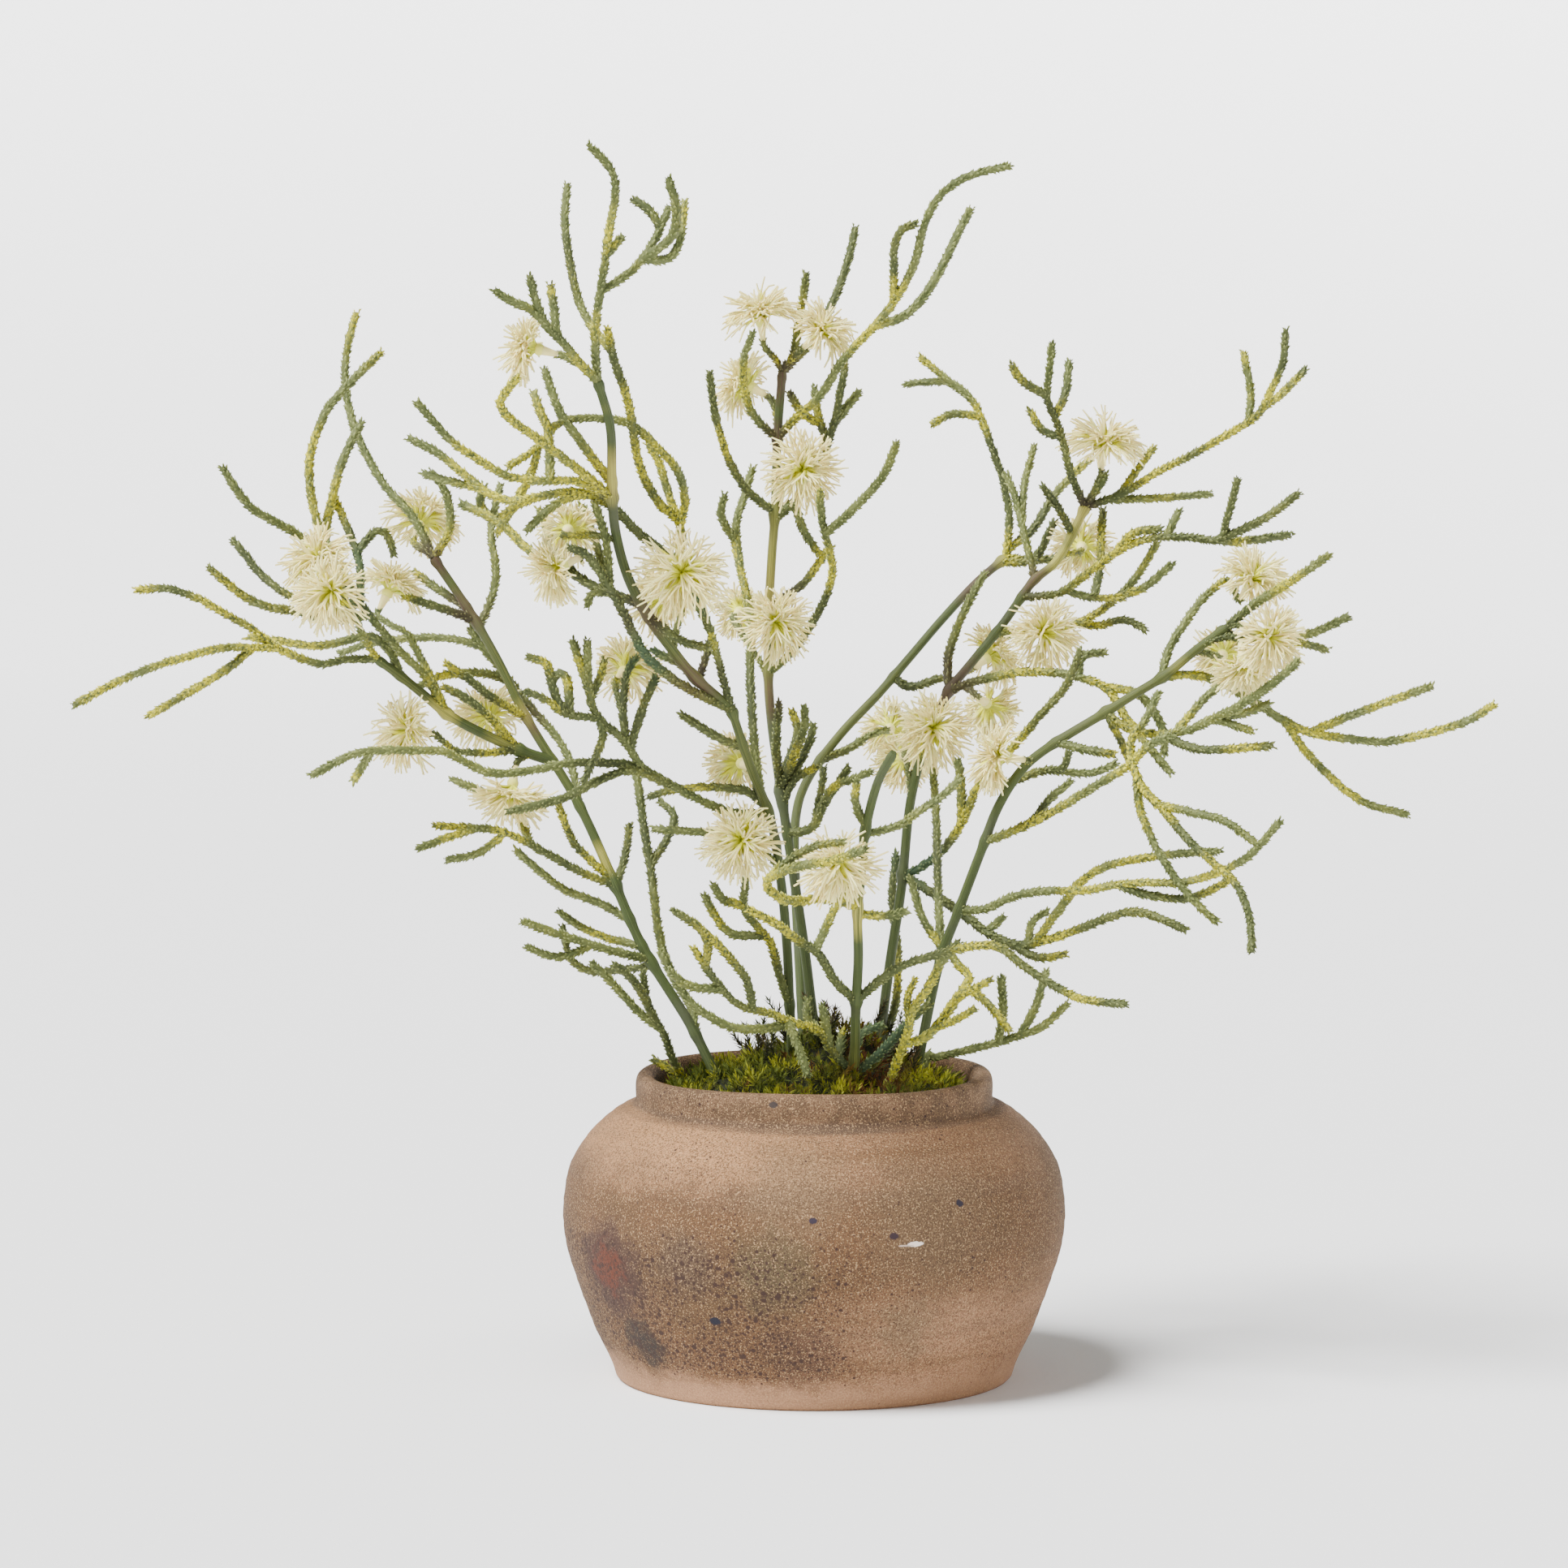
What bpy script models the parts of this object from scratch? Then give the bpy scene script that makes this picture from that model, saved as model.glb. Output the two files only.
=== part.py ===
"""A squat stoneware jar holding scaly green stems with cream pin-cushion blooms.

The stems are laid out as they are seen from the front, in squares of 4 mm, and each
run also leans towards the front or the back. Runs of different stems that would meet
are bent clear of each other in depth, so the front view stays as laid out.
"""
import math

import bmesh
import bpy
import numpy as np
from mathutils import Matrix, Vector, kdtree

# Jar, metres.
JAR_SIDES = 30
WALL = 0.009
FLOOR = 0.009
FOOT_CHAMFER = 0.0015
FILL_TOP = 0.131
SEAT_GAP = 0.00035
# Radius and height of the outside, foot to shoulder.
BODY_OUTLINE = ((0.0975, 0.0015), (0.1000, 0.009), (0.1080, 0.026), (0.1150, 0.045), (0.1205, 0.062),
                (0.1230, 0.079), (0.1205, 0.101), (0.1120, 0.117), (0.0980, 0.1305), (0.0885, 0.1350))
BODY_RING_STEP = 0.0173
INSIDE_START = 0.013
INSIDE_END = 0.133
FLOOR_CURVE = 0.005
SHARP_ANGLE = 40
# Radius and height round the neck and the rolled lip, outside to inside.
LIP_OUTLINE = ((0.0872, 0.1372), (0.0873, 0.1412), (0.0872, 0.1455), (0.0864, 0.1484), (0.0845, 0.1498),
               (0.0815, 0.1500), (0.0788, 0.1484), (0.0772, 0.1440), (0.0765, 0.1370))

# Moss pad, metres.
MOSS_RADIUS = 0.0742
MOSS_EDGE_HEIGHT = 0.1415
MOSS_MOUND = 0.014
MOSS_BACK_MOUND = 0.016
MOSS_BACK_PLACE = (0.012, 0.032)
MOSS_BACK_REACH = 0.028
MOSS_ROLL = 0.0022
MOSS_ROLL_TURNS = (150, 130)
MOSS_TUFT = 0.0026
MOSS_RINGS = 7
MOSS_SIDES = 26
MOSS_HOLES_BELOW = 0.190

# Layout squares and the line of sight that they are laid out along.
SQUARE = 0.004
VIEW_DISTANCE = 3.2
EYE_HEIGHT = 0.606
EYE_ACROSS = -0.0148
LAYOUT_ACROSS = -0.0012
LAYOUT_FOOT = -0.018

# Stems and twigs, metres.
SMOOTH_RADIUS = 0.0030
SCALY_RADIUS = 0.0025
SCALY_WAIST = 0.0019
STALK_RADIUS = 0.0019
COLLAR_SWELL = 1.45
COLLAR_LENGTH = 0.002
COLLAR_END = 0.9
SMOOTH_TAPER = 0.2
SMOOTH_SIDES = 5
SCALY_SIDES = 3
HOLE_CLEARANCE = 0.0005
MERGE_DISTANCE = 0.000003
STEM_FOOT_HEIGHT = 0.070
STEM_FOOT_SPREAD = 0.72

# Spacing along a run, squares.
SAMPLE_STEP = 0.9
LEAN_SHARE = 1.2
SCALY_RING_STEP = 4.4
SMOOTH_RING_STEP = 7

# Blooms, metres and shares of the bloom's radius.
CUP_LENGTH = 0.009
CUP_RADIUS = 0.0022
CORE_SHARE = 0.26
CENTRE_SHARE = 0.35
HEAD_DEPTH = 8.0
STALK_LEAVE = 0.6
STALK_ARRIVE = 0.9
STALK_STEP = 1.6
STALK_END = 0.002
CORE_FLATNESS = 0.9
# Points of the core: how many in each ring, the ring's angle from the axis, its turn in steps.
CORE_RINGS = ((4, 38, 0.0), (8, 74, 0.5), (8, 106, 0.0))
SPIKE_SHARES = (0.9, 1.0)
SPIKE_DROOP = 0.1
SPIKE_SEED = 100

# Bending clear: the clearing in squares, the rounds, and the shares of each round's moves.
CLEARING = 0.5
CLEAR_ROUNDS = 260
RUN_PUSH = 0.6
SMOOTH_EASE = 0.25
HEAD_GUARD = 0.95
HEAD_BACK = 0.62
HEAD_PUSH = 0.3
HEAD_GIVE = 0.12
HEADS_GUARD = 0.92
HEADS_PUSH = 0.2
ROOT_FREE = 4

SMOOTH = "smooth"
SCALY = "scaly"

# Each stem: its depth at the soil in squares (front is minus), then its runs from the root up.
# A run is its kind, its lean (squares of depth for each square of length) and its points,
# across and up in squares as seen from the front. Every run after the first grows from an
# earlier one of the same stem.
STEMS = {
    "stem_left": (-3, (
        (SMOOTH, 0.12, "-11.5,41 -15,48 -20.5,57 -24,65 -28.5,75 -34.5,85 -38.5,93 -42,99 -46,105"),
        (SMOOTH, -0.35, "-32,80 -36,81.7 -41,84 -44.5,86 -47.5,88.5 -50,90.5 -53,92.7"),
        (SCALY, 0.45, "-46,105 -48.5,110 -52,114 -55,119.5 -56.5,125 -56.4,130 -55.2,134.8"),
        (SCALY, 0.1, "-46,105 -44.2,108 -44,111 -45,114 -46.5,115.5"),
        (SCALY, 0.6, "-40.6,97 -39.4,99 -38.4,103 -39,108 -38.3,112 -37.8,114"),
        (SCALY, -0.2, "-38.6,109.5 -40.3,111.5 -39.8,113.8"),
        (SCALY, -0.4, "-41,97 -44,98.5 -49.5,100.3"),
        (SCALY, 0.6, "-42,99 -45.5,101.2 -48.5,103.4"),
        (SCALY, 0.5, "-28.5,75 -29.3,79.5 -31,83 -34,86.5 -37.5,91 -40,94 -41.7,96.5"),
        (SCALY, 0.4, "-40.5,94.5 -44,95.2 -49,95.2 -54,94.5 -57.5,93.4"),
        (SCALY, -0.3, "-36.5,89.5 -38.5,90.7 -42,91 -45.5,90.5 -48,89.2"),
        (SCALY, -0.1, "-24.3,66 -27,68 -29.3,70.6 -31,75"),
        (SCALY, -0.4, "-24,65.2 -28,66.5 -32,68.7 -37.3,71.4 -41,72 -46.2,72.3"),
        (SCALY, -0.6, "-41,72 -44,71 -48,69.5"),
        (SCALY, 0.3, "-37.3,71.4 -40.5,69 -44.7,68"),
        (SCALY, 1.0, "-34,70 -36,73.5 -40,76.3 -44,78"),
        (SCALY, 0.5, "-22.3,61 -26,62.8 -30,64.3 -33,66.5 -36.2,69.3"),
        (SCALY, 0.2, "-20.5,57.5 -25,58.5 -28.5,60 -31,61.8"),
        (SCALY, -0.4, "-20,55.5 -24,56.8 -29,58.3 -35.5,60.5"),
        (SCALY, -0.2, "-26.5,57.5 -30,56.3 -32.5,56.4 -35,57.5"),
        (SCALY, 0.5, "-19,55 -23,54.6 -27,54.4 -29.5,56 -30.5,60"),
        (SCALY, -0.3, "-53,92.7 -57,92.6 -60,92.1 -65,94 -68,96.3 -71,98 -75,100.2 -78.5,101.3 -82.3,101.1"),
        (SCALY, -0.5, "-65,94 -68,94.1 -72,94 -76,93 -80,91.8 -85,89.7 -90,87"),
        (SCALY, -0.2, "-68,94.1 -70.5,92 -73.5,90 -77,88 -81,85.6"),
        (SCALY, 0.2, "-50,90.5 -51.5,93.8 -54,95.5 -58,94.6 -61,94.3 -65,94.9 -68.7,95.4"),
        (SCALY, 0.3, "-44.5,86 -46,89.5 -47.5,92.5 -49,95.5"),
        (SCALY, -0.3, "-44.5,86 -47,90.5 -50,93.5 -53,97 -55,99.5"),
        (SCALY, -0.5, "-54,98.2 -58,97.5 -62.5,98.5 -66,99 -69,100.3 -71.5,102.3 -73.3,103.8"),
        (SCALY, 0.3, "-55,99.5 -59,99 -62,99.7 -64.5,101 -67,103 -69,105.5 -70.5,107.3"),
        (SCALY, -0.2, "-55,99.5 -58,104 -62.5,107.8 -65,109.3 -68,111 -70,113.5 -71.6,116.1"),
        (SCALY, 0.2, "-58.5,105 -60,109 -60.9,113 -61,117 -60,120.5 -58.5,123.5 -55.5,126.8 -52.2,130"),
        (SCALY, 0.6, "-58.8,106 -59,109 -58.2,112.5 -57.3,116 -56,119 -54.6,121.6"),
        (SCALY, 0.4, "-55,99.5 -55,104 -56,107.5 -58,112.3"),
        (SCALY, 0.5, "-55.3,105.5 -53,108.3 -51.5,107.5 -50.8,105.3"),
        (SCALY, -0.3, "-36,82 -39,85.3 -42,87.8 -45,89.4"),
        (SCALY, -0.4, "-35,85.5 -39,88 -41.5,90 -44.6,92.2"),
        (SCALY, -0.5, "-36,81.5 -40,81.2 -43,81.3"),
        (SCALY, 0.45, "-14.5,47 -14.8,50 -16.8,53.5 -18.5,58 -19.7,67 -20.5,72 -21,76 -21.5,79"),
        (SCALY, 0.2, "-24,65 -22.7,69 -22.3,72.5"),
        (SCALY, 0.6, "-19.6,67 -17.5,71 -16.8,73.5 -18.6,75.3"),
    )),
    "stem_left_low": (1, (
        (SCALY, -0.4, "-15,40 -17,43.5 -18.3,47 -20,50 -20.7,54.5"),
        (SCALY, -0.2, "-18.5,47.5 -21.5,49.7 -24,52.5 -27,55.5"),
        (SCALY, -0.7, "-19.3,49 -21,52 -22.5,54 -24.3,55.2"),
        (SCALY, 0.1, "-15.5,40.9 -17.3,42.2 -19.5,43.6"),
    )),
    "stem_centre_left": (2, (
        (SMOOTH, -0.3, "-2.3,44 -2.7,50 -3,57 -3.7,65 -5,73 -7.5,79.5 -9.8,86.5"),
        (SMOOTH, -0.45, "-9.8,86.5 -14.3,90.5 -17.5,94.5 -20,98 -22.5,103 -24,109 -24.3,115 -24.5,121 -26,126.5"),
        (SCALY, -0.6, "-9.8,86.5 -13,88 -17,90.3 -20.5,93.5 -23,98.5 -25,102 -27.3,105.3 -29.5,106.2"),
        (SCALY, -0.5, "-9.8,86.5 -11,91 -12.3,96"),
        (SCALY, 0.3, "-14.3,90.5 -16.5,92.3 -19.5,93.8"),
        (SCALY, 0.5, "-14,90.5 -13,92.5 -12.5,95"),
        (SCALY, -0.3, "-20,97.8 -16,95 -12.5,94"),
        (SCALY, -0.2, "-26,126.5 -26.3,131 -26,135 -25.2,140 -24.5,145 -23.8,149 -24.3,152 -27,155"),
        (SCALY, 0.3, "-25,141.6 -22.9,144"),
        (SCALY, 0.4, "-25.7,137 -22.5,139.3 -20.5,141.3 -18.8,144 -17.3,147.6"),
        (SCALY, 0.6, "-20.5,141.3 -17.5,141.3 -16,143.5 -15.4,148.2"),
        (SCALY, -0.2, "-20.5,141.3 -17.2,143.7 -16.4,147 -17.4,150.9"),
        (SCALY, 0.2, "-18,145.3 -19.8,147.2 -21.7,148.5"),
        (SCALY, 0.2, "-12.3,96 -14.2,100.5 -16,104.5 -15.8,108 -17.5,113 -18.6,116.7 -20,119"),
        (SCALY, -0.5, "-16.6,110 -18.8,112 -21,116.5 -22.3,124 -24,129 -24.8,133"),
        (SCALY, 0.4, "-24.3,130.3 -27,133.5 -28.5,137 -29.5,142 -29.9,146 -29.6,150.3"),
        (SCALY, -0.5, "-26,126.5 -28,128.5 -30.5,131.5 -32.3,133.3 -33.4,136 -34.2,139.2"),
        (SCALY, 0.2, "-31,132.2 -31.3,135.5 -31.7,138.2"),
        (SCALY, -0.4, "-32.6,133.6 -34.3,135.3 -36.5,136.2 -38.5,137.5"),
        (SCALY, -0.6, "-24.1,112 -27.5,115 -30,117 -33,119.3 -36.5,121.8 -37.8,123.6 -37.3,125 -35.6,127"),
        (SCALY, 0.3, "-24.3,114.5 -26.5,117 -28.7,120 -30.7,123 -32.5,128"),
        (SCALY, -0.35, "-24.2,112.5 -28.5,114.3 -33,114.4 -37,115 -40.5,117 -43.5,119 -46,121.7 -48,124"),
        (SCALY, 0.4, "-31.5,114.4 -32,120.3 -33,122.8 -33.8,125.3"),
        (SCALY, -0.4, "-15.8,109 -15.4,112 -16.3,115.5 -18.3,118 -21.3,120.8 -24,121.8 -27.5,122 -30.7,121.4"
                      " -33,118.7 -37,116"),
        (SCALY, -0.6, "-16,104.5 -21,108 -24,111 -27.5,112.9 -31.5,112.8 -35,111.8 -38,110"),
        (SCALY, 0.2, "-33,112.5 -36,111.9 -39,112.7 -42,115 -45.5,117.8 -49,119.6"),
        (SCALY, 0.5, "-40,113.4 -43.5,114.2 -47.3,115.3"),
        (SCALY, -0.2, "-27,112.6 -30,112.2 -32.5,110.5 -34.8,108.2"),
        (SCALY, 0.3, "-33.2,118.5 -34,115.5 -35.3,113 -36.6,110.7 -38.3,108"),
        (SCALY, 0.45, "-20.7,99.3 -26,101.3 -29,103 -32,104.3 -35,106.5 -38,109.3 -42.7,111.7"),
        (SCALY, 0.6, "-28.5,102.8 -30.5,104.8 -32,107.7 -33.2,111"),
        (SCALY, 0.2, "-25,101 -26.8,100.6 -27.4,99"),
        (SCALY, 0.5, "-25.5,101 -26,106 -28,111.5"),
        (SCALY, 0.2, "-24.5,101 -25,107 -26.5,112"),
        (SCALY, -0.4, "-5.3,73.5 -10,74 -14,75.6 -17.3,77.4 -20.5,79.3 -23,82.8 -25.8,85.3 -27,88 -27.4,95"),
        (SCALY, -0.1, "-27,88.5 -28,91.5 -29.2,95"),
        (SCALY, 0.4, "-26.7,88 -25.8,90.5 -25.2,92.7"),
        (SCALY, -0.5, "-26,85.8 -30,86 -32,87.5 -35,88.8"),
        (SCALY, -0.2, "-30,86 -31.5,89 -32.3,92 -34.7,93"),
        (SCALY, 0.4, "-29.6,86 -29.8,90 -30.7,91 -31.7,90"),
        (SCALY, 0.5, "-22.5,82.2 -23,87 -22.5,91 -21.3,93"),
        (SCALY, 0.2, "-22,82 -20.5,87 -19,90.5"),
        (SCALY, -0.3, "-26,85.8 -25.5,83 -27,79.5 -28,77.5"),
        (SCALY, -0.5, "-17,77.4 -22,79 -26,77.8 -30,75.8 -34,74.7 -37.2,74"),
        (SCALY, -0.25, "-18,78 -22,79.7 -26,80 -30,79.9 -36,78.8 -40,79 -44.7,81.3 -48,81.5 -52,81.5 -56,81"
                       " -61.2,78.4"),
        (SCALY, 0.4, "-53.5,81.4 -56,77.7"),
        (SCALY, 0.3, "-5.5,74.7 -8,76.5 -12,77 -17,76.7 -20,75.8"),
        (SCALY, 0.4, "-4.6,70.5 -8,70.8 -12.5,71.4 -19.5,71.9"),
        (SCALY, 0.5, "-8.4,82 -10,82.4 -13,84 -16,86"),
        (SCALY, 0.5, "-5.8,75 -7,82 -7.5,90 -7.5,98 -8.8,104 -9.5,108"),
        (SCALY, 0.3, "-8.8,104 -9.2,109 -8.2,112.5 -7.2,116"),
        (SCALY, -0.3, "-9.5,107 -11,110 -10.6,112.8"),
        (SCALY, -0.5, "-2.8,50.5 -4,54 -5,57.7 -6.6,59.8 -8.3,62.3 -8,66"),
        (SCALY, -0.2, "-6,59 -9.8,59 -11.7,61 -13.2,63.8"),
        (SCALY, -0.6, "-8.3,62.3 -10.8,63.2 -12,65.1"),
    )),
    "stem_centre_tall": (6, (
        (SMOOTH, 0.08, "1,43 0,50 -1,58 -2.5,68 -4,78 -5.2,88 -5.3,97 -4.9,105 -4.5,110.5 -4.2,119.6 -3.6,127.6"),
        (SCALY, 0.5, "-3.6,127.6 -1.5,129.7 0.5,132 2.2,135.3 3.6,138.7 4.6,142 5.3,145.1"),
        (SCALY, -0.3, "-2.3,128.9 -1.6,133.5 -1,137 -0.7,139.6"),
        (SCALY, -0.35, "-4.2,119.8 -2,122 1,124.7 3.2,128.3 5.5,131 8,133.6 10.5,137 12.5,141 13.3,144.5 14.8,148"
                       " 17,150.2 20,151.6 24,152.5"),
        (SCALY, 0.3, "7.8,133.4 10.8,134.2 13.2,136.3 15.3,139.5 17,143 19.2,147.4"),
        (SCALY, -0.3, "10.1,136.4 9.9,140 10,143 11,144.9 12.7,145.5"),
        (SCALY, -0.5, "-4.3,119.6 -6.2,121.3 -7.7,123.5 -8.3,126.5 -8.2,129.5 -7.1,132.4"),
        (SCALY, 0.5, "-4.5,110.5 -2,112 0.5,115 1.8,118.6 0.8,122 0.3,125.8"),
        (SCALY, 0.2, "1.7,118.6 2.8,121.8 3.4,125 4.1,128.6"),
        (SCALY, 0.6, "2.8,121.8 5.8,125.3"),
        (SCALY, -0.3, "1,121.3 -1.2,122.6 -2.8,125.2"),
        (SCALY, -0.5, "-4.5,110.5 -6.5,112 -8.5,114 -10.3,117.5 -11.4,121 -12.1,124.5 -12.4,127.6"),
        (SCALY, -0.4, "-5.2,91 -2.5,93.5 0,97 2,101 2.5,104 1.7,107.5 1.1,110.5 1,113.3"),
        (SCALY, -0.6, "1.6,107.7 4,110 7,113 9,115.7 10.3,119.1"),
        (SCALY, -0.2, "-4.6,110 -2.3,111.3 -1,108.3 1,105.4"),
        (SCALY, 0.3, "-5.1,99 -1.3,101.7 0.7,104.2 2.4,106.6"),
        (SCALY, -0.5, "-4,77 -4.3,82 -4,87.5"),
        (SCALY, 0.3, "-3.9,78 -1.8,83.5 -2.5,86.5"),
        (SCALY, -0.7, "-3.8,76.5 -1,84 -1,87"),
        (SCALY, 0.5, "-3.7,76 -0.5,82 0.2,84.8"),
        (SCALY, -0.4, "-3.6,75 -2,78 0.5,79.5"),
        (SCALY, -0.3, "-3,71 0,72 1.5,75 3.2,77.5 4.5,79.5"),
        (SCALY, -0.6, "1.2,74.5 2.5,77 5,78 7.3,79"),
        (SCALY, 0.3, "0.3,72.3 1,76 1.5,79.5"),
    )),
    "stem_front": (-7, (
        (SMOOTH, -0.5, "5,40 5.3,45 5.4,50 5.7,56 5.6,61.5 6,66 6.5,71.5 8,77.5 10,81.3"),
        (SCALY, 0.3, "5.6,61.5 9,61.2 11.7,61.8"),
        (SCALY, -0.3, "5.4,50.3 8,53 11,55 15.5,56.5 20,57.5 23,57.3 26,55 29,53 33,51 38.6,50.3"),
        (SCALY, -0.5, "5.4,50.3 3,53 0.8,56.5 -1.8,58.3 -4.5,60.3 -7.8,62"),
        (SCALY, -0.2, "0.2,57 2.5,61.5 4.2,64.5"),
        (SCALY, 0.2, "5.2,44 6,46.6 8.7,47.8"),
        (SCALY, -0.2, "5,41.5 7.5,43.5 9.5,45.5 12,48.3 14.5,50.5"),
        (SCALY, -0.5, "5,42 2.5,44.5 1,47 -2,48 -5.5,49.3 -9,50.3 -12,53.5 -14.5,57.3"),
        (SCALY, -0.2, "-2,48 -6,47.3 -9.5,47.4 -12.5,48.8 -15,50.7 -16.8,53.5 -18.5,57"),
        (SCALY, -0.3, "-10.8,52.2 -15,52.6 -17.5,54.5"),
        (SCALY, -0.5, "-13,55 -12.7,58 -14,60"),
        (SCALY, -0.5, "-6.8,49.8 -8,53.3 -10,56 -12,58.2 -14.5,60.3 -17,61.9"),
        (SCALY, -0.4, "2,45 1.8,47.5 1.2,50.2"),
        (SCALY, 0.3, "1.2,46.8 -0.5,48.5 -0.5,51"),
        (SCALY, 0.4, "3,44 3.8,47"),
        (SCALY, -0.4, "-3,48.3 -1.5,44.5 -0.5,41.5"),
        (SCALY, 0.4, "6.5,71.5 9,71.8 11,72.5 13,74 16,76 18,78"),
        (SCALY, -0.3, "6.6,72.5 5.3,75 5.5,78"),
        (SCALY, -0.8, "5.6,62.3 1.5,63.3 -2,63 -4.3,63.7 -5.5,65.5 -2,67.2 2.5,68 6.5,69.4"),
        (SCALY, -0.3, "-5.3,66 -2.5,68.3 0.5,69.8 4,70.3"),
    )),
    "stem_back_long": (11, (
        (SMOOTH, 0.45, "-1,45 -1.5,55 -2,65 -2,73 -0.5,78 3.5,83.5 8,88.3 12,93 16,97.7 20,102 23.5,105"),
        (SCALY, 0.2, "23.5,105 24,109.5 23.3,114 21.8,118.5 20.5,122 19.3,124.3 16.5,126.5 13,129.5"),
        (SCALY, 0.5, "19.3,124.3 17,126.2 14,126.4 11.3,126.1"),
        (SCALY, -0.4, "20.3,122.3 17,122.5 14.5,121.2"),
        (SCALY, 0.5, "23.7,106 27,108.7 29,112 31.5,115 33.8,117"),
        (SCALY, 0.1, "23.5,105 28,104.8 31,105.5"),
        (SCALY, -0.3, "22.8,104.4 27,105 29.5,109.5"),
        (SCALY, 0.3, "1,80.4 4,81.5 6.5,83"),
        (SCALY, -0.2, "9.7,90.3 12,89.3 16,90.5"),
    )),
    "stem_right_tall": (5, (
        (SMOOTH, 0.3, "8,43 9.5,55 11,65 12,75 14,83 16.5,88.5 19,91.7 22.5,96 25,99.5 27,102.3 30,105 33.2,111.2"),
        (SCALY, -0.5, "16.5,88.5 20,90 25,91 30,91 33.5,90.2 36,89 38,86 40.5,82.7 43.8,78.7"),
        (SCALY, -0.1, "36,89 39.5,88.5 41.5,86.5 42.8,84 43,81"),
        (SCALY, 0.3, "32.5,90.5 33,93 35.8,93.5"),
        (SCALY, 0.5, "16.5,88.5 16.6,93 18.3,98 21,103.2"),
        (SCALY, -0.4, "33,111 31.5,115 30.5,119 29.5,122 28.5,124.5 28.8,128 29.1,131"),
        (SCALY, 0.1, "30.2,119.9 28,120.5 26.3,123"),
        (SCALY, 0.4, "29.5,122 30.7,125 31.2,129"),
        (SCALY, -0.5, "28.6,125 25.5,126.5 24.1,128.4"),
        (SCALY, -0.3, "33.2,111.2 38,113 42,115.5 46,117.5 50,119.8 54,122.3 55.5,125 57,128.5 57.4,132.7"),
        (SCALY, 0.2, "52.6,121.4 53.2,125 52.3,130"),
        (SCALY, 0.5, "54.7,123.4 57,125 59.9,128"),
        (SCALY, 0.3, "37.5,112.9 39,115 41.5,118.5"),
        (SCALY, 0.3, "36,112.2 42,112.3 48.5,112.8"),
        (SCALY, -0.5, "33.2,111.2 35.8,115.2"),
        (SCALY, 0.4, "27,102.3 26,107 25.3,110 24.5,113 23.5,115.2"),
        (SCALY, 0.6, "25.5,109.5 25.8,114 27,118.7"),
        (SCALY, -0.4, "31.7,107.7 30,111 28,113.8"),
        (SCALY, -0.4, "25.5,100.1 30,100.7 34,103.5 38,106.3 42,107.5 46,107.5 49.5,107.3 50.5,110 51.7,114.7"),
        (SCALY, -0.2, "49.5,107.5 53,108.8 56,110.5 59.2,113"),
        (SCALY, 0.4, "49,107.3 52,107 58.2,107.9"),
        (SCALY, 0.4, "42.8,107.5 44.6,110.8"),
        (SCALY, -0.3, "37,105.6 39,108 42.5,108.6"),
        (SCALY, 0.2, "22.5,96 27,95.8 31.5,96.8 35,98.5 38,101 40,103.5 42,107"),
        (SCALY, -0.3, "37,100.2 40.5,101.5 43.8,104.3"),
        (SCALY, -0.5, "32,97.1 35,96.8 38,97.5 40.7,96.2"),
        (SCALY, 0.4, "30.5,100.9 34,100.2 38,100.2"),
        (SCALY, 0.5, "34.5,100.2 35,104 35.3,111"),
        (SCALY, 0.6, "8.4,46 10.2,50 10.5,57 9.8,63 10.3,69"),
        (SCALY, -0.6, "11.1,66 15.5,63.5 19,61 22,58.8 25.5,57.6 29,58.3 33,59.7 36.5,61.1 39.5,61.7 42.5,60.9"
                      " 45.8,59.4"),
        (SCALY, -0.4, "27,57.7 29,60.3 31,63 33,65.5 36,67.3 40,68.2 44.5,68.8 49.9,69.2"),
        (SCALY, 0.3, "26.2,57.6 27,60.5 28.9,61.8"),
        (SCALY, -0.5, "24.5,57.9 27.5,56.1 31.1,56.5"),
        (SCALY, 0.4, "21.5,59.2 23.5,61.2"),
        (SCALY, -0.35, "11.2,66.5 13,67 16,69.3 18.5,73 20.3,77.2 24,81.3 28,86 31,89.5 32.7,93.8"),
        (SCALY, -0.1, "18.4,72.8 18.2,77 17.8,80.5"),
        (SCALY, -0.6, "20.5,77.4 24,77.6 28,79 30.5,79.3 31.4,81.4"),
        (SCALY, 0.2, "29.5,79.2 34,78.7 37.2,80"),
    )),
    "stem_right": (1, (
        (SMOOTH, -0.1, "13,43 15.5,55 18,62 20.8,69.5 22.7,74.5 25.5,79 29,82 35.5,86 39,88.2 43,90.7 47,94"
                       " 50.5,96.5"),
        (SCALY, -0.4, "21.2,70.6 24.5,71.6 29,73.8 34,76.8 38.5,79.6 41,82 44,83.5"),
        (SCALY, -0.5, "39,80 40.3,77 42.8,74.3 46,70.5 49.3,67.5 52,64.8 53.5,61 53.8,56.7"),
        (SCALY, -0.2, "39.6,78.5 40,74.5 42,69.7 44.7,65.5 47,62.7 49.6,60.4"),
        (SCALY, -0.6, "42.6,74.5 46.5,73.9 50.5,72.8 54.5,69.9"),
        (SCALY, 0.3, "38.7,79.8 39,83 40.5,85 42.3,88.7"),
        (SCALY, -0.5, "35.5,86 38,84.5 42,83.5 46,84 49,85.2 53.8,83.8"),
        (SCALY, -0.2, "47,84.4 51,86.4 53.7,88 56.5,90 59.3,92.5"),
        (SCALY, 0.4, "49.3,85.4 52.5,86 55.8,87.3"),
        (SCALY, 0.3, "44.5,83.7 47.5,87.5 49.8,89.5"),
        (SCALY, -0.4, "42,83.5 47,81.7 52,81.8 56.2,82.1"),
        (SCALY, 0.15, "43,90.7 46,90.8 49.5,90 53,88 57.5,85.2 61,83.6 65,83 70,82.6 75,83.6 80,85.2 83.2,87.2"),
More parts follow.
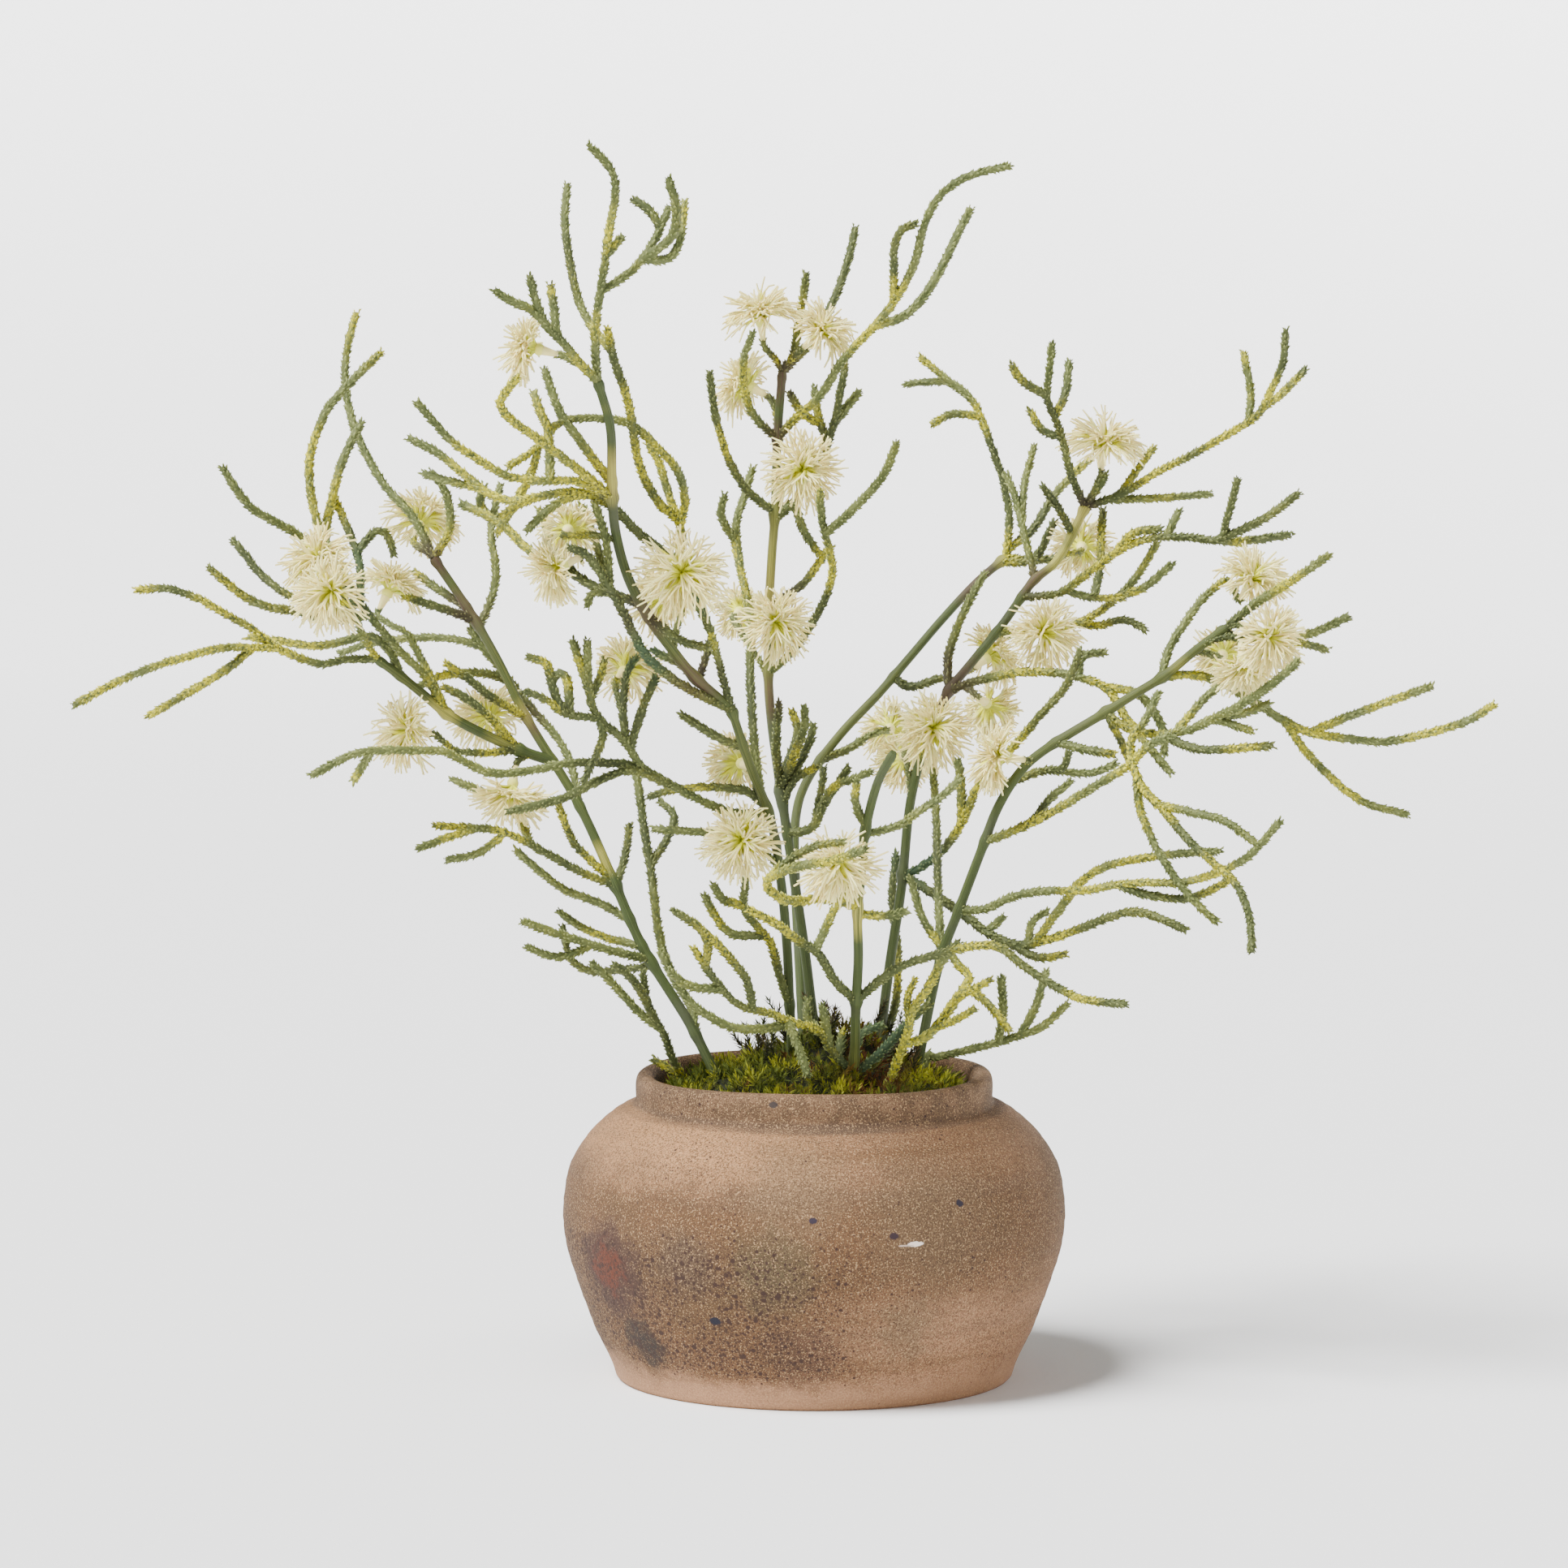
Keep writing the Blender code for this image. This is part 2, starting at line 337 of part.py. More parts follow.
        (SCALY, 0.5, "61,83.6 65,85.5 70,87.4 75.6,89.4"),
        (SCALY, -0.2, "57.7,85 60,81.7 63.5,78 67.3,75.2 72.8,73.6"),
        (SCALY, 0.4, "43,90.7 43.3,93.5 45,96.5 47.5,100 50.3,102.5"),
        (SCALY, -0.6, "50.5,96.5 54,99.5 58,102 62.9,105.4"),
        (SCALY, -0.3, "50,96.1 52.5,95.3 57,95 61,95.9 65.4,97.9"),
        (SCALY, 0.4, "58,95.1 62.8,93.8"),
        (SCALY, 0.4, "35.5,86 37.5,83 38.5,80.5"),
        (SCALY, -0.3, "30,82.6 33,81.7 37,81"),
        (SCALY, 0.3, "24.5,71.6 27,73 29,75.5 31.7,77.8"),
        (SCALY, -0.45, "18,62 21,62 25,63.7 29,64.3 33,64.3 37,65 41,65.3 45,65.3 49,66.3 53,68.3 55,70.3"
                       " 57.2,72.9"),
        (SCALY, -0.2, "37,65 41,63.8 45,63.3 48,64 51.5,65.9"),
        (SCALY, 0.5, "15.9,56.5 15.4,65 15.2,73 14.7,80"),
        (SCALY, 0.3, "16,57 13.5,61 12,66"),
    )),
    "sprig_right_rim": (3, (
        (SCALY, 0.1, "14,43.5 17,44.2 20.5,45 25,46.3 28.3,47.6 31.4,50.5"),
        (SCALY, -0.3, "22.5,45.5 23.4,49.5 23.2,53.6"),
        (SCALY, 0.4, "25.5,46.5 27.3,49.8 28.7,54.5"),
    )),
    "sprig_front": (-9, (
        (SCALY, -0.4, "9,39.5 10.5,43.3 11.8,47 12.3,49.5 14,52 16,55.7 18,58"),
        (SCALY, -0.1, "12,48 11.7,51 12.7,53.5"),
        (SCALY, 0.4, "11.2,45 14,46.3 16.5,49.2 18.7,52.5 19.2,53.8 17.8,55.3 16.8,57"),
        (SCALY, -0.3, "15.8,48.2 17.5,50.8 19.5,52 22,53.4"),
        (SCALY, -0.5, "15.2,47.5 17.5,48.3 20,49.8"),
        (SCALY, 0.6, "18.9,52.9 21.5,50.4 24.3,47"),
    )),
}

# Each bloom: its stem, the point of the stem that its stalk leaves, its centre, its radius,
# and which way it faces. Squares, seen from the front; then the turn and the lift in
# degrees, where turn 0 faces the front, 90 the right, and lift 90 is straight up.
BLOOMS = (
    ("stem_centre_tall", (-3.6, 127.6), (-6.3, 135.3), 5.0, -20, 75),
    ("stem_centre_tall", (-3.6, 127.6), (1.5, 133.0), 4.5, 60, 40),
    ("stem_centre_tall", (-4.2, 119.8), (-8.5, 126.3), 4.5, -120, 25),
    ("stem_centre_tall", (-4.5, 112.0), (-1.2, 116.2), 5.2, 0, 10),
    ("stem_centre_left", (-26.0, 126.5), (-34.5, 130.7), 4.5, -90, 15),
    ("stem_left", (-46.0, 105.0), (-47.5, 110.0), 5.0, 165, 40),
    ("stem_left", (-55.0, 99.5), (-60.0, 105.5), 4.7, -35, 40),
    ("stem_left", (-52.0, 92.0), (-58.5, 101.2), 5.0, -15, 5),
    ("stem_left", (-49.0, 95.5), (-51.0, 102.0), 4.5, 120, 60),
    ("stem_centre_left", (-25.0, 102.0), (-31.5, 103.8), 4.5, -75, -20),
    ("stem_centre_left", (-23.5, 107.0), (-29.5, 108.5), 4.0, 170, 10),
    ("stem_centre_left", (-12.3, 96.0), (-15.7, 103.7), 6.0, 5, 10),
    ("stem_centre_left", (-16.5, 93.2), (-18.5, 100.0), 4.5, -140, -5),
    ("stem_centre_tall", (-5.3, 93.0), (-4.3, 97.5), 4.8, 10, 0),
    ("stem_centre_tall", (-5.2, 90.0), (-8.5, 98.5), 3.8, 165, 10),
    ("stem_centre_left", (-22.8, 85.0), (-22.5, 91.5), 4.5, 160, 20),
    ("stem_left", (-43.0, 81.3), (-49.5, 84.3), 5.0, -50, 10),
    ("stem_left", (-35.0, 81.4), (-39.8, 86.0), 4.8, -155, 30),
    ("stem_left", (-34.0, 80.8), (-36.7, 76.0), 5.0, -20, -65),
    ("stem_centre_left", (-5.8, 75.0), (-9.3, 80.0), 4.2, -150, 10),
    ("stem_centre_left", (-4.0, 66.5), (-8.7, 71.0), 5.2, -10, 5),
    ("stem_front", (5.6, 61.5), (3.3, 68.0), 5.2, 10, -15),
    ("stem_right_tall", (33.2, 111.2), (35.5, 119.8), 5.5, 20, 75),
    ("stem_right_tall", (30.0, 105.0), (33.0, 106.5), 4.3, 175, 10),
    ("stem_right_tall", (22.5, 96.0), (28.3, 96.3), 5.0, 20, 5),
    ("stem_right_tall", (19.0, 91.7), (22.5, 93.5), 4.5, 120, 30),
    ("stem_right_tall", (13.0, 79.5), (14.8, 84.8), 5.3, 10, 15),
    ("stem_back_long", (6.5, 83.0), (9.8, 84.0), 4.2, 170, 0),
    ("stem_right_tall", (12.0, 75.0), (11.3, 80.0), 4.0, 180, -20),
    ("stem_right_tall", (16.5, 88.5), (22.0, 86.5), 4.2, 150, -25),
    ("stem_right", (26.2, 79.6), (22.3, 81.0), 4.7, -75, 10),
    ("stem_right", (50.3, 102.5), (53.7, 103.2), 5.0, 35, 50),
    ("stem_right", (50.5, 96.5), (55.6, 95.6), 4.8, 20, -5),
    ("stem_right", (46.0, 93.2), (50.5, 93.0), 4.3, 165, 0),
    ("stem_right", (47.5, 94.4), (52.5, 91.5), 4.2, 10, -60),
)


def make_material(name, colour, roughness):
    """Plain matt finish with one colour."""
    material = bpy.data.materials.new(name)
    material.use_nodes = True
    shader = material.node_tree.nodes["Principled BSDF"]
    shader.inputs["Base Color"].default_value = (*colour, 1.0)
    shader.inputs["Roughness"].default_value = roughness
    shader.inputs["Metallic"].default_value = 0.0
    return material


def make_object(name, vertices, faces, material):
    """Mesh object from plain lists, linked to the scene."""
    mesh = bpy.data.meshes.new(name)
    mesh.from_pydata([tuple(v) for v in vertices], [], faces)
    mesh.materials.append(material)
    thing = bpy.data.objects.new(name, mesh)
    bpy.context.scene.collection.objects.link(thing)
    return thing


def smooth_points(points, count):
    """Points on a curve that passes through all the given ones, count to each span."""
    padded = [2 * points[0] - points[1], *points, 2 * points[-1] - points[-2]]
    curve = []
    for before, start, end, after in zip(padded, padded[1:], padded[2:], padded[3:]):
        for t in np.arange(count) / count:
            curve.append(0.5 * (2 * start + (end - before) * t
                                + (2 * before - 5 * start + 4 * end - after) * t ** 2
                                + (3 * start - before - 3 * end + after) * t ** 3))
    curve.append(points[-1])
    return np.array(curve)


def even_points(curve, step):
    """The same curve with its points a like distance apart, near the given step."""
    lengths = np.concatenate([[0.0], np.cumsum(np.linalg.norm(np.diff(curve, axis=0), axis=1))])
    wanted = np.linspace(0.0, lengths[-1], max(3, int(round(lengths[-1] / step)) + 1))
    return np.column_stack([np.interp(wanted, lengths, curve[:, i]) for i in range(curve.shape[1])])


class Run:
    """One smooth stem or scaly twig: its samples across, up and in depth, all in squares."""

    def __init__(self, stem, kind, lean, text):
        points = [np.array([float(v) for v in pair.split(",")]) for pair in text.split()]
        self.stem = stem
        self.kind = kind
        self.lean = lean * LEAN_SHARE
        self.points = points
        self.host = None
        self.host_at = 0

    def lay(self, start_depth):
        self.at = even_points(smooth_points(self.points, 8), SAMPLE_STEP)
        along = np.concatenate([[0.0], np.cumsum(np.linalg.norm(np.diff(self.at, axis=0), axis=1))])
        self.depth = start_depth + self.lean * along * (1.0 - 0.25 * along / (along[-1] + 12.0))

    def nearest(self, point):
        gaps = np.linalg.norm(self.at - point, axis=1)
        index = int(np.argmin(gaps))
        return gaps[index], index


def find_root(runs, point):
    """Run and sample of the same stem that lie nearest to a point of the front view."""
    return min(((*run.nearest(point), run) for run in runs), key=lambda found: found[0])


def lay_out_stems():
    """Every run with its depth, each starting exactly on the run that it grows from."""
    layout = {}
    for name, (soil_depth, entries) in STEMS.items():
        runs = []
        for kind, lean, text in entries:
            run = Run(name, kind, lean, text)
            if runs:
                _, index, host = find_root(runs, run.points[0])
                run.host, run.host_at = host, index
                run.points[0] = host.at[index].copy()
                run.lay(host.depth[index])
            else:
                run.lay(soil_depth)
            runs.append(run)
        layout[name] = runs
    return layout


def facing(turn, lift):
    """Unit vector for a turn from the front towards the right and a lift above level."""
    turn, lift = math.radians(turn), math.radians(lift)
    return np.array([math.sin(turn) * math.cos(lift), -math.cos(turn) * math.cos(lift), math.sin(lift)])


class Bloom:
    """One bloom: its place in squares across, up and in depth, and the stalk that carries it."""

    def __init__(self, number, entry, layout):
        stem, root, centre, radius, turn, lift = entry
        self.name = f"bloom_{number:02d}"
        self.stem = stem
        self.radius = radius
        self.axis = facing(turn, lift)
        _, self.root_at, self.root_run = find_root(layout[stem], np.array(root))
        self.centre = np.array(centre)
        self.depth = self.root_run.depth[self.root_at] + self.axis[1] * HEAD_DEPTH

    def place(self):
        """Centre as across, depth, up."""
        return np.array([self.centre[0], self.depth, self.centre[1]])

    def seat(self):
        """Where the stalk meets the cup, as across, depth, up."""
        back = CUP_LENGTH / SQUARE + CENTRE_SHARE * self.radius
        return self.place() - self.axis * back

    def stalk(self):
        """Samples of the stalk, from the stem's middle to the cup."""
        run, index = self.root_run, self.root_at
        start = np.array([run.at[index][0], run.depth[index], run.at[index][1]])
        end = self.seat()
        reach = np.linalg.norm(end - start)
        ahead = min(index + 2, len(run.at) - 1)
        behind = max(ahead - 3, 0)
        along = np.array([run.at[ahead][0] - run.at[behind][0], run.depth[ahead] - run.depth[behind],
                          run.at[ahead][1] - run.at[behind][1]])
        leave = STALK_LEAVE * reach * along / np.linalg.norm(along)
        arrive = STALK_ARRIVE * reach * self.axis
        steps = np.linspace(0.0, 1.0, max(4, int(round(reach / STALK_STEP)) + 1))[:, None]
        return ((2 * steps ** 3 - 3 * steps ** 2 + 1) * start + (steps ** 3 - 2 * steps ** 2 + steps) * leave
                + (3 * steps ** 2 - 2 * steps ** 3) * end + (steps ** 3 - steps ** 2) * arrive)


def crossing_pairs(samples, radii, owners):
    """Samples of different stems that would meet if they lay at one depth."""
    tree = kdtree.KDTree(len(samples))
    for index, (across, up) in enumerate(samples):
        tree.insert((across, up, 0.0), index)
    tree.balance()
    widest = 2 * max(radii) + CLEARING
    first, second, needed = [], [], []
    for index, (across, up) in enumerate(samples):
        for _, other, gap in tree.find_range((across, up, 0.0), widest):
            need = radii[index] + radii[other] + CLEARING
            if other > index and owners[index] != owners[other] and gap < need:
                first.append(index)
                second.append(other)
                needed.append(math.sqrt(need ** 2 - gap ** 2))
    return np.array(first), np.array(second), np.array(needed)


def push_apart(depth, pairs, ease):
    """Depth change that takes crossing samples clear of each other."""
    first, second, needed = pairs
    gap = depth[first] - depth[second]
    side = np.where(gap >= 0, 1.0, -1.0)
    short = np.maximum(needed - np.abs(gap), 0.0)
    share = ease[first] / (ease[first] + ease[second])
    moves = np.zeros_like(depth)
    counts = np.full_like(depth, 1e-9)
    np.add.at(moves, first, side * short * share)
    np.add.at(moves, second, -side * short * (1.0 - share))
    np.add.at(counts, first, short > 0)
    np.add.at(counts, second, short > 0)
    return moves / np.maximum(counts, 1.0)


def bend_clear(layout, blooms):
    """Moves runs and blooms in depth alone until those of different stems pass clear."""
    runs = [run for stem in layout.values() for run in stem]
    starts = np.cumsum([0] + [len(run.at) for run in runs])
    samples = np.concatenate([run.at for run in runs])
    owners = np.concatenate([[run.stem] * len(run.at) for run in runs])
    radii = np.concatenate([[(SMOOTH_RADIUS if run.kind == SMOOTH else SCALY_RADIUS) / SQUARE] * len(run.at)
                            for run in runs])
    ease = np.concatenate([[SMOOTH_EASE if run.kind == SMOOTH else 1.0] * len(run.at) for run in runs])
    pairs = crossing_pairs(samples, radii, owners)
    laid = np.concatenate([run.depth for run in runs])
    shift = np.zeros_like(laid)
    index_of = {id(run): number for number, run in enumerate(runs)}
    for _ in range(CLEAR_ROUNDS):
        depth = laid + shift
        shift = shift + RUN_PUSH * push_apart(depth, pairs, ease)
        depth = laid + shift
        points = np.column_stack([samples[:, 0], depth, samples[:, 1]])
        for bloom in blooms:
            clear_bloom(bloom, points, shift, ease, starts, index_of)
        for left, right in ((a, b) for i, a in enumerate(blooms) for b in blooms[i + 1:]):
            part_blooms(left, right)
        for number, run in enumerate(runs):
            piece = shift[starts[number]:starts[number + 1]]
            if run.host is not None:
                piece[0] = shift[starts[index_of[id(run.host)]] + run.host_at]
            middle = 0.25 * piece[:-2] + 0.5 * piece[1:-1] + 0.25 * piece[2:]
            piece[1:-1] = middle
            piece[-1] = piece[-2]
            if run.host is None:
                piece[0] = 0.0
        for number, run in enumerate(runs):
            run.depth = (laid + shift)[starts[number]:starts[number + 1]]
    return layout


def clear_bloom(bloom, points, shift, ease, starts, index_of):
    """Takes runs off one bloom, and the bloom and its stalk off the runs."""
    away = points - bloom.place()
    reach = HEAD_GUARD * bloom.radius + SCALY_RADIUS / SQUARE + CLEARING
    flat = np.hypot(away[:, 0], away[:, 2])
    near = (np.linalg.norm(away, axis=1) < reach) & (away @ bloom.axis > -HEAD_BACK * bloom.radius)
    root = starts[index_of[id(bloom.root_run)]] + bloom.root_at
    if near.any():
        short = np.sqrt(reach ** 2 - flat[near] ** 2) - np.abs(away[near, 1])
        side = np.where(away[near, 1] >= 0, 1.0, -1.0)
        shift[near] += HEAD_PUSH * side * short * ease[near]
        bloom.depth -= HEAD_GIVE * float(np.mean(side * short))
    stalk = bloom.stalk()
    own = bloom.root_run
    for place in stalk[1:]:
        gaps = points - place
        need = (STALK_RADIUS + SCALY_RADIUS) / SQUARE + CLEARING
        close = np.linalg.norm(gaps, axis=1) < need
        first = starts[index_of[id(own)]]
        close[max(first, root - ROOT_FREE):root + ROOT_FREE + 1] = False
        if close.any() and np.linalg.norm(place - stalk[0]) > 1.5:
            side = np.where(gaps[close, 1] >= 0, 1.0, -1.0)
            shift[close] += HEAD_PUSH * side * (need - np.abs(gaps[close, 1])) * ease[close]


def part_blooms(left, right):
    """Moves two blooms apart in depth where their heads would meet."""
    gap = left.place() - right.place()
    need = HEADS_GUARD * (left.radius + right.radius)
    flat = math.hypot(gap[0], gap[2])
    if np.linalg.norm(gap) < need:
        short = math.sqrt(need ** 2 - flat ** 2) - abs(gap[1])
        side = 1.0 if gap[1] >= 0 else -1.0
        left.depth += HEADS_PUSH * side * short
        right.depth -= HEADS_PUSH * side * short


def from_front(across, depth, up):
    """Point in metres that shows at (across, up) squares from the front, at a depth in squares."""
    reach = 1.0 + depth * SQUARE / VIEW_DISTANCE
    x = EYE_ACROSS + (across * SQUARE + LAYOUT_ACROSS - EYE_ACROSS) * reach
    z = EYE_HEIGHT + (up * SQUARE + LAYOUT_FOOT - EYE_HEIGHT) * reach
    return Vector((x, depth * SQUARE, z))


def run_line(run):
    """Middle line of a run in metres."""
    return [from_front(across, depth, up) for (across, up), depth in zip(run.at, run.depth)]


def stem_foot(line):
    """Points that carry a stem from its first sample down into the filling."""
    top = line[0]
    foot = Vector((top.x * STEM_FOOT_SPREAD, top.y * STEM_FOOT_SPREAD, STEM_FOOT_HEIGHT))
    return [foot, foot.lerp(top, 0.5)]


def tube(line, radii, sides, twisted):
    """Closed tube round a line; a twisted one turns every other ring by half a side."""
    vertices, faces = [], []
    ahead = (line[1] - line[0]).normalized()
    across = ahead.orthogonal().normalized()
    for number, (place, radius) in enumerate(zip(line, radii)):
        after = line[min(number + 1, len(line) - 1)]
        before = line[max(number - 1, 0)]
        turned = (after - before).normalized()
        across = ahead.rotation_difference(turned) @ across
        across = (across - across.dot(turned) * turned).normalized()
        ahead = turned
        up = ahead.cross(across)
        offset = math.pi / sides if twisted and number % 2 else 0.0
        for side in range(sides):
            angle = offset + 2 * math.pi * side / sides
            vertices.append(place + radius * (math.cos(angle) * across + math.sin(angle) * up))
    for number in range(len(line) - 1):
        low, high = number * sides, (number + 1) * sides
        lead = 1 if twisted and number % 2 else 0
        for side in range(sides):
            a, b = low + side, low + (side + 1) % sides
            if lead:
                c, d = high + (side + 1) % sides, high + side
                faces += [(a, b, c), (a, c, d)]
            else:
                c, d = high + side, high + (side + 1) % sides
                faces += [(a, b, c), (b, d, c)]
    last = (len(line) - 1) * sides
    faces.append(tuple(range(sides))[::-1])
    faces.append(tuple(range(last, last + sides)))
    return vertices, faces


def pick(line, step):
    """Every step-th point of a line, with both ends."""
    count = max(2, int(round((len(line) - 1) / step)) + 1)
    return [line[int(round(i))] for i in np.linspace(0, len(line) - 1, count)]


def smooth_tube(line, extra=0.0):
    """Jointed smooth stem, slightly thinner towards its tip, with a collar at the tip."""
    rings = pick(line, SMOOTH_RING_STEP)
    tip = rings[-1] + (rings[-1] - rings[-2]).normalized() * COLLAR_LENGTH
    radii = [SMOOTH_RADIUS * (1.0 - SMOOTH_TAPER * i / len(rings)) + extra for i in range(len(rings))]
    radii[-1] *= COLLAR_SWELL
    rings.append(tip)
    radii.append(radii[-2] * COLLAR_END)
    return tube(rings, radii, SMOOTH_SIDES, False)


def scaly_tube(line, extra=0.0):
    """Scaly twig: rings swell and narrow in turn."""
    rings = pick(line, SCALY_RING_STEP)
    radii = [(SCALY_RADIUS if i % 2 else SCALY_WAIST) + extra for i in range(len(rings))]
    return tube(rings, radii, SCALY_SIDES, True)


def run_tube(run, extra=0.0):
    line = run_line(run)
    if run.host is None:
        line = stem_foot(line) + line
    return smooth_tube(line, extra) if run.kind == SMOOTH else scaly_tube(line, extra)


def stalk_line(bloom):
    """Middle line of a bloom's stalk in metres, short of the cup by the seat gap."""
    line = [from_front(across, depth, up) for across, depth, up in bloom.stalk()]
    axis = Vector(bloom.axis)
    seat = line[-1] - axis * SEAT_GAP
    return [*line[:-1], seat - axis * STALK_END, seat] if len(line) > 3 else [*line[:-1], seat]


def join_bodies(name, shapes, material):
    """One closed body from shapes that cross each other."""
    base = make_object(name, *shapes[0], material)
    if len(shapes) > 1:
        group = bpy.data.collections.new(f"{name}_joined")
        bpy.context.scene.collection.children.link(group)
        for vertices, faces in shapes[1:]:
            piece = make_object("joined_piece", vertices, faces, material)
            bpy.context.scene.collection.objects.unlink(piece)
            group.objects.link(piece)
        union = base.modifiers.new("join", "BOOLEAN")
        union.operation = "UNION"
        union.operand_type = "COLLECTION"
        union.collection = group
        union.solver = "EXACT"
        apply_modifiers(base)
        for piece in list(group.objects):
            bpy.data.objects.remove(piece)
        bpy.data.collections.remove(group)
    keep_outer_body(base)
    return base


def apply_modifiers(thing):
    """Puts the evaluated shape into the object's own mesh."""
    bpy.context.view_layer.update()
    evaluated = thing.evaluated_get(bpy.context.evaluated_depsgraph_get())
    mesh = bpy.data.meshes.new_from_object(evaluated)
    thing.modifiers.clear()
    thing.data = mesh


def keep_outer_body(thing):
    """Drops loose scraps and sealed hollows: only the largest closed surface stays."""
    shape = bmesh.new()
    shape.from_mesh(thing.data)
    bmesh.ops.triangulate(shape, faces=shape.faces)
    bmesh.ops.remove_doubles(shape, verts=shape.verts, dist=MERGE_DISTANCE)
    bmesh.ops.dissolve_degenerate(shape, edges=shape.edges, dist=MERGE_DISTANCE)
    bmesh.ops.triangulate(shape, faces=shape.faces)
    left = set(shape.faces)
    bodies = []
    while left:
        body, edge_of = [], [left.pop()]
        while edge_of:
            face = edge_of.pop()
            body.append(face)
            for edge in face.edges:
                for other in edge.link_faces:
                    if other in left:
                        left.discard(other)
                        edge_of.append(other)
        bodies.append(body)
    bodies.sort(key=len, reverse=True)
    for body in bodies[1:]:
        bmesh.ops.delete(shape, geom=body, context="FACES")
    shape.to_mesh(thing.data)
    shape.free()


def lathe(outline):
    """Closed turned body from a closed outline of (radius, height), outside first, running up."""
    vertices, faces = [], []
    count = len(outline)
    for side in range(JAR_SIDES):
        angle = 2 * math.pi * side / JAR_SIDES
        vertices += [(r * math.cos(angle), r * math.sin(angle), z) for r, z in outline]
    for side in range(JAR_SIDES):
        here, there = side * count, ((side + 1) % JAR_SIDES) * count
        for row in range(count - 1):
            faces.append((here + row, there + row, there + row + 1, here + row + 1))
    faces.append(tuple(side * count for side in range(JAR_SIDES))[::-1])
    faces.append(tuple(side * count + count - 1 for side in range(JAR_SIDES)))
    return vertices, faces


def body_outline():
    """Outside of the jar from its foot to its shoulder, evenly sampled."""
    curve = smooth_points([np.array(point) for point in BODY_OUTLINE], 6)
    return [tuple(point) for point in even_points(curve, BODY_RING_STEP)]


def inside_outline():
    """Inside of the jar from the neck down to the floor: the outside less the wall."""
    rows = [(r - WALL, z) for r, z in body_outline() if INSIDE_START < z < INSIDE_END]
    return [*rows[::-1], (rows[0][0] - FLOOR_CURVE, FLOOR)]


def build_jar():
    clay = make_material("brown_stoneware", (0.33, 0.21, 0.14), 0.85)
    outline = [(BODY_OUTLINE[0][0] - FOOT_CHAMFER, 0.0), *body_outline(), *LIP_OUTLINE, *inside_outline()]
    jar = make_object("jar", *lathe(outline), clay)
    jar.data.shade_smooth()
    jar.data.set_sharp_from_angle(angle=math.radians(SHARP_ANGLE))
    return jar


def build_filling(layout):
    """Foam that fills the jar to its neck, with a plain hole for every stem's foot."""
    foam = make_material("dark_foam", (0.08, 0.06, 0.05), 0.95)
    rows = [(r - SEAT_GAP, max(z, FLOOR + SEAT_GAP)) for r, z in inside_outline()[::-1]]
    filling = make_object("foam_filling", *lathe([row for row in rows if row[1] < FILL_TOP]), foam)
    cut_holes(filling, [runs[0] for runs in layout.values()])
    return filling


def moss_height(x, y):
    """Height of the moss before its tufts: low at the lip, mounded towards the back right."""
    spread = math.hypot(x, y) / MOSS_RADIUS
    mound = MOSS_MOUND * (1.0 - spread ** 2)
    off = math.hypot(x - MOSS_BACK_PLACE[0], y - MOSS_BACK_PLACE[1])
    back = MOSS_BACK_MOUND * math.exp(-(off / MOSS_BACK_REACH) ** 2)
    roll = MOSS_ROLL * math.sin(x * MOSS_ROLL_TURNS[0] + 1.0) * math.cos(y * MOSS_ROLL_TURNS[1])
    return MOSS_EDGE_HEIGHT + mound + (back + roll) * (1.0 - spread ** 4)


def build_moss(layout):
    """Moss pad on the filling, its top raised into tufts."""
    moss_green = make_material("moss", (0.14, 0.16, 0.03), 0.95)
    vertices, faces = [], []
    for ring in range(1, MOSS_RINGS + 1):
        radius = MOSS_RADIUS * ring / MOSS_RINGS
        for side in range(MOSS_SIDES):
            angle = 2 * math.pi * (side + 0.5 * (ring % 2)) / MOSS_SIDES
            x, y = radius * math.cos(angle), radius * math.sin(angle)
            tuft = MOSS_TUFT * (1 if (side + ring) % 2 else -1) if ring < MOSS_RINGS else 0.0
            vertices.append((x, y, moss_height(x, y) + tuft))
    vertices += [(x, y, FILL_TOP) for x, y, _ in vertices[-MOSS_SIDES:]]
    for ring in range(MOSS_RINGS - 1):
        low, high = ring * MOSS_SIDES, (ring + 1) * MOSS_SIDES
        for side in range(MOSS_SIDES):
            after = (side + 1) % MOSS_SIDES
            here, there = low + side, low + after
            if ring % 2:
                faces += [(here, high + side, high + after), (here, high + after, there)]
            else:
                faces += [(here, high + side, there), (there, high + side, high + after)]
    top, bottom = (MOSS_RINGS - 1) * MOSS_SIDES, MOSS_RINGS * MOSS_SIDES
    for side in range(MOSS_SIDES):
        after = (side + 1) % MOSS_SIDES
        faces.append((top + side, bottom + side, bottom + after, top + after))
    middle = len(vertices)
    vertices.append((0.0, 0.0, moss_height(0.0, 0.0)))
    faces += [(middle, side, (side + 1) % MOSS_SIDES) for side in range(MOSS_SIDES)]
    faces.append(tuple(bottom + side for side in range(MOSS_SIDES))[::-1])
    moss = make_object("moss_pad", vertices, faces, moss_green)
    runs = [run for stem in layout.values() for run in stem]
    cut_holes(moss, [run for run in runs if min(place.z for place in run_line(run)) < MOSS_HOLES_BELOW])
    return moss


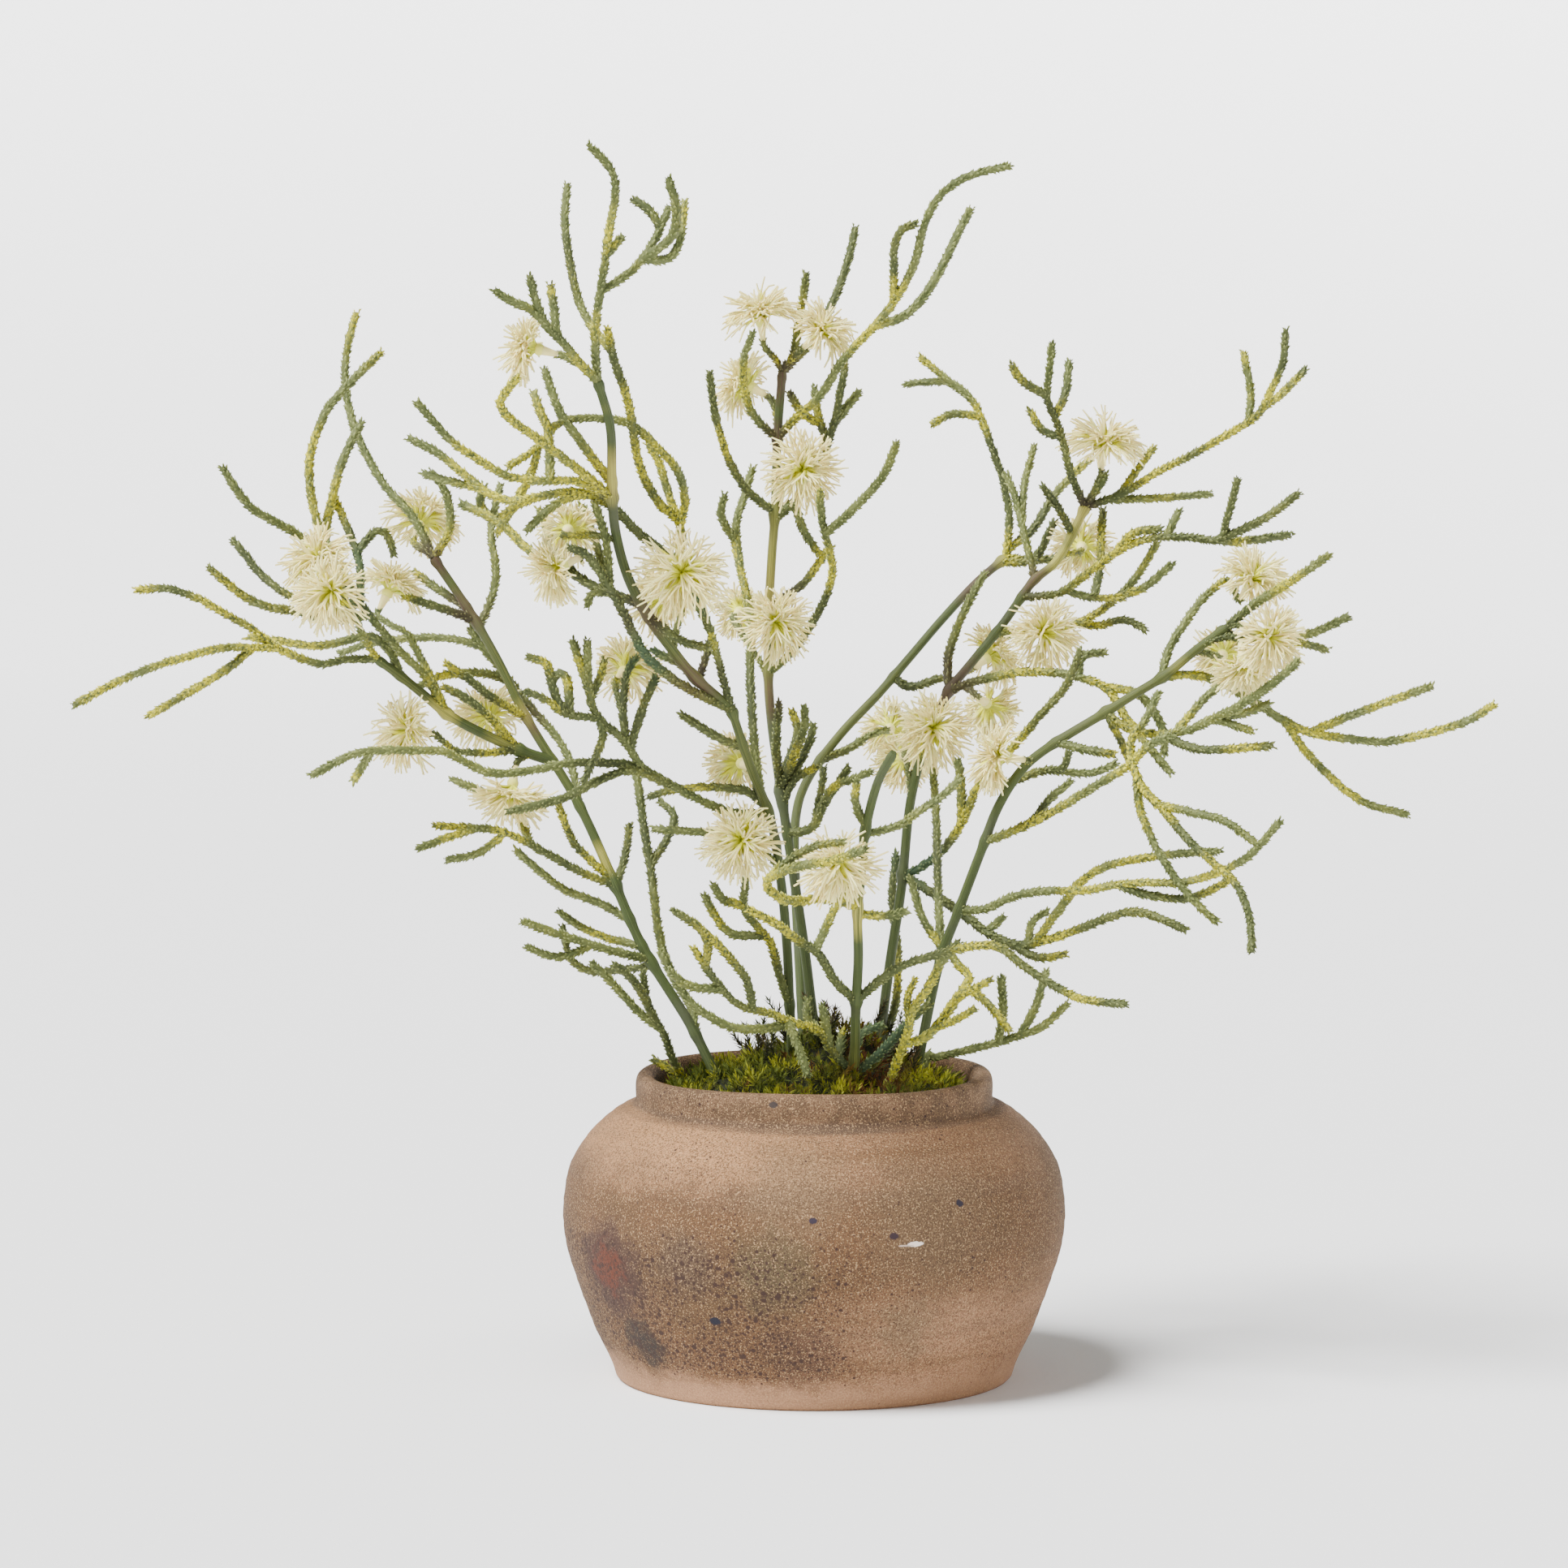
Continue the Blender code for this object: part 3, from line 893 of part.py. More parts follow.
def cut_holes(thing, runs):
    """Cuts a plain hole, a little wider than the run, for each of the runs."""
    group = bpy.data.collections.new("holes")
    bpy.context.scene.collection.children.link(group)
    for run in runs:
        vertices, faces = run_tube(run, HOLE_CLEARANCE)
        piece = make_object("hole", vertices, faces, thing.data.materials[0])
        bpy.context.scene.collection.objects.unlink(piece)
        group.objects.link(piece)
    cut = thing.modifiers.new("cut", "BOOLEAN")
    cut.operation = "DIFFERENCE"
    cut.operand_type = "COLLECTION"
    cut.collection = group
    cut.solver = "EXACT"
    apply_modifiers(thing)
    for piece in list(group.objects):
        bpy.data.objects.remove(piece)
    bpy.data.collections.remove(group)
    keep_outer_body(thing)


def build_stem(name, runs, blooms, material):
    """One stem with its twigs and the stalks of its blooms, fused."""
    shapes = [run_tube(run) for run in runs]
    for bloom in blooms:
        if bloom.stem == name:
            line = stalk_line(bloom)
            shapes.append(tube(line, [STALK_RADIUS] * len(line), SCALY_SIDES, True))
    return join_bodies(name, shapes, material)


def build_bloom(bloom, material, seed):
    """Cup with a small core that its petals stand out of, as three-sided points."""
    rng = np.random.default_rng(seed)
    radius = bloom.radius * SQUARE
    core = CORE_SHARE * radius
    vertices = [Vector((0, 0, CUP_LENGTH + core * CORE_FLATNESS))]
    for count, angle, offset in CORE_RINGS:
        for side in range(count):
            turn = 2 * math.pi * (side + offset) / count
            flat, rise = core * math.sin(math.radians(angle)), core * math.cos(math.radians(angle))
            height = CUP_LENGTH + rise * CORE_FLATNESS
            vertices.append(Vector((flat * math.cos(turn), flat * math.sin(turn), height)))
    inner, outer, low = 1, 5, 13
    core_faces = [(0, inner + i, inner + (i + 1) % 4) for i in range(4)]
    for side in range(4):
        after = (side + 1) % 4
        first, second, third = outer + 2 * side, outer + 2 * side + 1, outer + (2 * side + 2) % 8
        core_faces += [(inner + side, first, second), (inner + side, second, inner + after),
                       (inner + after, second, third)]
    for side in range(8):
        after = (side + 1) % 8
        core_faces += [(outer + side, low + side, low + after), (outer + side, low + after, outer + after)]
    middle = Vector((0, 0, CUP_LENGTH))
    faces = []
    for a, b, c in core_faces:
        centre = (vertices[a] + vertices[b] + vertices[c]) / 3
        out = (centre - middle).normalized()
        if out.dot((vertices[b] - vertices[a]).cross(vertices[c] - vertices[a])) < 0:
            b, c = c, b
        reach = radius * rng.uniform(*SPIKE_SHARES)
        tip = middle + out * reach
        tip.z = max(tip.z, CUP_LENGTH - SPIKE_DROOP * radius)
        vertices.append(tip)
        top = len(vertices) - 1
        faces += [(a, b, top), (b, c, top), (c, a, top)]
    foot = len(vertices)
    for side in range(4):
        turn = math.pi * side / 2
        vertices.append(Vector((CUP_RADIUS * math.cos(turn), CUP_RADIUS * math.sin(turn), 0.0)))
    for side in range(4):
        first, second, third = low + 2 * side, low + 2 * side + 1, low + (2 * side + 2) % 8
        here, after = foot + side, foot + (side + 1) % 4
        faces += [(first, here, second), (second, here, after), (second, after, third)]
    faces.append(tuple(foot + side for side in range(4))[::-1])
    axis = Vector(bloom.axis)
    turn = axis.to_track_quat("Z", "Y").to_matrix()
    seat = from_front(*bloom.seat())
    placed = [seat + turn @ vertex for vertex in vertices]
    return make_object(bloom.name, placed, faces, material)


def clear_scene():
    for thing in list(bpy.data.objects):
        bpy.data.objects.remove(thing)


def main():
    clear_scene()
    layout = lay_out_stems()
    blooms = [Bloom(number + 1, entry, layout) for number, entry in enumerate(BLOOMS)]
    bend_clear(layout, blooms)
    build_jar()
    build_filling(layout)
    build_moss(layout)
    green = make_material("green_stem", (0.13, 0.20, 0.09), 0.6)
    for name, runs in layout.items():
        build_stem(name, runs, blooms, green)
    cream = make_material("cream_petals", (0.85, 0.78, 0.52), 0.7)
    for number, bloom in enumerate(blooms):
        build_bloom(bloom, cream, SPIKE_SEED + number)


main()
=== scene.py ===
import itertools
import math

import bpy
import numpy as np
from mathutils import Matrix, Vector, kdtree


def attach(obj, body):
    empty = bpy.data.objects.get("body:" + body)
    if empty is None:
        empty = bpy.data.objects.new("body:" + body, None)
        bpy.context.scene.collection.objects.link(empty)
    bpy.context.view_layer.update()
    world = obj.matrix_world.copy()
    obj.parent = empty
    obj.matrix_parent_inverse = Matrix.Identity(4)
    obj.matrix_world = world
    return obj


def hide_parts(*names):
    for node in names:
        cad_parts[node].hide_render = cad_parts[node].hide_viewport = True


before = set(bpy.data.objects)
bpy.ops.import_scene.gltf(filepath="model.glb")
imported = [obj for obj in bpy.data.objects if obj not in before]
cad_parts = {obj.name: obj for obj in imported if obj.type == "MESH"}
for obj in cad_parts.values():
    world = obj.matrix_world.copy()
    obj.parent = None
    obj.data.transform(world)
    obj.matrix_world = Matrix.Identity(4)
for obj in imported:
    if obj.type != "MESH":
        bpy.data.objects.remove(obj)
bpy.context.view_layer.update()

bl_info = {
    "name": "Spider flower arrangement in pot",
    "version": (1, 0, 0),
    "blender": (4, 5, 0),
    "location": "View3D > Sidebar > Arrangement",
    "description": "Dresses the stoneware jar, moss, jointed stems, scaly twigs and thread-petalled blooms",
    "category": "Object",
}

# The jar, in metres: its walls, its outlines as radius and height, and its mounded moss.
WALL = 0.009
FLOOR = 0.009
FILL_TOP = 0.131
BODY_OUTLINE = ((0.0975, 0.0015), (0.1000, 0.009), (0.1080, 0.026), (0.1150, 0.045), (0.1205, 0.062),
                (0.1230, 0.079), (0.1205, 0.101), (0.1120, 0.117), (0.0980, 0.1305), (0.0885, 0.1350))
LIP_OUTLINE = ((0.0872, 0.1372), (0.0873, 0.1412), (0.0872, 0.1455), (0.0864, 0.1484), (0.0845, 0.1498),
               (0.0815, 0.1500), (0.0788, 0.1484), (0.0772, 0.1440), (0.0765, 0.1370))
MOSS_RADIUS = 0.0742
MOSS_EDGE_HEIGHT = 0.1415
MOSS_MOUND = 0.014
MOSS_BACK_MOUND = 0.016
MOSS_BACK_PLACE = (0.012, 0.032)
MOSS_BACK_REACH = 0.028
MOSS_ROLL = 0.0022
MOSS_ROLL_TURNS = (150, 130)
OUTLINE_POINTS = 24
BODY_STEP = 0.0014
LIP_STEP = 0.0012
CREASE = 50.0

# Neck grooves as height and depth; throwing marks as waves to a metre, start and share; the bows of the
# jar and the slump of its lip as waves round it, start and depth; and the height over which these set in.
NECK_GROOVES = ((0.1282, 0.00045), (0.1315, 0.0007), (0.1342, 0.0008))
GROOVE_WIDTH = 0.0009
WHEEL_MARKS = ((1450.0, 0.0, 0.5), (790.0, 1.0, 0.8), (320.0, 0.0, 1.0))
JAR_BOWS = ((2, 0.7, 0.00035), (5, 0.0, 0.0002))
LIP_SLUMP = (3, 0.5, 0.0006)
SET_IN = 0.02

# The view from the front, in metres. The layout is in squares of 4 mm, across and up in this view.
SQUARE = 0.004
VIEW_DISTANCE = 3.2
EYE_HEIGHT = 0.606
EYE_ACROSS = -0.0148
LAYOUT_ACROSS = -0.0012
LAYOUT_FOOT = -0.018

# Stems, twigs and stalks: radii and feet in metres, steps along them in squares or in metres.
SMOOTH_RADIUS = 0.0030
SCALY_RADIUS = 0.0025
STALK_RADIUS = 0.0019
STEM_FOOT_HEIGHT = 0.070
STEM_FOOT_SPREAD = 0.72
SAMPLE_STEP = 0.9
LEAN_SHARE = 1.2
SEAT_GAP = 0.00035
CUP_LENGTH = 0.009
CENTRE_SHARE = 0.35
HEAD_DEPTH = 8.0
STALK_LEAVE = 0.6
STALK_ARRIVE = 0.9
STALK_STEP = 1.6
STALK_END = 0.002
RUN_POINTS = 8
LEAN_EASE = 0.25
LEAN_REACH = 12.0
SMOOTH_STEP = 0.0018
SCALY_STEP = 0.0016
SMOOTH_START = 0.88
SMOOTH_TAPER = 0.16
COLLAR_SWELL = 0.22
COLLAR_REACH = 0.0028
JOINT_END = (1.1, 1.0, 0.75)
TWIG_WIDTHS = (0.9, 1.08)
TWIG_SIDES = 6
TWIG_START = 1.08
TWIG_TAPER = 0.12
TWIG_END = (1.0, 0.96, 0.86, 0.62)
SCALE_SEAT = 0.84
SCALE_TURNS = (-0.5, 0.5)
SCALE_SIZES = (0.7, 1.3)
SCALE_LENGTHS = (0.8, 1.35)
STALK_SHARE = 0.72
STALK_FREE = 1.5

# How far runs and blooms of different stems are moved apart in depth, in squares or as shares.
CLEARING = 0.5
CLEAR_ROUNDS = 260
RUN_PUSH = 0.6
SMOOTH_EASE = 0.25
HEAD_GUARD = 0.95
HEAD_BACK = 0.62
HEAD_PUSH = 0.3
HEAD_GIVE = 0.12
HEADS_GUARD = 0.92
HEADS_PUSH = 0.2
ROOT_FREE = 4

# Blooms and moss, in metres; ranges, low and high, in radians or as shares of the bloom's radius.
THREAD_POINTS = 7
BUNDLE_TURNS = (-0.25, 0.25)
BUNDLE_LEANS = (0.85, 1.15)
BUNDLE_REACHES = (0.82, 1.10)
THREAD_TRIMS = (0.0, 0.16)
PARTING_STARTS = (0.55, 0.78)
PARTING_WIDTHS = (0.36, 0.72)
SIDE_BOWS = (-0.26, 0.26)
RISE_BOWS = (-0.20, 0.10)
WAVE_TURNS = (2.5, 6.0)
WAVE_DEPTHS = (-0.05, 0.05)
HANG = -0.11
CUP_TOP = 0.0026
CUP_FOOT = 0.0013
HEART_RADIUS = 0.0029
GOLDEN_TURN = 2.39996
WHOLE_TURN = 6.283
SPRIG_LEAVES = 17
SPRIG_WIDTHS = (0.015, 0.026)
SPRIG_LEANS = (-0.95, 0.95)
SPRIG_SIZES = (0.55, 1.15)
TALL_SPRIGS = 30
TALL_NEEDLES = 64
NEEDLE_LENGTH = 0.0042
NEEDLE_WIDTHS = (0.00035, 0.0004)
BED_RADIUS = 0.0725
BED_RINGS = 26
BED_SIDES = 72
BED_DEPTH = 0.003
BED_LUMP = 0.003
BED_TURNS = (190, 170)

# The stage: the floor's flat radii and its bend in metres, the key light's way and spread in degrees,
# and the height that the camera aims at.
SWEEP_FLAT = (0.4, 0.9, 1.6, 3.0, 4.4)
SWEEP_BEND = 1.6
SWEEP_SIDES = 96
KEY_HEADING = (0.72, 0.42, -1.36)
KEY_SPREAD = 26.0
AIM_HEIGHT = 0.2916

# Finishes: clays and grits of the jar, with a painted highlight and a painted shade among them, noise moved aside,
# and plain words for the shader's levels.
NOISE_ASIDE = (1.3713, 2.5371, 3.7193)
SHADER_LEVELS = {"specular": "Specular IOR Level", "inner_glow": "Subsurface Weight",
                 "glow_depth": "Subsurface Scale", "own_light": "Emission Color"}
UMBER_CLAY = (0.108, 0.060, 0.027)
# Painted highlight on the left of the shoulder, where the key light falls.
LEFT_SHOULDER_LIGHT = (0.52, 0.270, 0.118)
STREAK_CLAY = (0.105, 0.066, 0.042)
NECK_CLAYS = ((0.190, 0.108, 0.056), (0.115, 0.068, 0.036))
# Painted shade in the groove between neck and shoulder.
GROOVE_SHADE = (0.090, 0.056, 0.035)
DARK_GRIT = (0.055, 0.031, 0.017)
PALE_GRIT = (0.42, 0.262, 0.130)
FOOT_CLAY = (0.48, 0.270, 0.150)

# Worn and fired patches of the jar: middle, size, colour and strength. The first ones lie over the grit.
JAR_PATCHES = (
    ((-0.099, -0.069, 0.063), 0.031, (0.045, 0.024, 0.021), 0.85),
    ((-0.099, -0.069, 0.064), 0.016, (0.115, 0.029, 0.013), 0.9),
    ((-0.083, -0.074, 0.029), 0.015, (0.028, 0.023, 0.020), 1.0),
    ((-0.020, -0.120, 0.070), 0.028, (0.085, 0.068, 0.034), 0.85),
    ((-0.064, -0.104, 0.072), 0.022, (0.085, 0.060, 0.040), 0.7),
    ((0.056, -0.108, 0.092), 0.046, (0.125, 0.080, 0.042), 0.75),
    ((0.046, -0.108, 0.040), 0.020, (0.120, 0.090, 0.050), 0.6),
    ((-0.006, -0.108, 0.028), 0.024, (0.060, 0.032, 0.024), 0.55),
    ((-0.010, -0.112, 0.108), 0.034, (0.185, 0.118, 0.062), 0.6),
)
PATCHES_OVER_GRIT = 3

# Small marks of the jar: middle, half sizes, colour and strength.
JAR_SPOTS = (
    ((-0.048, -0.106, 0.045), (0.0038, 0.0038, 0.0024), (0.016, 0.015, 0.024), 1.0),
    ((0.0475, -0.112, 0.0838), (0.0045, 0.0050, 0.0015), (0.78, 0.66, 0.58), 1.0),
    ((0.043, -0.114, 0.0833), (0.0050, 0.0050, 0.0006), (0.50, 0.38, 0.30), 0.8),
    ((0.066, -0.100, 0.046), (0.0010, 0.0010, 0.0010), (0.85, 0.75, 0.68), 1.0),
    ((0.037, -0.116, 0.088), (0.0028, 0.0028, 0.0018), (0.035, 0.020, 0.024), 1.0),
    ((0.069, -0.100, 0.101), (0.0026, 0.0026, 0.0022), (0.022, 0.018, 0.026), 1.0),
    ((-0.020, -0.085, 0.146), (0.0024, 0.0024, 0.0018), (0.035, 0.030, 0.030), 0.9),
    ((-0.001, -0.121, 0.096), (0.0022, 0.0022, 0.0018), (0.030, 0.022, 0.034), 1.0),
    ((-0.086, -0.088, 0.100), (0.0020, 0.0020, 0.0022), (0.035, 0.028, 0.030), 0.9),
)

# Iron speckles: cells to a metre, reach and strength.
SPECKLES = ((760.0, 0.36, 0.85), (360.0, 0.30, 0.9), (170.0, 0.20, 0.95))

# Tinges of the twigs: name of the tint, strength and colour.
TWIG_TINTS = (("dark", 0.65, (0.042, 0.054, 0.020)), ("blue", 0.7, (0.045, 0.100, 0.055)),
              ("purple", 0.65, (0.060, 0.028, 0.026)))
TINTS = ("yellow", "dark", "blue", "purple")
TINGE_MIDDLE = 1.6
TINGE_FADE = 1.15

# Chance tinges of a run: how often yellow is strong, strong and faint yellow, how often dark, how dark.
YELLOW_CHANCE = 0.42
YELLOW_AMOUNTS = (0.9, 0.12)
DARK_CHANCE = 0.25
DARK_AMOUNT = 0.6

# Where the tinges lie: tint and stem, then across, up and reach of each place, in squares.
TINGES = """
yellow stem_left -37.2,85,2.5 -58.3,112,3 -61,118,3 -66,94.3,4 -76,93,4 -86,88.5,3 -74,89.5,3 -81,86,3 \
-72,100,3 -82,101,2 -45,91,2 -26,68,2 -44,72,2 -37,71.4,2 -45,86.5,2
yellow stem_centre_left -36.3,121.7,3.5 -34.5,120,3 -35.2,113,2.5 -34,122,2 -25.4,115.1,3 -33,120,2 \
-39,107.5,2 -38.5,112.1,2.5 -20,117,3 -22.5,124,2 -28.5,114.3,3 -41,117,3 -16.6,110,3 -37.5,124.5,2.5 \
-24.5,133,2 -18.6,116.7,2 -36,127,2
yellow stem_centre_tall 0.5,115,2.5 -8.3,126,2.5 6.5,132,2.5 10,137,2 -1,122,2 2,104,2.5 -11,119,2
yellow stem_front 5.6,61.5,2.5 -4.5,60,3 -8,62,2 1,63.3,3 -5.5,65.5,2 2.5,68,2 20,57.5,2.5 33,51,2 \
-14.5,57,2
yellow stem_back_long 23.5,106,2 20.5,122,2
yellow stem_right_tall 24,126.5,1.5 30,105,2 42,115.5,3 50,119.8,3 55.5,125,2 26,91,3 36,89,2.5 30,58.5,2.5 \
40,68.2,3 20,77.4,2 38,106.3,3 18.4,72.8,2 24.5,81.5,3 33,65.5,2.5
yellow stem_right 42,74.3,2.5 38.7,79.8,2.5 52.5,81.8,2 61,83.6,3 75,83.6,3 83,87,2 70,87.4,2.5 65,77,2.5 \
57,95,2.5 58,102,2 49,66.3,2.5 33,64.3,2.5 46,90.5,2
yellow sprig_front 11,47,3 16,49,3 19,53,3 14,52,3 23,48.5,2
yellow stem_left_low -16,41,1.5
blue stem_left -55,102,4
blue stem_front 9,45.5,5 5,41,3
blue stem_right_tall 13,68,3
blue stem_centre_left -13,101,3 -20.5,93,3
dark stem_left -36,82,3 -40,83,3 -62,99.7,4 -68,104,4 -37,88,3 -20,70,6
dark stem_centre_left -22.5,88,5 -26,80,3 -22.3,100,4 -8,88,5 -3.3,58,4 -30,104,4 -30,140,4
dark stem_centre_tall -2,78,5 0,100,4 1,120,3
dark stem_back_long 0,78,5 10,91,5 22,116,5 27,108,4
dark stem_right_tall 30.5,112,4 36,97,4 35,108,4 29.5,122,4
dark stem_right 50,96.5,3 37,83,3 28,73,3 15.3,68,4
purple stem_centre_tall -3.6,127,3 -5,99,4 -5.2,88,2.5 -4.3,119.6,2
purple stem_right_tall 16.6,90,4 27,102.3,2 33,111,2
purple stem_left -42,99,2.5 -34.5,85,2 -46,105,2.5
purple stem_centre_left -14.3,90.5,3 -20,98,2.5 -24.3,115,2.5
purple stem_back_long 20,102,3
"""

# Blooms: the stem, where the stalk leaves it and the head's middle (across, up), the head's radius,
# and its turn and lift in degrees.
BLOOMS = """
stem_centre_tall -3.6,127.6 -6.3,135.3 5 -20 75
stem_centre_tall -3.6,127.6 1.5,133 4.5 60 40
stem_centre_tall -4.2,119.8 -8.5,126.3 4.5 -120 25
stem_centre_tall -4.5,112 -1.2,116.2 5.2 0 10
stem_centre_left -26,126.5 -34.5,130.7 4.5 -90 15
stem_left -46,105 -47.5,110 5 165 40
stem_left -55,99.5 -60,105.5 4.7 -35 40
stem_left -52,92 -58.5,101.2 5 -15 5
stem_left -49,95.5 -51,102 4.5 120 60
stem_centre_left -25,102 -31.5,103.8 4.5 -75 -20
stem_centre_left -23.5,107 -29.5,108.5 4 170 10
stem_centre_left -12.3,96 -15.7,103.7 6 5 10
stem_centre_left -16.5,93.2 -18.5,100 4.5 -140 -5
stem_centre_tall -5.3,93 -4.3,97.5 4.8 10 0
stem_centre_tall -5.2,90 -8.5,98.5 3.8 165 10
stem_centre_left -22.8,85 -22.5,91.5 4.5 160 20
stem_left -43,81.3 -49.5,84.3 5 -50 10
stem_left -35,81.4 -39.8,86 4.8 -155 30
stem_left -34,80.8 -36.7,76 5 -20 -65
stem_centre_left -5.8,75 -9.3,80 4.2 -150 10
stem_centre_left -4,66.5 -8.7,71 5.2 -10 5
stem_front 5.6,61.5 3.3,68 5.2 10 -15
stem_right_tall 33.2,111.2 35.5,119.8 5.5 20 75
stem_right_tall 30,105 33,106.5 4.3 175 10
stem_right_tall 22.5,96 28.3,96.3 5 20 5
stem_right_tall 19,91.7 22.5,93.5 4.5 120 30
stem_right_tall 13,79.5 14.8,84.8 5.3 10 15
stem_back_long 6.5,83 9.8,84 4.2 170 0
stem_right_tall 12,75 11.3,80 4 180 -20
stem_right_tall 16.5,88.5 22,86.5 4.2 150 -25
stem_right 26.2,79.6 22.3,81 4.7 -75 10
stem_right 50.3,102.5 53.7,103.2 5 35 50
stem_right 50.5,96.5 55.6,95.6 4.8 20 -5
stem_right 46,93.2 50.5,93 4.3 165 0
stem_right 47.5,94.4 52.5,91.5 4.2 10 -60
"""

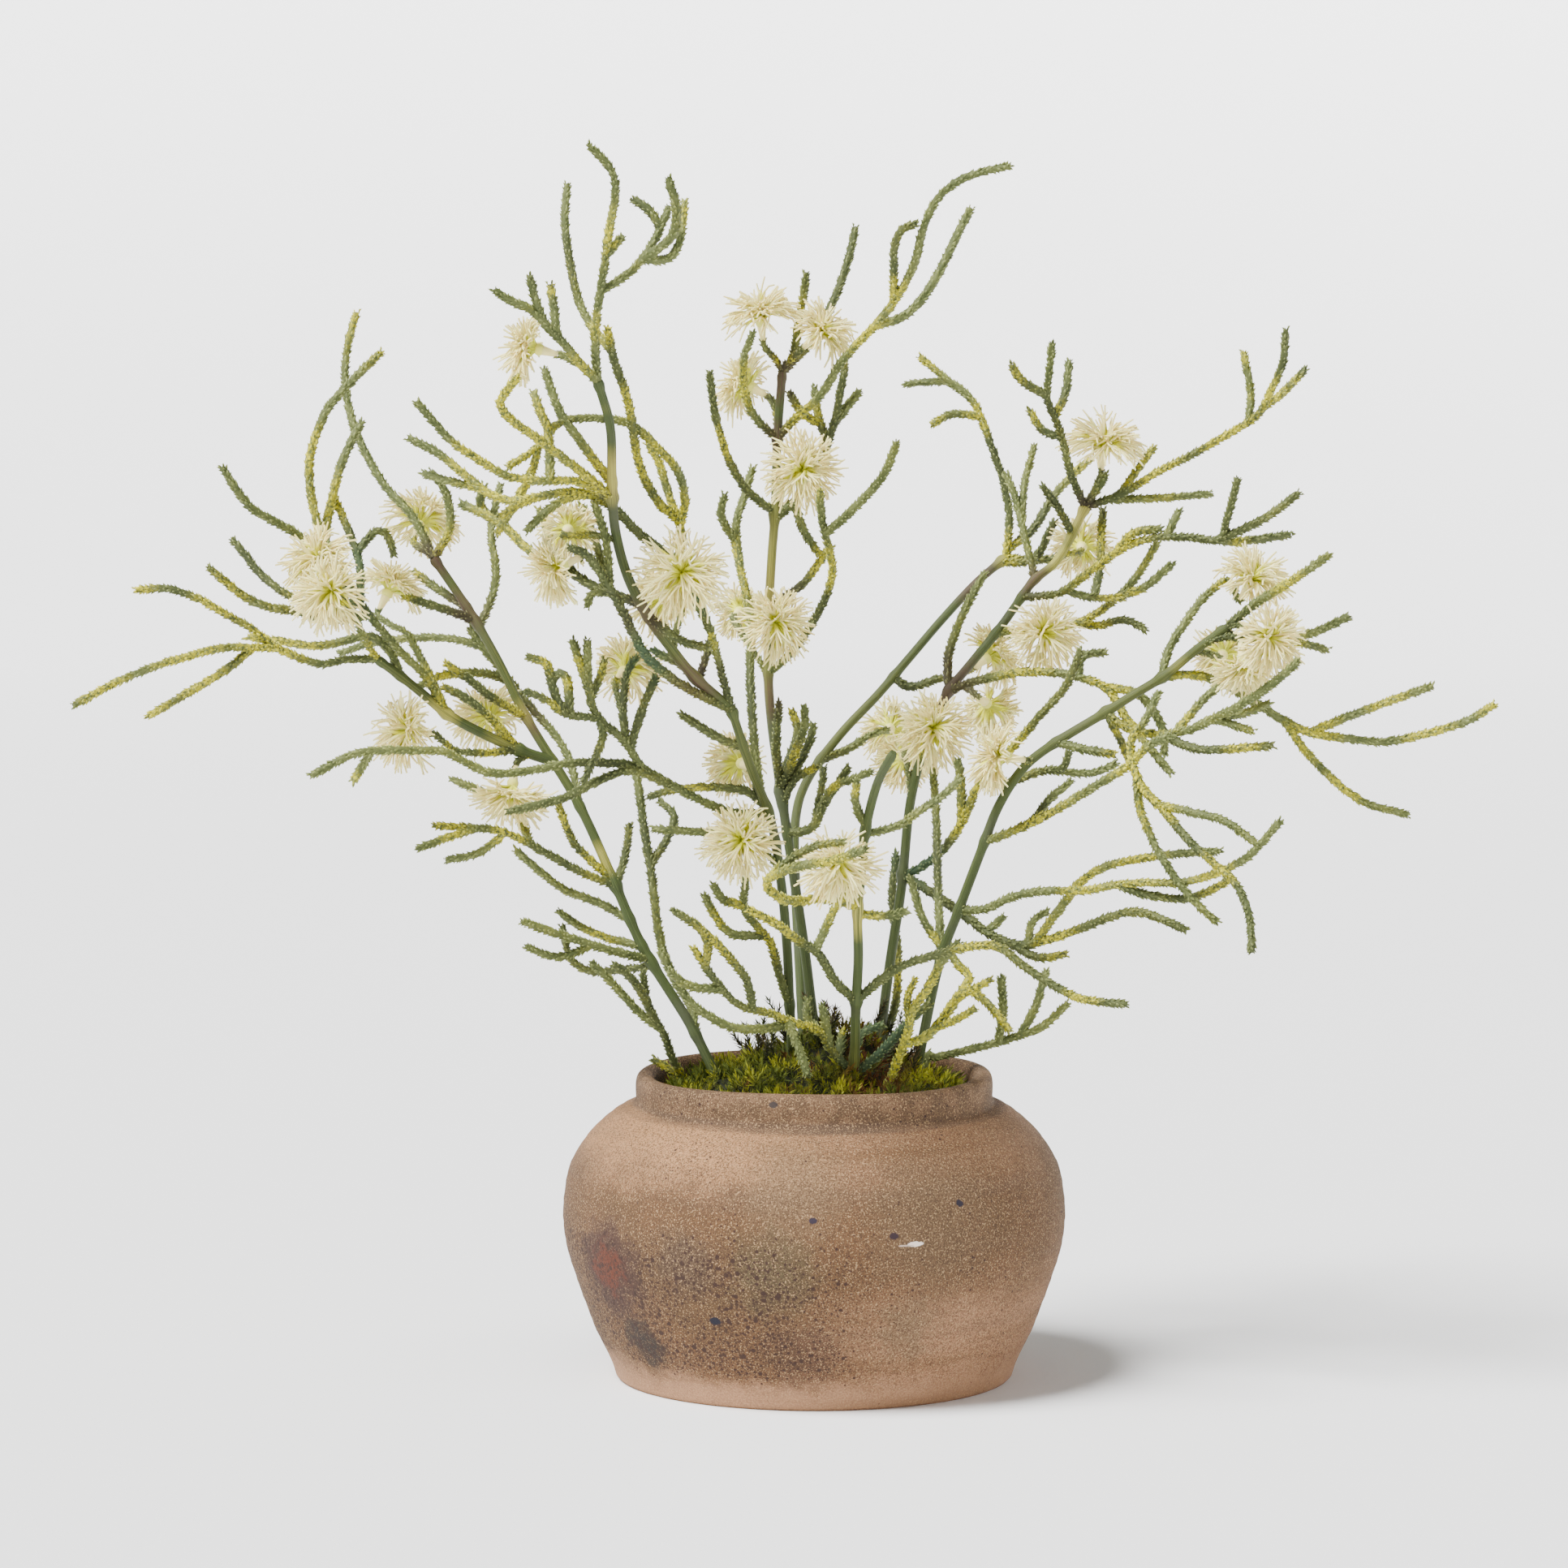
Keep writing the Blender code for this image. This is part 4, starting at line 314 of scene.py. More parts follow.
# Stems: depth at the soil, then smooth runs and scaly runs. Each line has a run's lean into depth
# and the points it passes through (across, up).
SMOOTH = "smooth"
SCALY = "scaly"
STEMS = {
    "stem_left": (-3, """
0.12 -11.5,41 -15,48 -20.5,57 -24,65 -28.5,75 -34.5,85 -38.5,93 -42,99 -46,105
-0.35 -32,80 -36,81.7 -41,84 -44.5,86 -47.5,88.5 -50,90.5 -53,92.7
""", """
0.45 -46,105 -48.5,110 -52,114 -55,119.5 -56.5,125 -56.4,130 -55.2,134.8
0.1 -46,105 -44.2,108 -44,111 -45,114 -46.5,115.5
0.6 -40.6,97 -39.4,99 -38.4,103 -39,108 -38.3,112 -37.8,114
-0.2 -38.6,109.5 -40.3,111.5 -39.8,113.8
-0.4 -41,97 -44,98.5 -49.5,100.3
0.6 -42,99 -45.5,101.2 -48.5,103.4
0.5 -28.5,75 -29.3,79.5 -31,83 -34,86.5 -37.5,91 -40,94 -41.7,96.5
0.4 -40.5,94.5 -44,95.2 -49,95.2 -54,94.5 -57.5,93.4
-0.3 -36.5,89.5 -38.5,90.7 -42,91 -45.5,90.5 -48,89.2
-0.1 -24.3,66 -27,68 -29.3,70.6 -31,75
-0.4 -24,65.2 -28,66.5 -32,68.7 -37.3,71.4 -41,72 -46.2,72.3
-0.6 -41,72 -44,71 -48,69.5
0.3 -37.3,71.4 -40.5,69 -44.7,68
1 -34,70 -36,73.5 -40,76.3 -44,78
0.5 -22.3,61 -26,62.8 -30,64.3 -33,66.5 -36.2,69.3
0.2 -20.5,57.5 -25,58.5 -28.5,60 -31,61.8
-0.4 -20,55.5 -24,56.8 -29,58.3 -35.5,60.5
-0.2 -26.5,57.5 -30,56.3 -32.5,56.4 -35,57.5
0.5 -19,55 -23,54.6 -27,54.4 -29.5,56 -30.5,60
-0.3 -53,92.7 -57,92.6 -60,92.1 -65,94 -68,96.3 -71,98 -75,100.2 -78.5,101.3 -82.3,101.1
-0.5 -65,94 -68,94.1 -72,94 -76,93 -80,91.8 -85,89.7 -90,87
-0.2 -68,94.1 -70.5,92 -73.5,90 -77,88 -81,85.6
0.2 -50,90.5 -51.5,93.8 -54,95.5 -58,94.6 -61,94.3 -65,94.9 -68.7,95.4
0.3 -44.5,86 -46,89.5 -47.5,92.5 -49,95.5
-0.3 -44.5,86 -47,90.5 -50,93.5 -53,97 -55,99.5
-0.5 -54,98.2 -58,97.5 -62.5,98.5 -66,99 -69,100.3 -71.5,102.3 -73.3,103.8
0.3 -55,99.5 -59,99 -62,99.7 -64.5,101 -67,103 -69,105.5 -70.5,107.3
-0.2 -55,99.5 -58,104 -62.5,107.8 -65,109.3 -68,111 -70,113.5 -71.6,116.1
0.2 -58.5,105 -60,109 -60.9,113 -61,117 -60,120.5 -58.5,123.5 -55.5,126.8 -52.2,130
0.6 -58.8,106 -59,109 -58.2,112.5 -57.3,116 -56,119 -54.6,121.6
0.4 -55,99.5 -55,104 -56,107.5 -58,112.3
0.5 -55.3,105.5 -53,108.3 -51.5,107.5 -50.8,105.3
-0.3 -36,82 -39,85.3 -42,87.8 -45,89.4
-0.4 -35,85.5 -39,88 -41.5,90 -44.6,92.2
-0.5 -36,81.5 -40,81.2 -43,81.3
0.45 -14.5,47 -14.8,50 -16.8,53.5 -18.5,58 -19.7,67 -20.5,72 -21,76 -21.5,79
0.2 -24,65 -22.7,69 -22.3,72.5
0.6 -19.6,67 -17.5,71 -16.8,73.5 -18.6,75.3
"""),
    "stem_left_low": (1, "", """
-0.4 -15,40 -17,43.5 -18.3,47 -20,50 -20.7,54.5
-0.2 -18.5,47.5 -21.5,49.7 -24,52.5 -27,55.5
-0.7 -19.3,49 -21,52 -22.5,54 -24.3,55.2
0.1 -15.5,40.9 -17.3,42.2 -19.5,43.6
"""),
    "stem_centre_left": (2, """
-0.3 -2.3,44 -2.7,50 -3,57 -3.7,65 -5,73 -7.5,79.5 -9.8,86.5
-0.45 -9.8,86.5 -14.3,90.5 -17.5,94.5 -20,98 -22.5,103 -24,109 -24.3,115 -24.5,121 -26,126.5
""", """
-0.6 -9.8,86.5 -13,88 -17,90.3 -20.5,93.5 -23,98.5 -25,102 -27.3,105.3 -29.5,106.2
-0.5 -9.8,86.5 -11,91 -12.3,96
0.3 -14.3,90.5 -16.5,92.3 -19.5,93.8
0.5 -14,90.5 -13,92.5 -12.5,95
-0.3 -20,97.8 -16,95 -12.5,94
-0.2 -26,126.5 -26.3,131 -26,135 -25.2,140 -24.5,145 -23.8,149 -24.3,152 -27,155
0.3 -25,141.6 -22.9,144
0.4 -25.7,137 -22.5,139.3 -20.5,141.3 -18.8,144 -17.3,147.6
0.6 -20.5,141.3 -17.5,141.3 -16,143.5 -15.4,148.2
-0.2 -20.5,141.3 -17.2,143.7 -16.4,147 -17.4,150.9
0.2 -18,145.3 -19.8,147.2 -21.7,148.5
0.2 -12.3,96 -14.2,100.5 -16,104.5 -15.8,108 -17.5,113 -18.6,116.7 -20,119
-0.5 -16.6,110 -18.8,112 -21,116.5 -22.3,124 -24,129 -24.8,133
0.4 -24.3,130.3 -27,133.5 -28.5,137 -29.5,142 -29.9,146 -29.6,150.3
-0.5 -26,126.5 -28,128.5 -30.5,131.5 -32.3,133.3 -33.4,136 -34.2,139.2
0.2 -31,132.2 -31.3,135.5 -31.7,138.2
-0.4 -32.6,133.6 -34.3,135.3 -36.5,136.2 -38.5,137.5
-0.6 -24.1,112 -27.5,115 -30,117 -33,119.3 -36.5,121.8 -37.8,123.6 -37.3,125 -35.6,127
0.3 -24.3,114.5 -26.5,117 -28.7,120 -30.7,123 -32.5,128
-0.35 -24.2,112.5 -28.5,114.3 -33,114.4 -37,115 -40.5,117 -43.5,119 -46,121.7 -48,124
0.4 -31.5,114.4 -32,120.3 -33,122.8 -33.8,125.3
-0.4 -15.8,109 -15.4,112 -16.3,115.5 -18.3,118 -21.3,120.8 -24,121.8 -27.5,122 -30.7,121.4 -33,118.7 -37,116
-0.6 -16,104.5 -21,108 -24,111 -27.5,112.9 -31.5,112.8 -35,111.8 -38,110
0.2 -33,112.5 -36,111.9 -39,112.7 -42,115 -45.5,117.8 -49,119.6
0.5 -40,113.4 -43.5,114.2 -47.3,115.3
-0.2 -27,112.6 -30,112.2 -32.5,110.5 -34.8,108.2
0.3 -33.2,118.5 -34,115.5 -35.3,113 -36.6,110.7 -38.3,108
0.45 -20.7,99.3 -26,101.3 -29,103 -32,104.3 -35,106.5 -38,109.3 -42.7,111.7
0.6 -28.5,102.8 -30.5,104.8 -32,107.7 -33.2,111
0.2 -25,101 -26.8,100.6 -27.4,99
0.5 -25.5,101 -26,106 -28,111.5
0.2 -24.5,101 -25,107 -26.5,112
-0.4 -5.3,73.5 -10,74 -14,75.6 -17.3,77.4 -20.5,79.3 -23,82.8 -25.8,85.3 -27,88 -27.4,95
-0.1 -27,88.5 -28,91.5 -29.2,95
0.4 -26.7,88 -25.8,90.5 -25.2,92.7
-0.5 -26,85.8 -30,86 -32,87.5 -35,88.8
-0.2 -30,86 -31.5,89 -32.3,92 -34.7,93
0.4 -29.6,86 -29.8,90 -30.7,91 -31.7,90
0.5 -22.5,82.2 -23,87 -22.5,91 -21.3,93
0.2 -22,82 -20.5,87 -19,90.5
-0.3 -26,85.8 -25.5,83 -27,79.5 -28,77.5
-0.5 -17,77.4 -22,79 -26,77.8 -30,75.8 -34,74.7 -37.2,74
-0.25 -18,78 -22,79.7 -26,80 -30,79.9 -36,78.8 -40,79 -44.7,81.3 -48,81.5 -52,81.5 -56,81 -61.2,78.4
0.4 -53.5,81.4 -56,77.7
0.3 -5.5,74.7 -8,76.5 -12,77 -17,76.7 -20,75.8
0.4 -4.6,70.5 -8,70.8 -12.5,71.4 -19.5,71.9
0.5 -8.4,82 -10,82.4 -13,84 -16,86
0.5 -5.8,75 -7,82 -7.5,90 -7.5,98 -8.8,104 -9.5,108
0.3 -8.8,104 -9.2,109 -8.2,112.5 -7.2,116
-0.3 -9.5,107 -11,110 -10.6,112.8
-0.5 -2.8,50.5 -4,54 -5,57.7 -6.6,59.8 -8.3,62.3 -8,66
-0.2 -6,59 -9.8,59 -11.7,61 -13.2,63.8
-0.6 -8.3,62.3 -10.8,63.2 -12,65.1
"""),
    "stem_centre_tall": (6, """
0.08 1,43 0,50 -1,58 -2.5,68 -4,78 -5.2,88 -5.3,97 -4.9,105 -4.5,110.5 -4.2,119.6 -3.6,127.6
""", """
0.5 -3.6,127.6 -1.5,129.7 0.5,132 2.2,135.3 3.6,138.7 4.6,142 5.3,145.1
-0.3 -2.3,128.9 -1.6,133.5 -1,137 -0.7,139.6
-0.35 -4.2,119.8 -2,122 1,124.7 3.2,128.3 5.5,131 8,133.6 10.5,137 12.5,141 13.3,144.5 14.8,148 17,150.2 \
20,151.6 24,152.5
0.3 7.8,133.4 10.8,134.2 13.2,136.3 15.3,139.5 17,143 19.2,147.4
-0.3 10.1,136.4 9.9,140 10,143 11,144.9 12.7,145.5
-0.5 -4.3,119.6 -6.2,121.3 -7.7,123.5 -8.3,126.5 -8.2,129.5 -7.1,132.4
0.5 -4.5,110.5 -2,112 0.5,115 1.8,118.6 0.8,122 0.3,125.8
0.2 1.7,118.6 2.8,121.8 3.4,125 4.1,128.6
0.6 2.8,121.8 5.8,125.3
-0.3 1,121.3 -1.2,122.6 -2.8,125.2
-0.5 -4.5,110.5 -6.5,112 -8.5,114 -10.3,117.5 -11.4,121 -12.1,124.5 -12.4,127.6
-0.4 -5.2,91 -2.5,93.5 0,97 2,101 2.5,104 1.7,107.5 1.1,110.5 1,113.3
-0.6 1.6,107.7 4,110 7,113 9,115.7 10.3,119.1
-0.2 -4.6,110 -2.3,111.3 -1,108.3 1,105.4
0.3 -5.1,99 -1.3,101.7 0.7,104.2 2.4,106.6
-0.5 -4,77 -4.3,82 -4,87.5
0.3 -3.9,78 -1.8,83.5 -2.5,86.5
-0.7 -3.8,76.5 -1,84 -1,87
0.5 -3.7,76 -0.5,82 0.2,84.8
-0.4 -3.6,75 -2,78 0.5,79.5
-0.3 -3,71 0,72 1.5,75 3.2,77.5 4.5,79.5
-0.6 1.2,74.5 2.5,77 5,78 7.3,79
0.3 0.3,72.3 1,76 1.5,79.5
"""),
    "stem_front": (-7, """
-0.5 5,40 5.3,45 5.4,50 5.7,56 5.6,61.5 6,66 6.5,71.5 8,77.5 10,81.3
""", """
0.3 5.6,61.5 9,61.2 11.7,61.8
-0.3 5.4,50.3 8,53 11,55 15.5,56.5 20,57.5 23,57.3 26,55 29,53 33,51 38.6,50.3
-0.5 5.4,50.3 3,53 0.8,56.5 -1.8,58.3 -4.5,60.3 -7.8,62
-0.2 0.2,57 2.5,61.5 4.2,64.5
0.2 5.2,44 6,46.6 8.7,47.8
-0.2 5,41.5 7.5,43.5 9.5,45.5 12,48.3 14.5,50.5
-0.5 5,42 2.5,44.5 1,47 -2,48 -5.5,49.3 -9,50.3 -12,53.5 -14.5,57.3
-0.2 -2,48 -6,47.3 -9.5,47.4 -12.5,48.8 -15,50.7 -16.8,53.5 -18.5,57
-0.3 -10.8,52.2 -15,52.6 -17.5,54.5
-0.5 -13,55 -12.7,58 -14,60
-0.5 -6.8,49.8 -8,53.3 -10,56 -12,58.2 -14.5,60.3 -17,61.9
-0.4 2,45 1.8,47.5 1.2,50.2
0.3 1.2,46.8 -0.5,48.5 -0.5,51
0.4 3,44 3.8,47
-0.4 -3,48.3 -1.5,44.5 -0.5,41.5
0.4 6.5,71.5 9,71.8 11,72.5 13,74 16,76 18,78
-0.3 6.6,72.5 5.3,75 5.5,78
-0.8 5.6,62.3 1.5,63.3 -2,63 -4.3,63.7 -5.5,65.5 -2,67.2 2.5,68 6.5,69.4
-0.3 -5.3,66 -2.5,68.3 0.5,69.8 4,70.3
"""),
    "stem_back_long": (11, """
0.45 -1,45 -1.5,55 -2,65 -2,73 -0.5,78 3.5,83.5 8,88.3 12,93 16,97.7 20,102 23.5,105
""", """
0.2 23.5,105 24,109.5 23.3,114 21.8,118.5 20.5,122 19.3,124.3 16.5,126.5 13,129.5
0.5 19.3,124.3 17,126.2 14,126.4 11.3,126.1
-0.4 20.3,122.3 17,122.5 14.5,121.2
0.5 23.7,106 27,108.7 29,112 31.5,115 33.8,117
0.1 23.5,105 28,104.8 31,105.5
-0.3 22.8,104.4 27,105 29.5,109.5
0.3 1,80.4 4,81.5 6.5,83
-0.2 9.7,90.3 12,89.3 16,90.5
"""),
    "stem_right_tall": (5, """
0.3 8,43 9.5,55 11,65 12,75 14,83 16.5,88.5 19,91.7 22.5,96 25,99.5 27,102.3 30,105 33.2,111.2
""", """
-0.5 16.5,88.5 20,90 25,91 30,91 33.5,90.2 36,89 38,86 40.5,82.7 43.8,78.7
-0.1 36,89 39.5,88.5 41.5,86.5 42.8,84 43,81
0.3 32.5,90.5 33,93 35.8,93.5
0.5 16.5,88.5 16.6,93 18.3,98 21,103.2
-0.4 33,111 31.5,115 30.5,119 29.5,122 28.5,124.5 28.8,128 29.1,131
0.1 30.2,119.9 28,120.5 26.3,123
0.4 29.5,122 30.7,125 31.2,129
-0.5 28.6,125 25.5,126.5 24.1,128.4
-0.3 33.2,111.2 38,113 42,115.5 46,117.5 50,119.8 54,122.3 55.5,125 57,128.5 57.4,132.7
0.2 52.6,121.4 53.2,125 52.3,130
0.5 54.7,123.4 57,125 59.9,128
0.3 37.5,112.9 39,115 41.5,118.5
0.3 36,112.2 42,112.3 48.5,112.8
-0.5 33.2,111.2 35.8,115.2
0.4 27,102.3 26,107 25.3,110 24.5,113 23.5,115.2
0.6 25.5,109.5 25.8,114 27,118.7
-0.4 31.7,107.7 30,111 28,113.8
-0.4 25.5,100.1 30,100.7 34,103.5 38,106.3 42,107.5 46,107.5 49.5,107.3 50.5,110 51.7,114.7
-0.2 49.5,107.5 53,108.8 56,110.5 59.2,113
0.4 49,107.3 52,107 58.2,107.9
0.4 42.8,107.5 44.6,110.8
-0.3 37,105.6 39,108 42.5,108.6
0.2 22.5,96 27,95.8 31.5,96.8 35,98.5 38,101 40,103.5 42,107
-0.3 37,100.2 40.5,101.5 43.8,104.3
-0.5 32,97.1 35,96.8 38,97.5 40.7,96.2
0.4 30.5,100.9 34,100.2 38,100.2
0.5 34.5,100.2 35,104 35.3,111
0.6 8.4,46 10.2,50 10.5,57 9.8,63 10.3,69
-0.6 11.1,66 15.5,63.5 19,61 22,58.8 25.5,57.6 29,58.3 33,59.7 36.5,61.1 39.5,61.7 42.5,60.9 45.8,59.4
-0.4 27,57.7 29,60.3 31,63 33,65.5 36,67.3 40,68.2 44.5,68.8 49.9,69.2
0.3 26.2,57.6 27,60.5 28.9,61.8
-0.5 24.5,57.9 27.5,56.1 31.1,56.5
0.4 21.5,59.2 23.5,61.2
-0.35 11.2,66.5 13,67 16,69.3 18.5,73 20.3,77.2 24,81.3 28,86 31,89.5 32.7,93.8
-0.1 18.4,72.8 18.2,77 17.8,80.5
-0.6 20.5,77.4 24,77.6 28,79 30.5,79.3 31.4,81.4
0.2 29.5,79.2 34,78.7 37.2,80
"""),
    "stem_right": (1, """
-0.1 13,43 15.5,55 18,62 20.8,69.5 22.7,74.5 25.5,79 29,82 35.5,86 39,88.2 43,90.7 47,94 50.5,96.5
""", """
-0.4 21.2,70.6 24.5,71.6 29,73.8 34,76.8 38.5,79.6 41,82 44,83.5
-0.5 39,80 40.3,77 42.8,74.3 46,70.5 49.3,67.5 52,64.8 53.5,61 53.8,56.7
-0.2 39.6,78.5 40,74.5 42,69.7 44.7,65.5 47,62.7 49.6,60.4
-0.6 42.6,74.5 46.5,73.9 50.5,72.8 54.5,69.9
0.3 38.7,79.8 39,83 40.5,85 42.3,88.7
-0.5 35.5,86 38,84.5 42,83.5 46,84 49,85.2 53.8,83.8
-0.2 47,84.4 51,86.4 53.7,88 56.5,90 59.3,92.5
0.4 49.3,85.4 52.5,86 55.8,87.3
0.3 44.5,83.7 47.5,87.5 49.8,89.5
-0.4 42,83.5 47,81.7 52,81.8 56.2,82.1
0.15 43,90.7 46,90.8 49.5,90 53,88 57.5,85.2 61,83.6 65,83 70,82.6 75,83.6 80,85.2 83.2,87.2
0.5 61,83.6 65,85.5 70,87.4 75.6,89.4
-0.2 57.7,85 60,81.7 63.5,78 67.3,75.2 72.8,73.6
0.4 43,90.7 43.3,93.5 45,96.5 47.5,100 50.3,102.5
-0.6 50.5,96.5 54,99.5 58,102 62.9,105.4
-0.3 50,96.1 52.5,95.3 57,95 61,95.9 65.4,97.9
0.4 58,95.1 62.8,93.8
0.4 35.5,86 37.5,83 38.5,80.5
-0.3 30,82.6 33,81.7 37,81
0.3 24.5,71.6 27,73 29,75.5 31.7,77.8
-0.45 18,62 21,62 25,63.7 29,64.3 33,64.3 37,65 41,65.3 45,65.3 49,66.3 53,68.3 55,70.3 57.2,72.9
-0.2 37,65 41,63.8 45,63.3 48,64 51.5,65.9
0.5 15.9,56.5 15.4,65 15.2,73 14.7,80
0.3 16,57 13.5,61 12,66
"""),
    "sprig_right_rim": (3, "", """
0.1 14,43.5 17,44.2 20.5,45 25,46.3 28.3,47.6 31.4,50.5
-0.3 22.5,45.5 23.4,49.5 23.2,53.6
0.4 25.5,46.5 27.3,49.8 28.7,54.5
"""),
    "sprig_front": (-9, "", """
-0.4 9,39.5 10.5,43.3 11.8,47 12.3,49.5 14,52 16,55.7 18,58
-0.1 12,48 11.7,51 12.7,53.5
0.4 11.2,45 14,46.3 16.5,49.2 18.7,52.5 19.2,53.8 17.8,55.3 16.8,57
-0.3 15.8,48.2 17.5,50.8 19.5,52 22,53.4
-0.5 15.2,47.5 17.5,48.3 20,49.8
0.6 18.9,52.9 21.5,50.4 24.3,47
"""),
}


def numbers(words):
    """Rows of numbers from words such as 1.5,20."""
    return np.array([[float(value) for value in word.split(",")] for word in words])


def smooth_points(points, count):
    """Points on a curve that passes through all the given ones, count to each span."""
    padded = [2 * points[0] - points[1], *points, 2 * points[-1] - points[-2]]
    curve = []
    for before, start, end, after in zip(padded, padded[1:], padded[2:], padded[3:]):
        for t in np.arange(count) / count:
            curve.append(0.5 * (2 * start + (end - before) * t
                                + (2 * before - 5 * start + 4 * end - after) * t ** 2
                                + (3 * start - before - 3 * end + after) * t ** 3))
    curve.append(points[-1])
    return np.array(curve)


def lengths_along(curve):
    """Distance of each point from the curve's start."""
    return np.concatenate([[0.0], np.cumsum(np.linalg.norm(np.diff(curve, axis=0), axis=1))])


def even_points(curve, step):
    """The same curve with its points a like distance apart, near the given step."""
    lengths = lengths_along(curve)
    wanted = np.linspace(0.0, lengths[-1], max(3, int(round(lengths[-1] / step)) + 1))
    return np.column_stack([np.interp(wanted, lengths, column) for column in curve.T])


class Run:
    """One smooth stem or scaly twig: its samples across, up and in depth, all in squares."""

    def __init__(self, stem, kind, text):
        lean, *places = text.split()
        self.stem, self.kind = stem, kind
        self.lean = float(lean) * LEAN_SHARE
        self.points = numbers(places)
        self.host, self.host_at = None, 0

    def lay(self, start_depth):
        self.at = even_points(smooth_points(self.points, RUN_POINTS), SAMPLE_STEP)
        along = lengths_along(self.at)
        slack = 1.0 - LEAN_EASE * along / (along[-1] + LEAN_REACH)
        self.depth = start_depth + self.lean * along * slack

    def nearest(self, point):
        gaps = np.linalg.norm(self.at - point, axis=1)
        return gaps.min(), int(np.argmin(gaps))

    def each(self, smooth, scaly):
        """The first value for every sample of a smooth stem, the second for a scaly twig."""
        return np.full(len(self.at), smooth if self.kind == SMOOTH else scaly)

    def line(self):
        """Middle line in metres."""
        return [from_front(across, depth, up) for (across, up), depth in zip(self.at, self.depth)]


def find_root(runs, point):
    """Gap, sample and run of the same stem that lie nearest to a point of the front view."""
    return min(((*run.nearest(point), run) for run in runs), key=lambda found: found[0])


def lay_out_stems():
    """Every run with its depth, each starting exactly on the run that it grows from."""
    layout = {}
    for name, (soil_depth, *kinds) in STEMS.items():
        runs = layout[name] = []
        for kind, text in zip((SMOOTH, SCALY), kinds):
            for entry in text.strip().splitlines():
                run = Run(name, kind, entry)
                if runs:
                    _, run.host_at, run.host = find_root(runs, run.points[0])
                    run.points[0] = run.host.at[run.host_at]
                    run.lay(run.host.depth[run.host_at])
                else:
                    run.lay(soil_depth)
                runs.append(run)
    return layout


class Bloom:
    """One bloom: its place in squares across, up and in depth, and the stalk that carries it."""

    def __init__(self, number, text, layout):
        self.stem, *places, radius, turn, lift = text.split()
        root, self.centre = numbers(places)
        self.name = f"bloom_{number:02d}"
        self.radius = float(radius)
        turn, lift = math.radians(float(turn)), math.radians(float(lift))
        self.axis = np.array([math.sin(turn) * math.cos(lift), -math.cos(turn) * math.cos(lift),
                              math.sin(lift)])
        _, self.root_at, self.root_run = find_root(layout[self.stem], root)
        self.depth = self.root_run.depth[self.root_at] + self.axis[1] * HEAD_DEPTH

    def place(self):
        """Centre as across, depth, up."""
        return np.array([self.centre[0], self.depth, self.centre[1]])

    def seat(self):
        """Where the stalk meets the cup, as across, depth, up."""
        return self.place() - self.axis * (CUP_LENGTH / SQUARE + CENTRE_SHARE * self.radius)

    def stalk(self):
        """Samples of the stalk, from the stem's middle to the cup."""
        run, index = self.root_run, self.root_at
        start, end = np.array([run.at[index][0], run.depth[index], run.at[index][1]]), self.seat()
        reach = np.linalg.norm(end - start)
        ahead = min(index + 2, len(run.at) - 1)
        behind = max(ahead - 3, 0)
        along = np.array([run.at[ahead][0] - run.at[behind][0], run.depth[ahead] - run.depth[behind],
                          run.at[ahead][1] - run.at[behind][1]])
        leave = STALK_LEAVE * reach * along / np.linalg.norm(along)
        arrive = STALK_ARRIVE * reach * self.axis
        t = np.linspace(0.0, 1.0, max(4, int(round(reach / STALK_STEP)) + 1))[:, None]
        return ((2 * t ** 3 - 3 * t ** 2 + 1) * start + (t ** 3 - 2 * t ** 2 + t) * leave
                + (3 * t ** 2 - 2 * t ** 3) * end + (t ** 3 - t ** 2) * arrive)

    def stalk_line(self):
        """Middle line of the stalk in metres, short of the cup by the seat gap."""
        line = [from_front(*place) for place in self.stalk()]
        axis = Vector(self.axis)
        seat = line[-1] - axis * SEAT_GAP
        return [*line[:-1], seat - axis * STALK_END, seat]


def crossing_pairs(samples, radii, owners):
    """Samples of different stems that would meet if they lay at one depth."""
    tree = kdtree.KDTree(len(samples))
    for index, (across, up) in enumerate(samples):
        tree.insert((across, up, 0.0), index)
    tree.balance()
    widest = 2 * max(radii) + CLEARING
    pairs = []
    for index, (across, up) in enumerate(samples):
        for _, other, gap in tree.find_range((across, up, 0.0), widest):
            need = radii[index] + radii[other] + CLEARING
            if other > index and owners[index] != owners[other] and gap < need:
                pairs.append((index, other, math.sqrt(need ** 2 - gap ** 2)))
    first, second, needed = zip(*pairs)
    return np.array(first), np.array(second), np.array(needed)


def push_apart(depth, pairs, ease):
    """Depth change that takes crossing samples clear of each other."""
    first, second, needed = pairs
    gap = depth[first] - depth[second]
    side = np.where(gap >= 0, 1.0, -1.0)
    short = np.maximum(needed - np.abs(gap), 0.0)
    share = ease[first] / (ease[first] + ease[second])
    moves, counts = np.zeros_like(depth), np.zeros_like(depth)
    for ends, way in ((first, side * short * share), (second, -side * short * (1.0 - share))):
        np.add.at(moves, ends, way)
        np.add.at(counts, ends, short > 0)
    return moves / np.maximum(counts, 1.0)


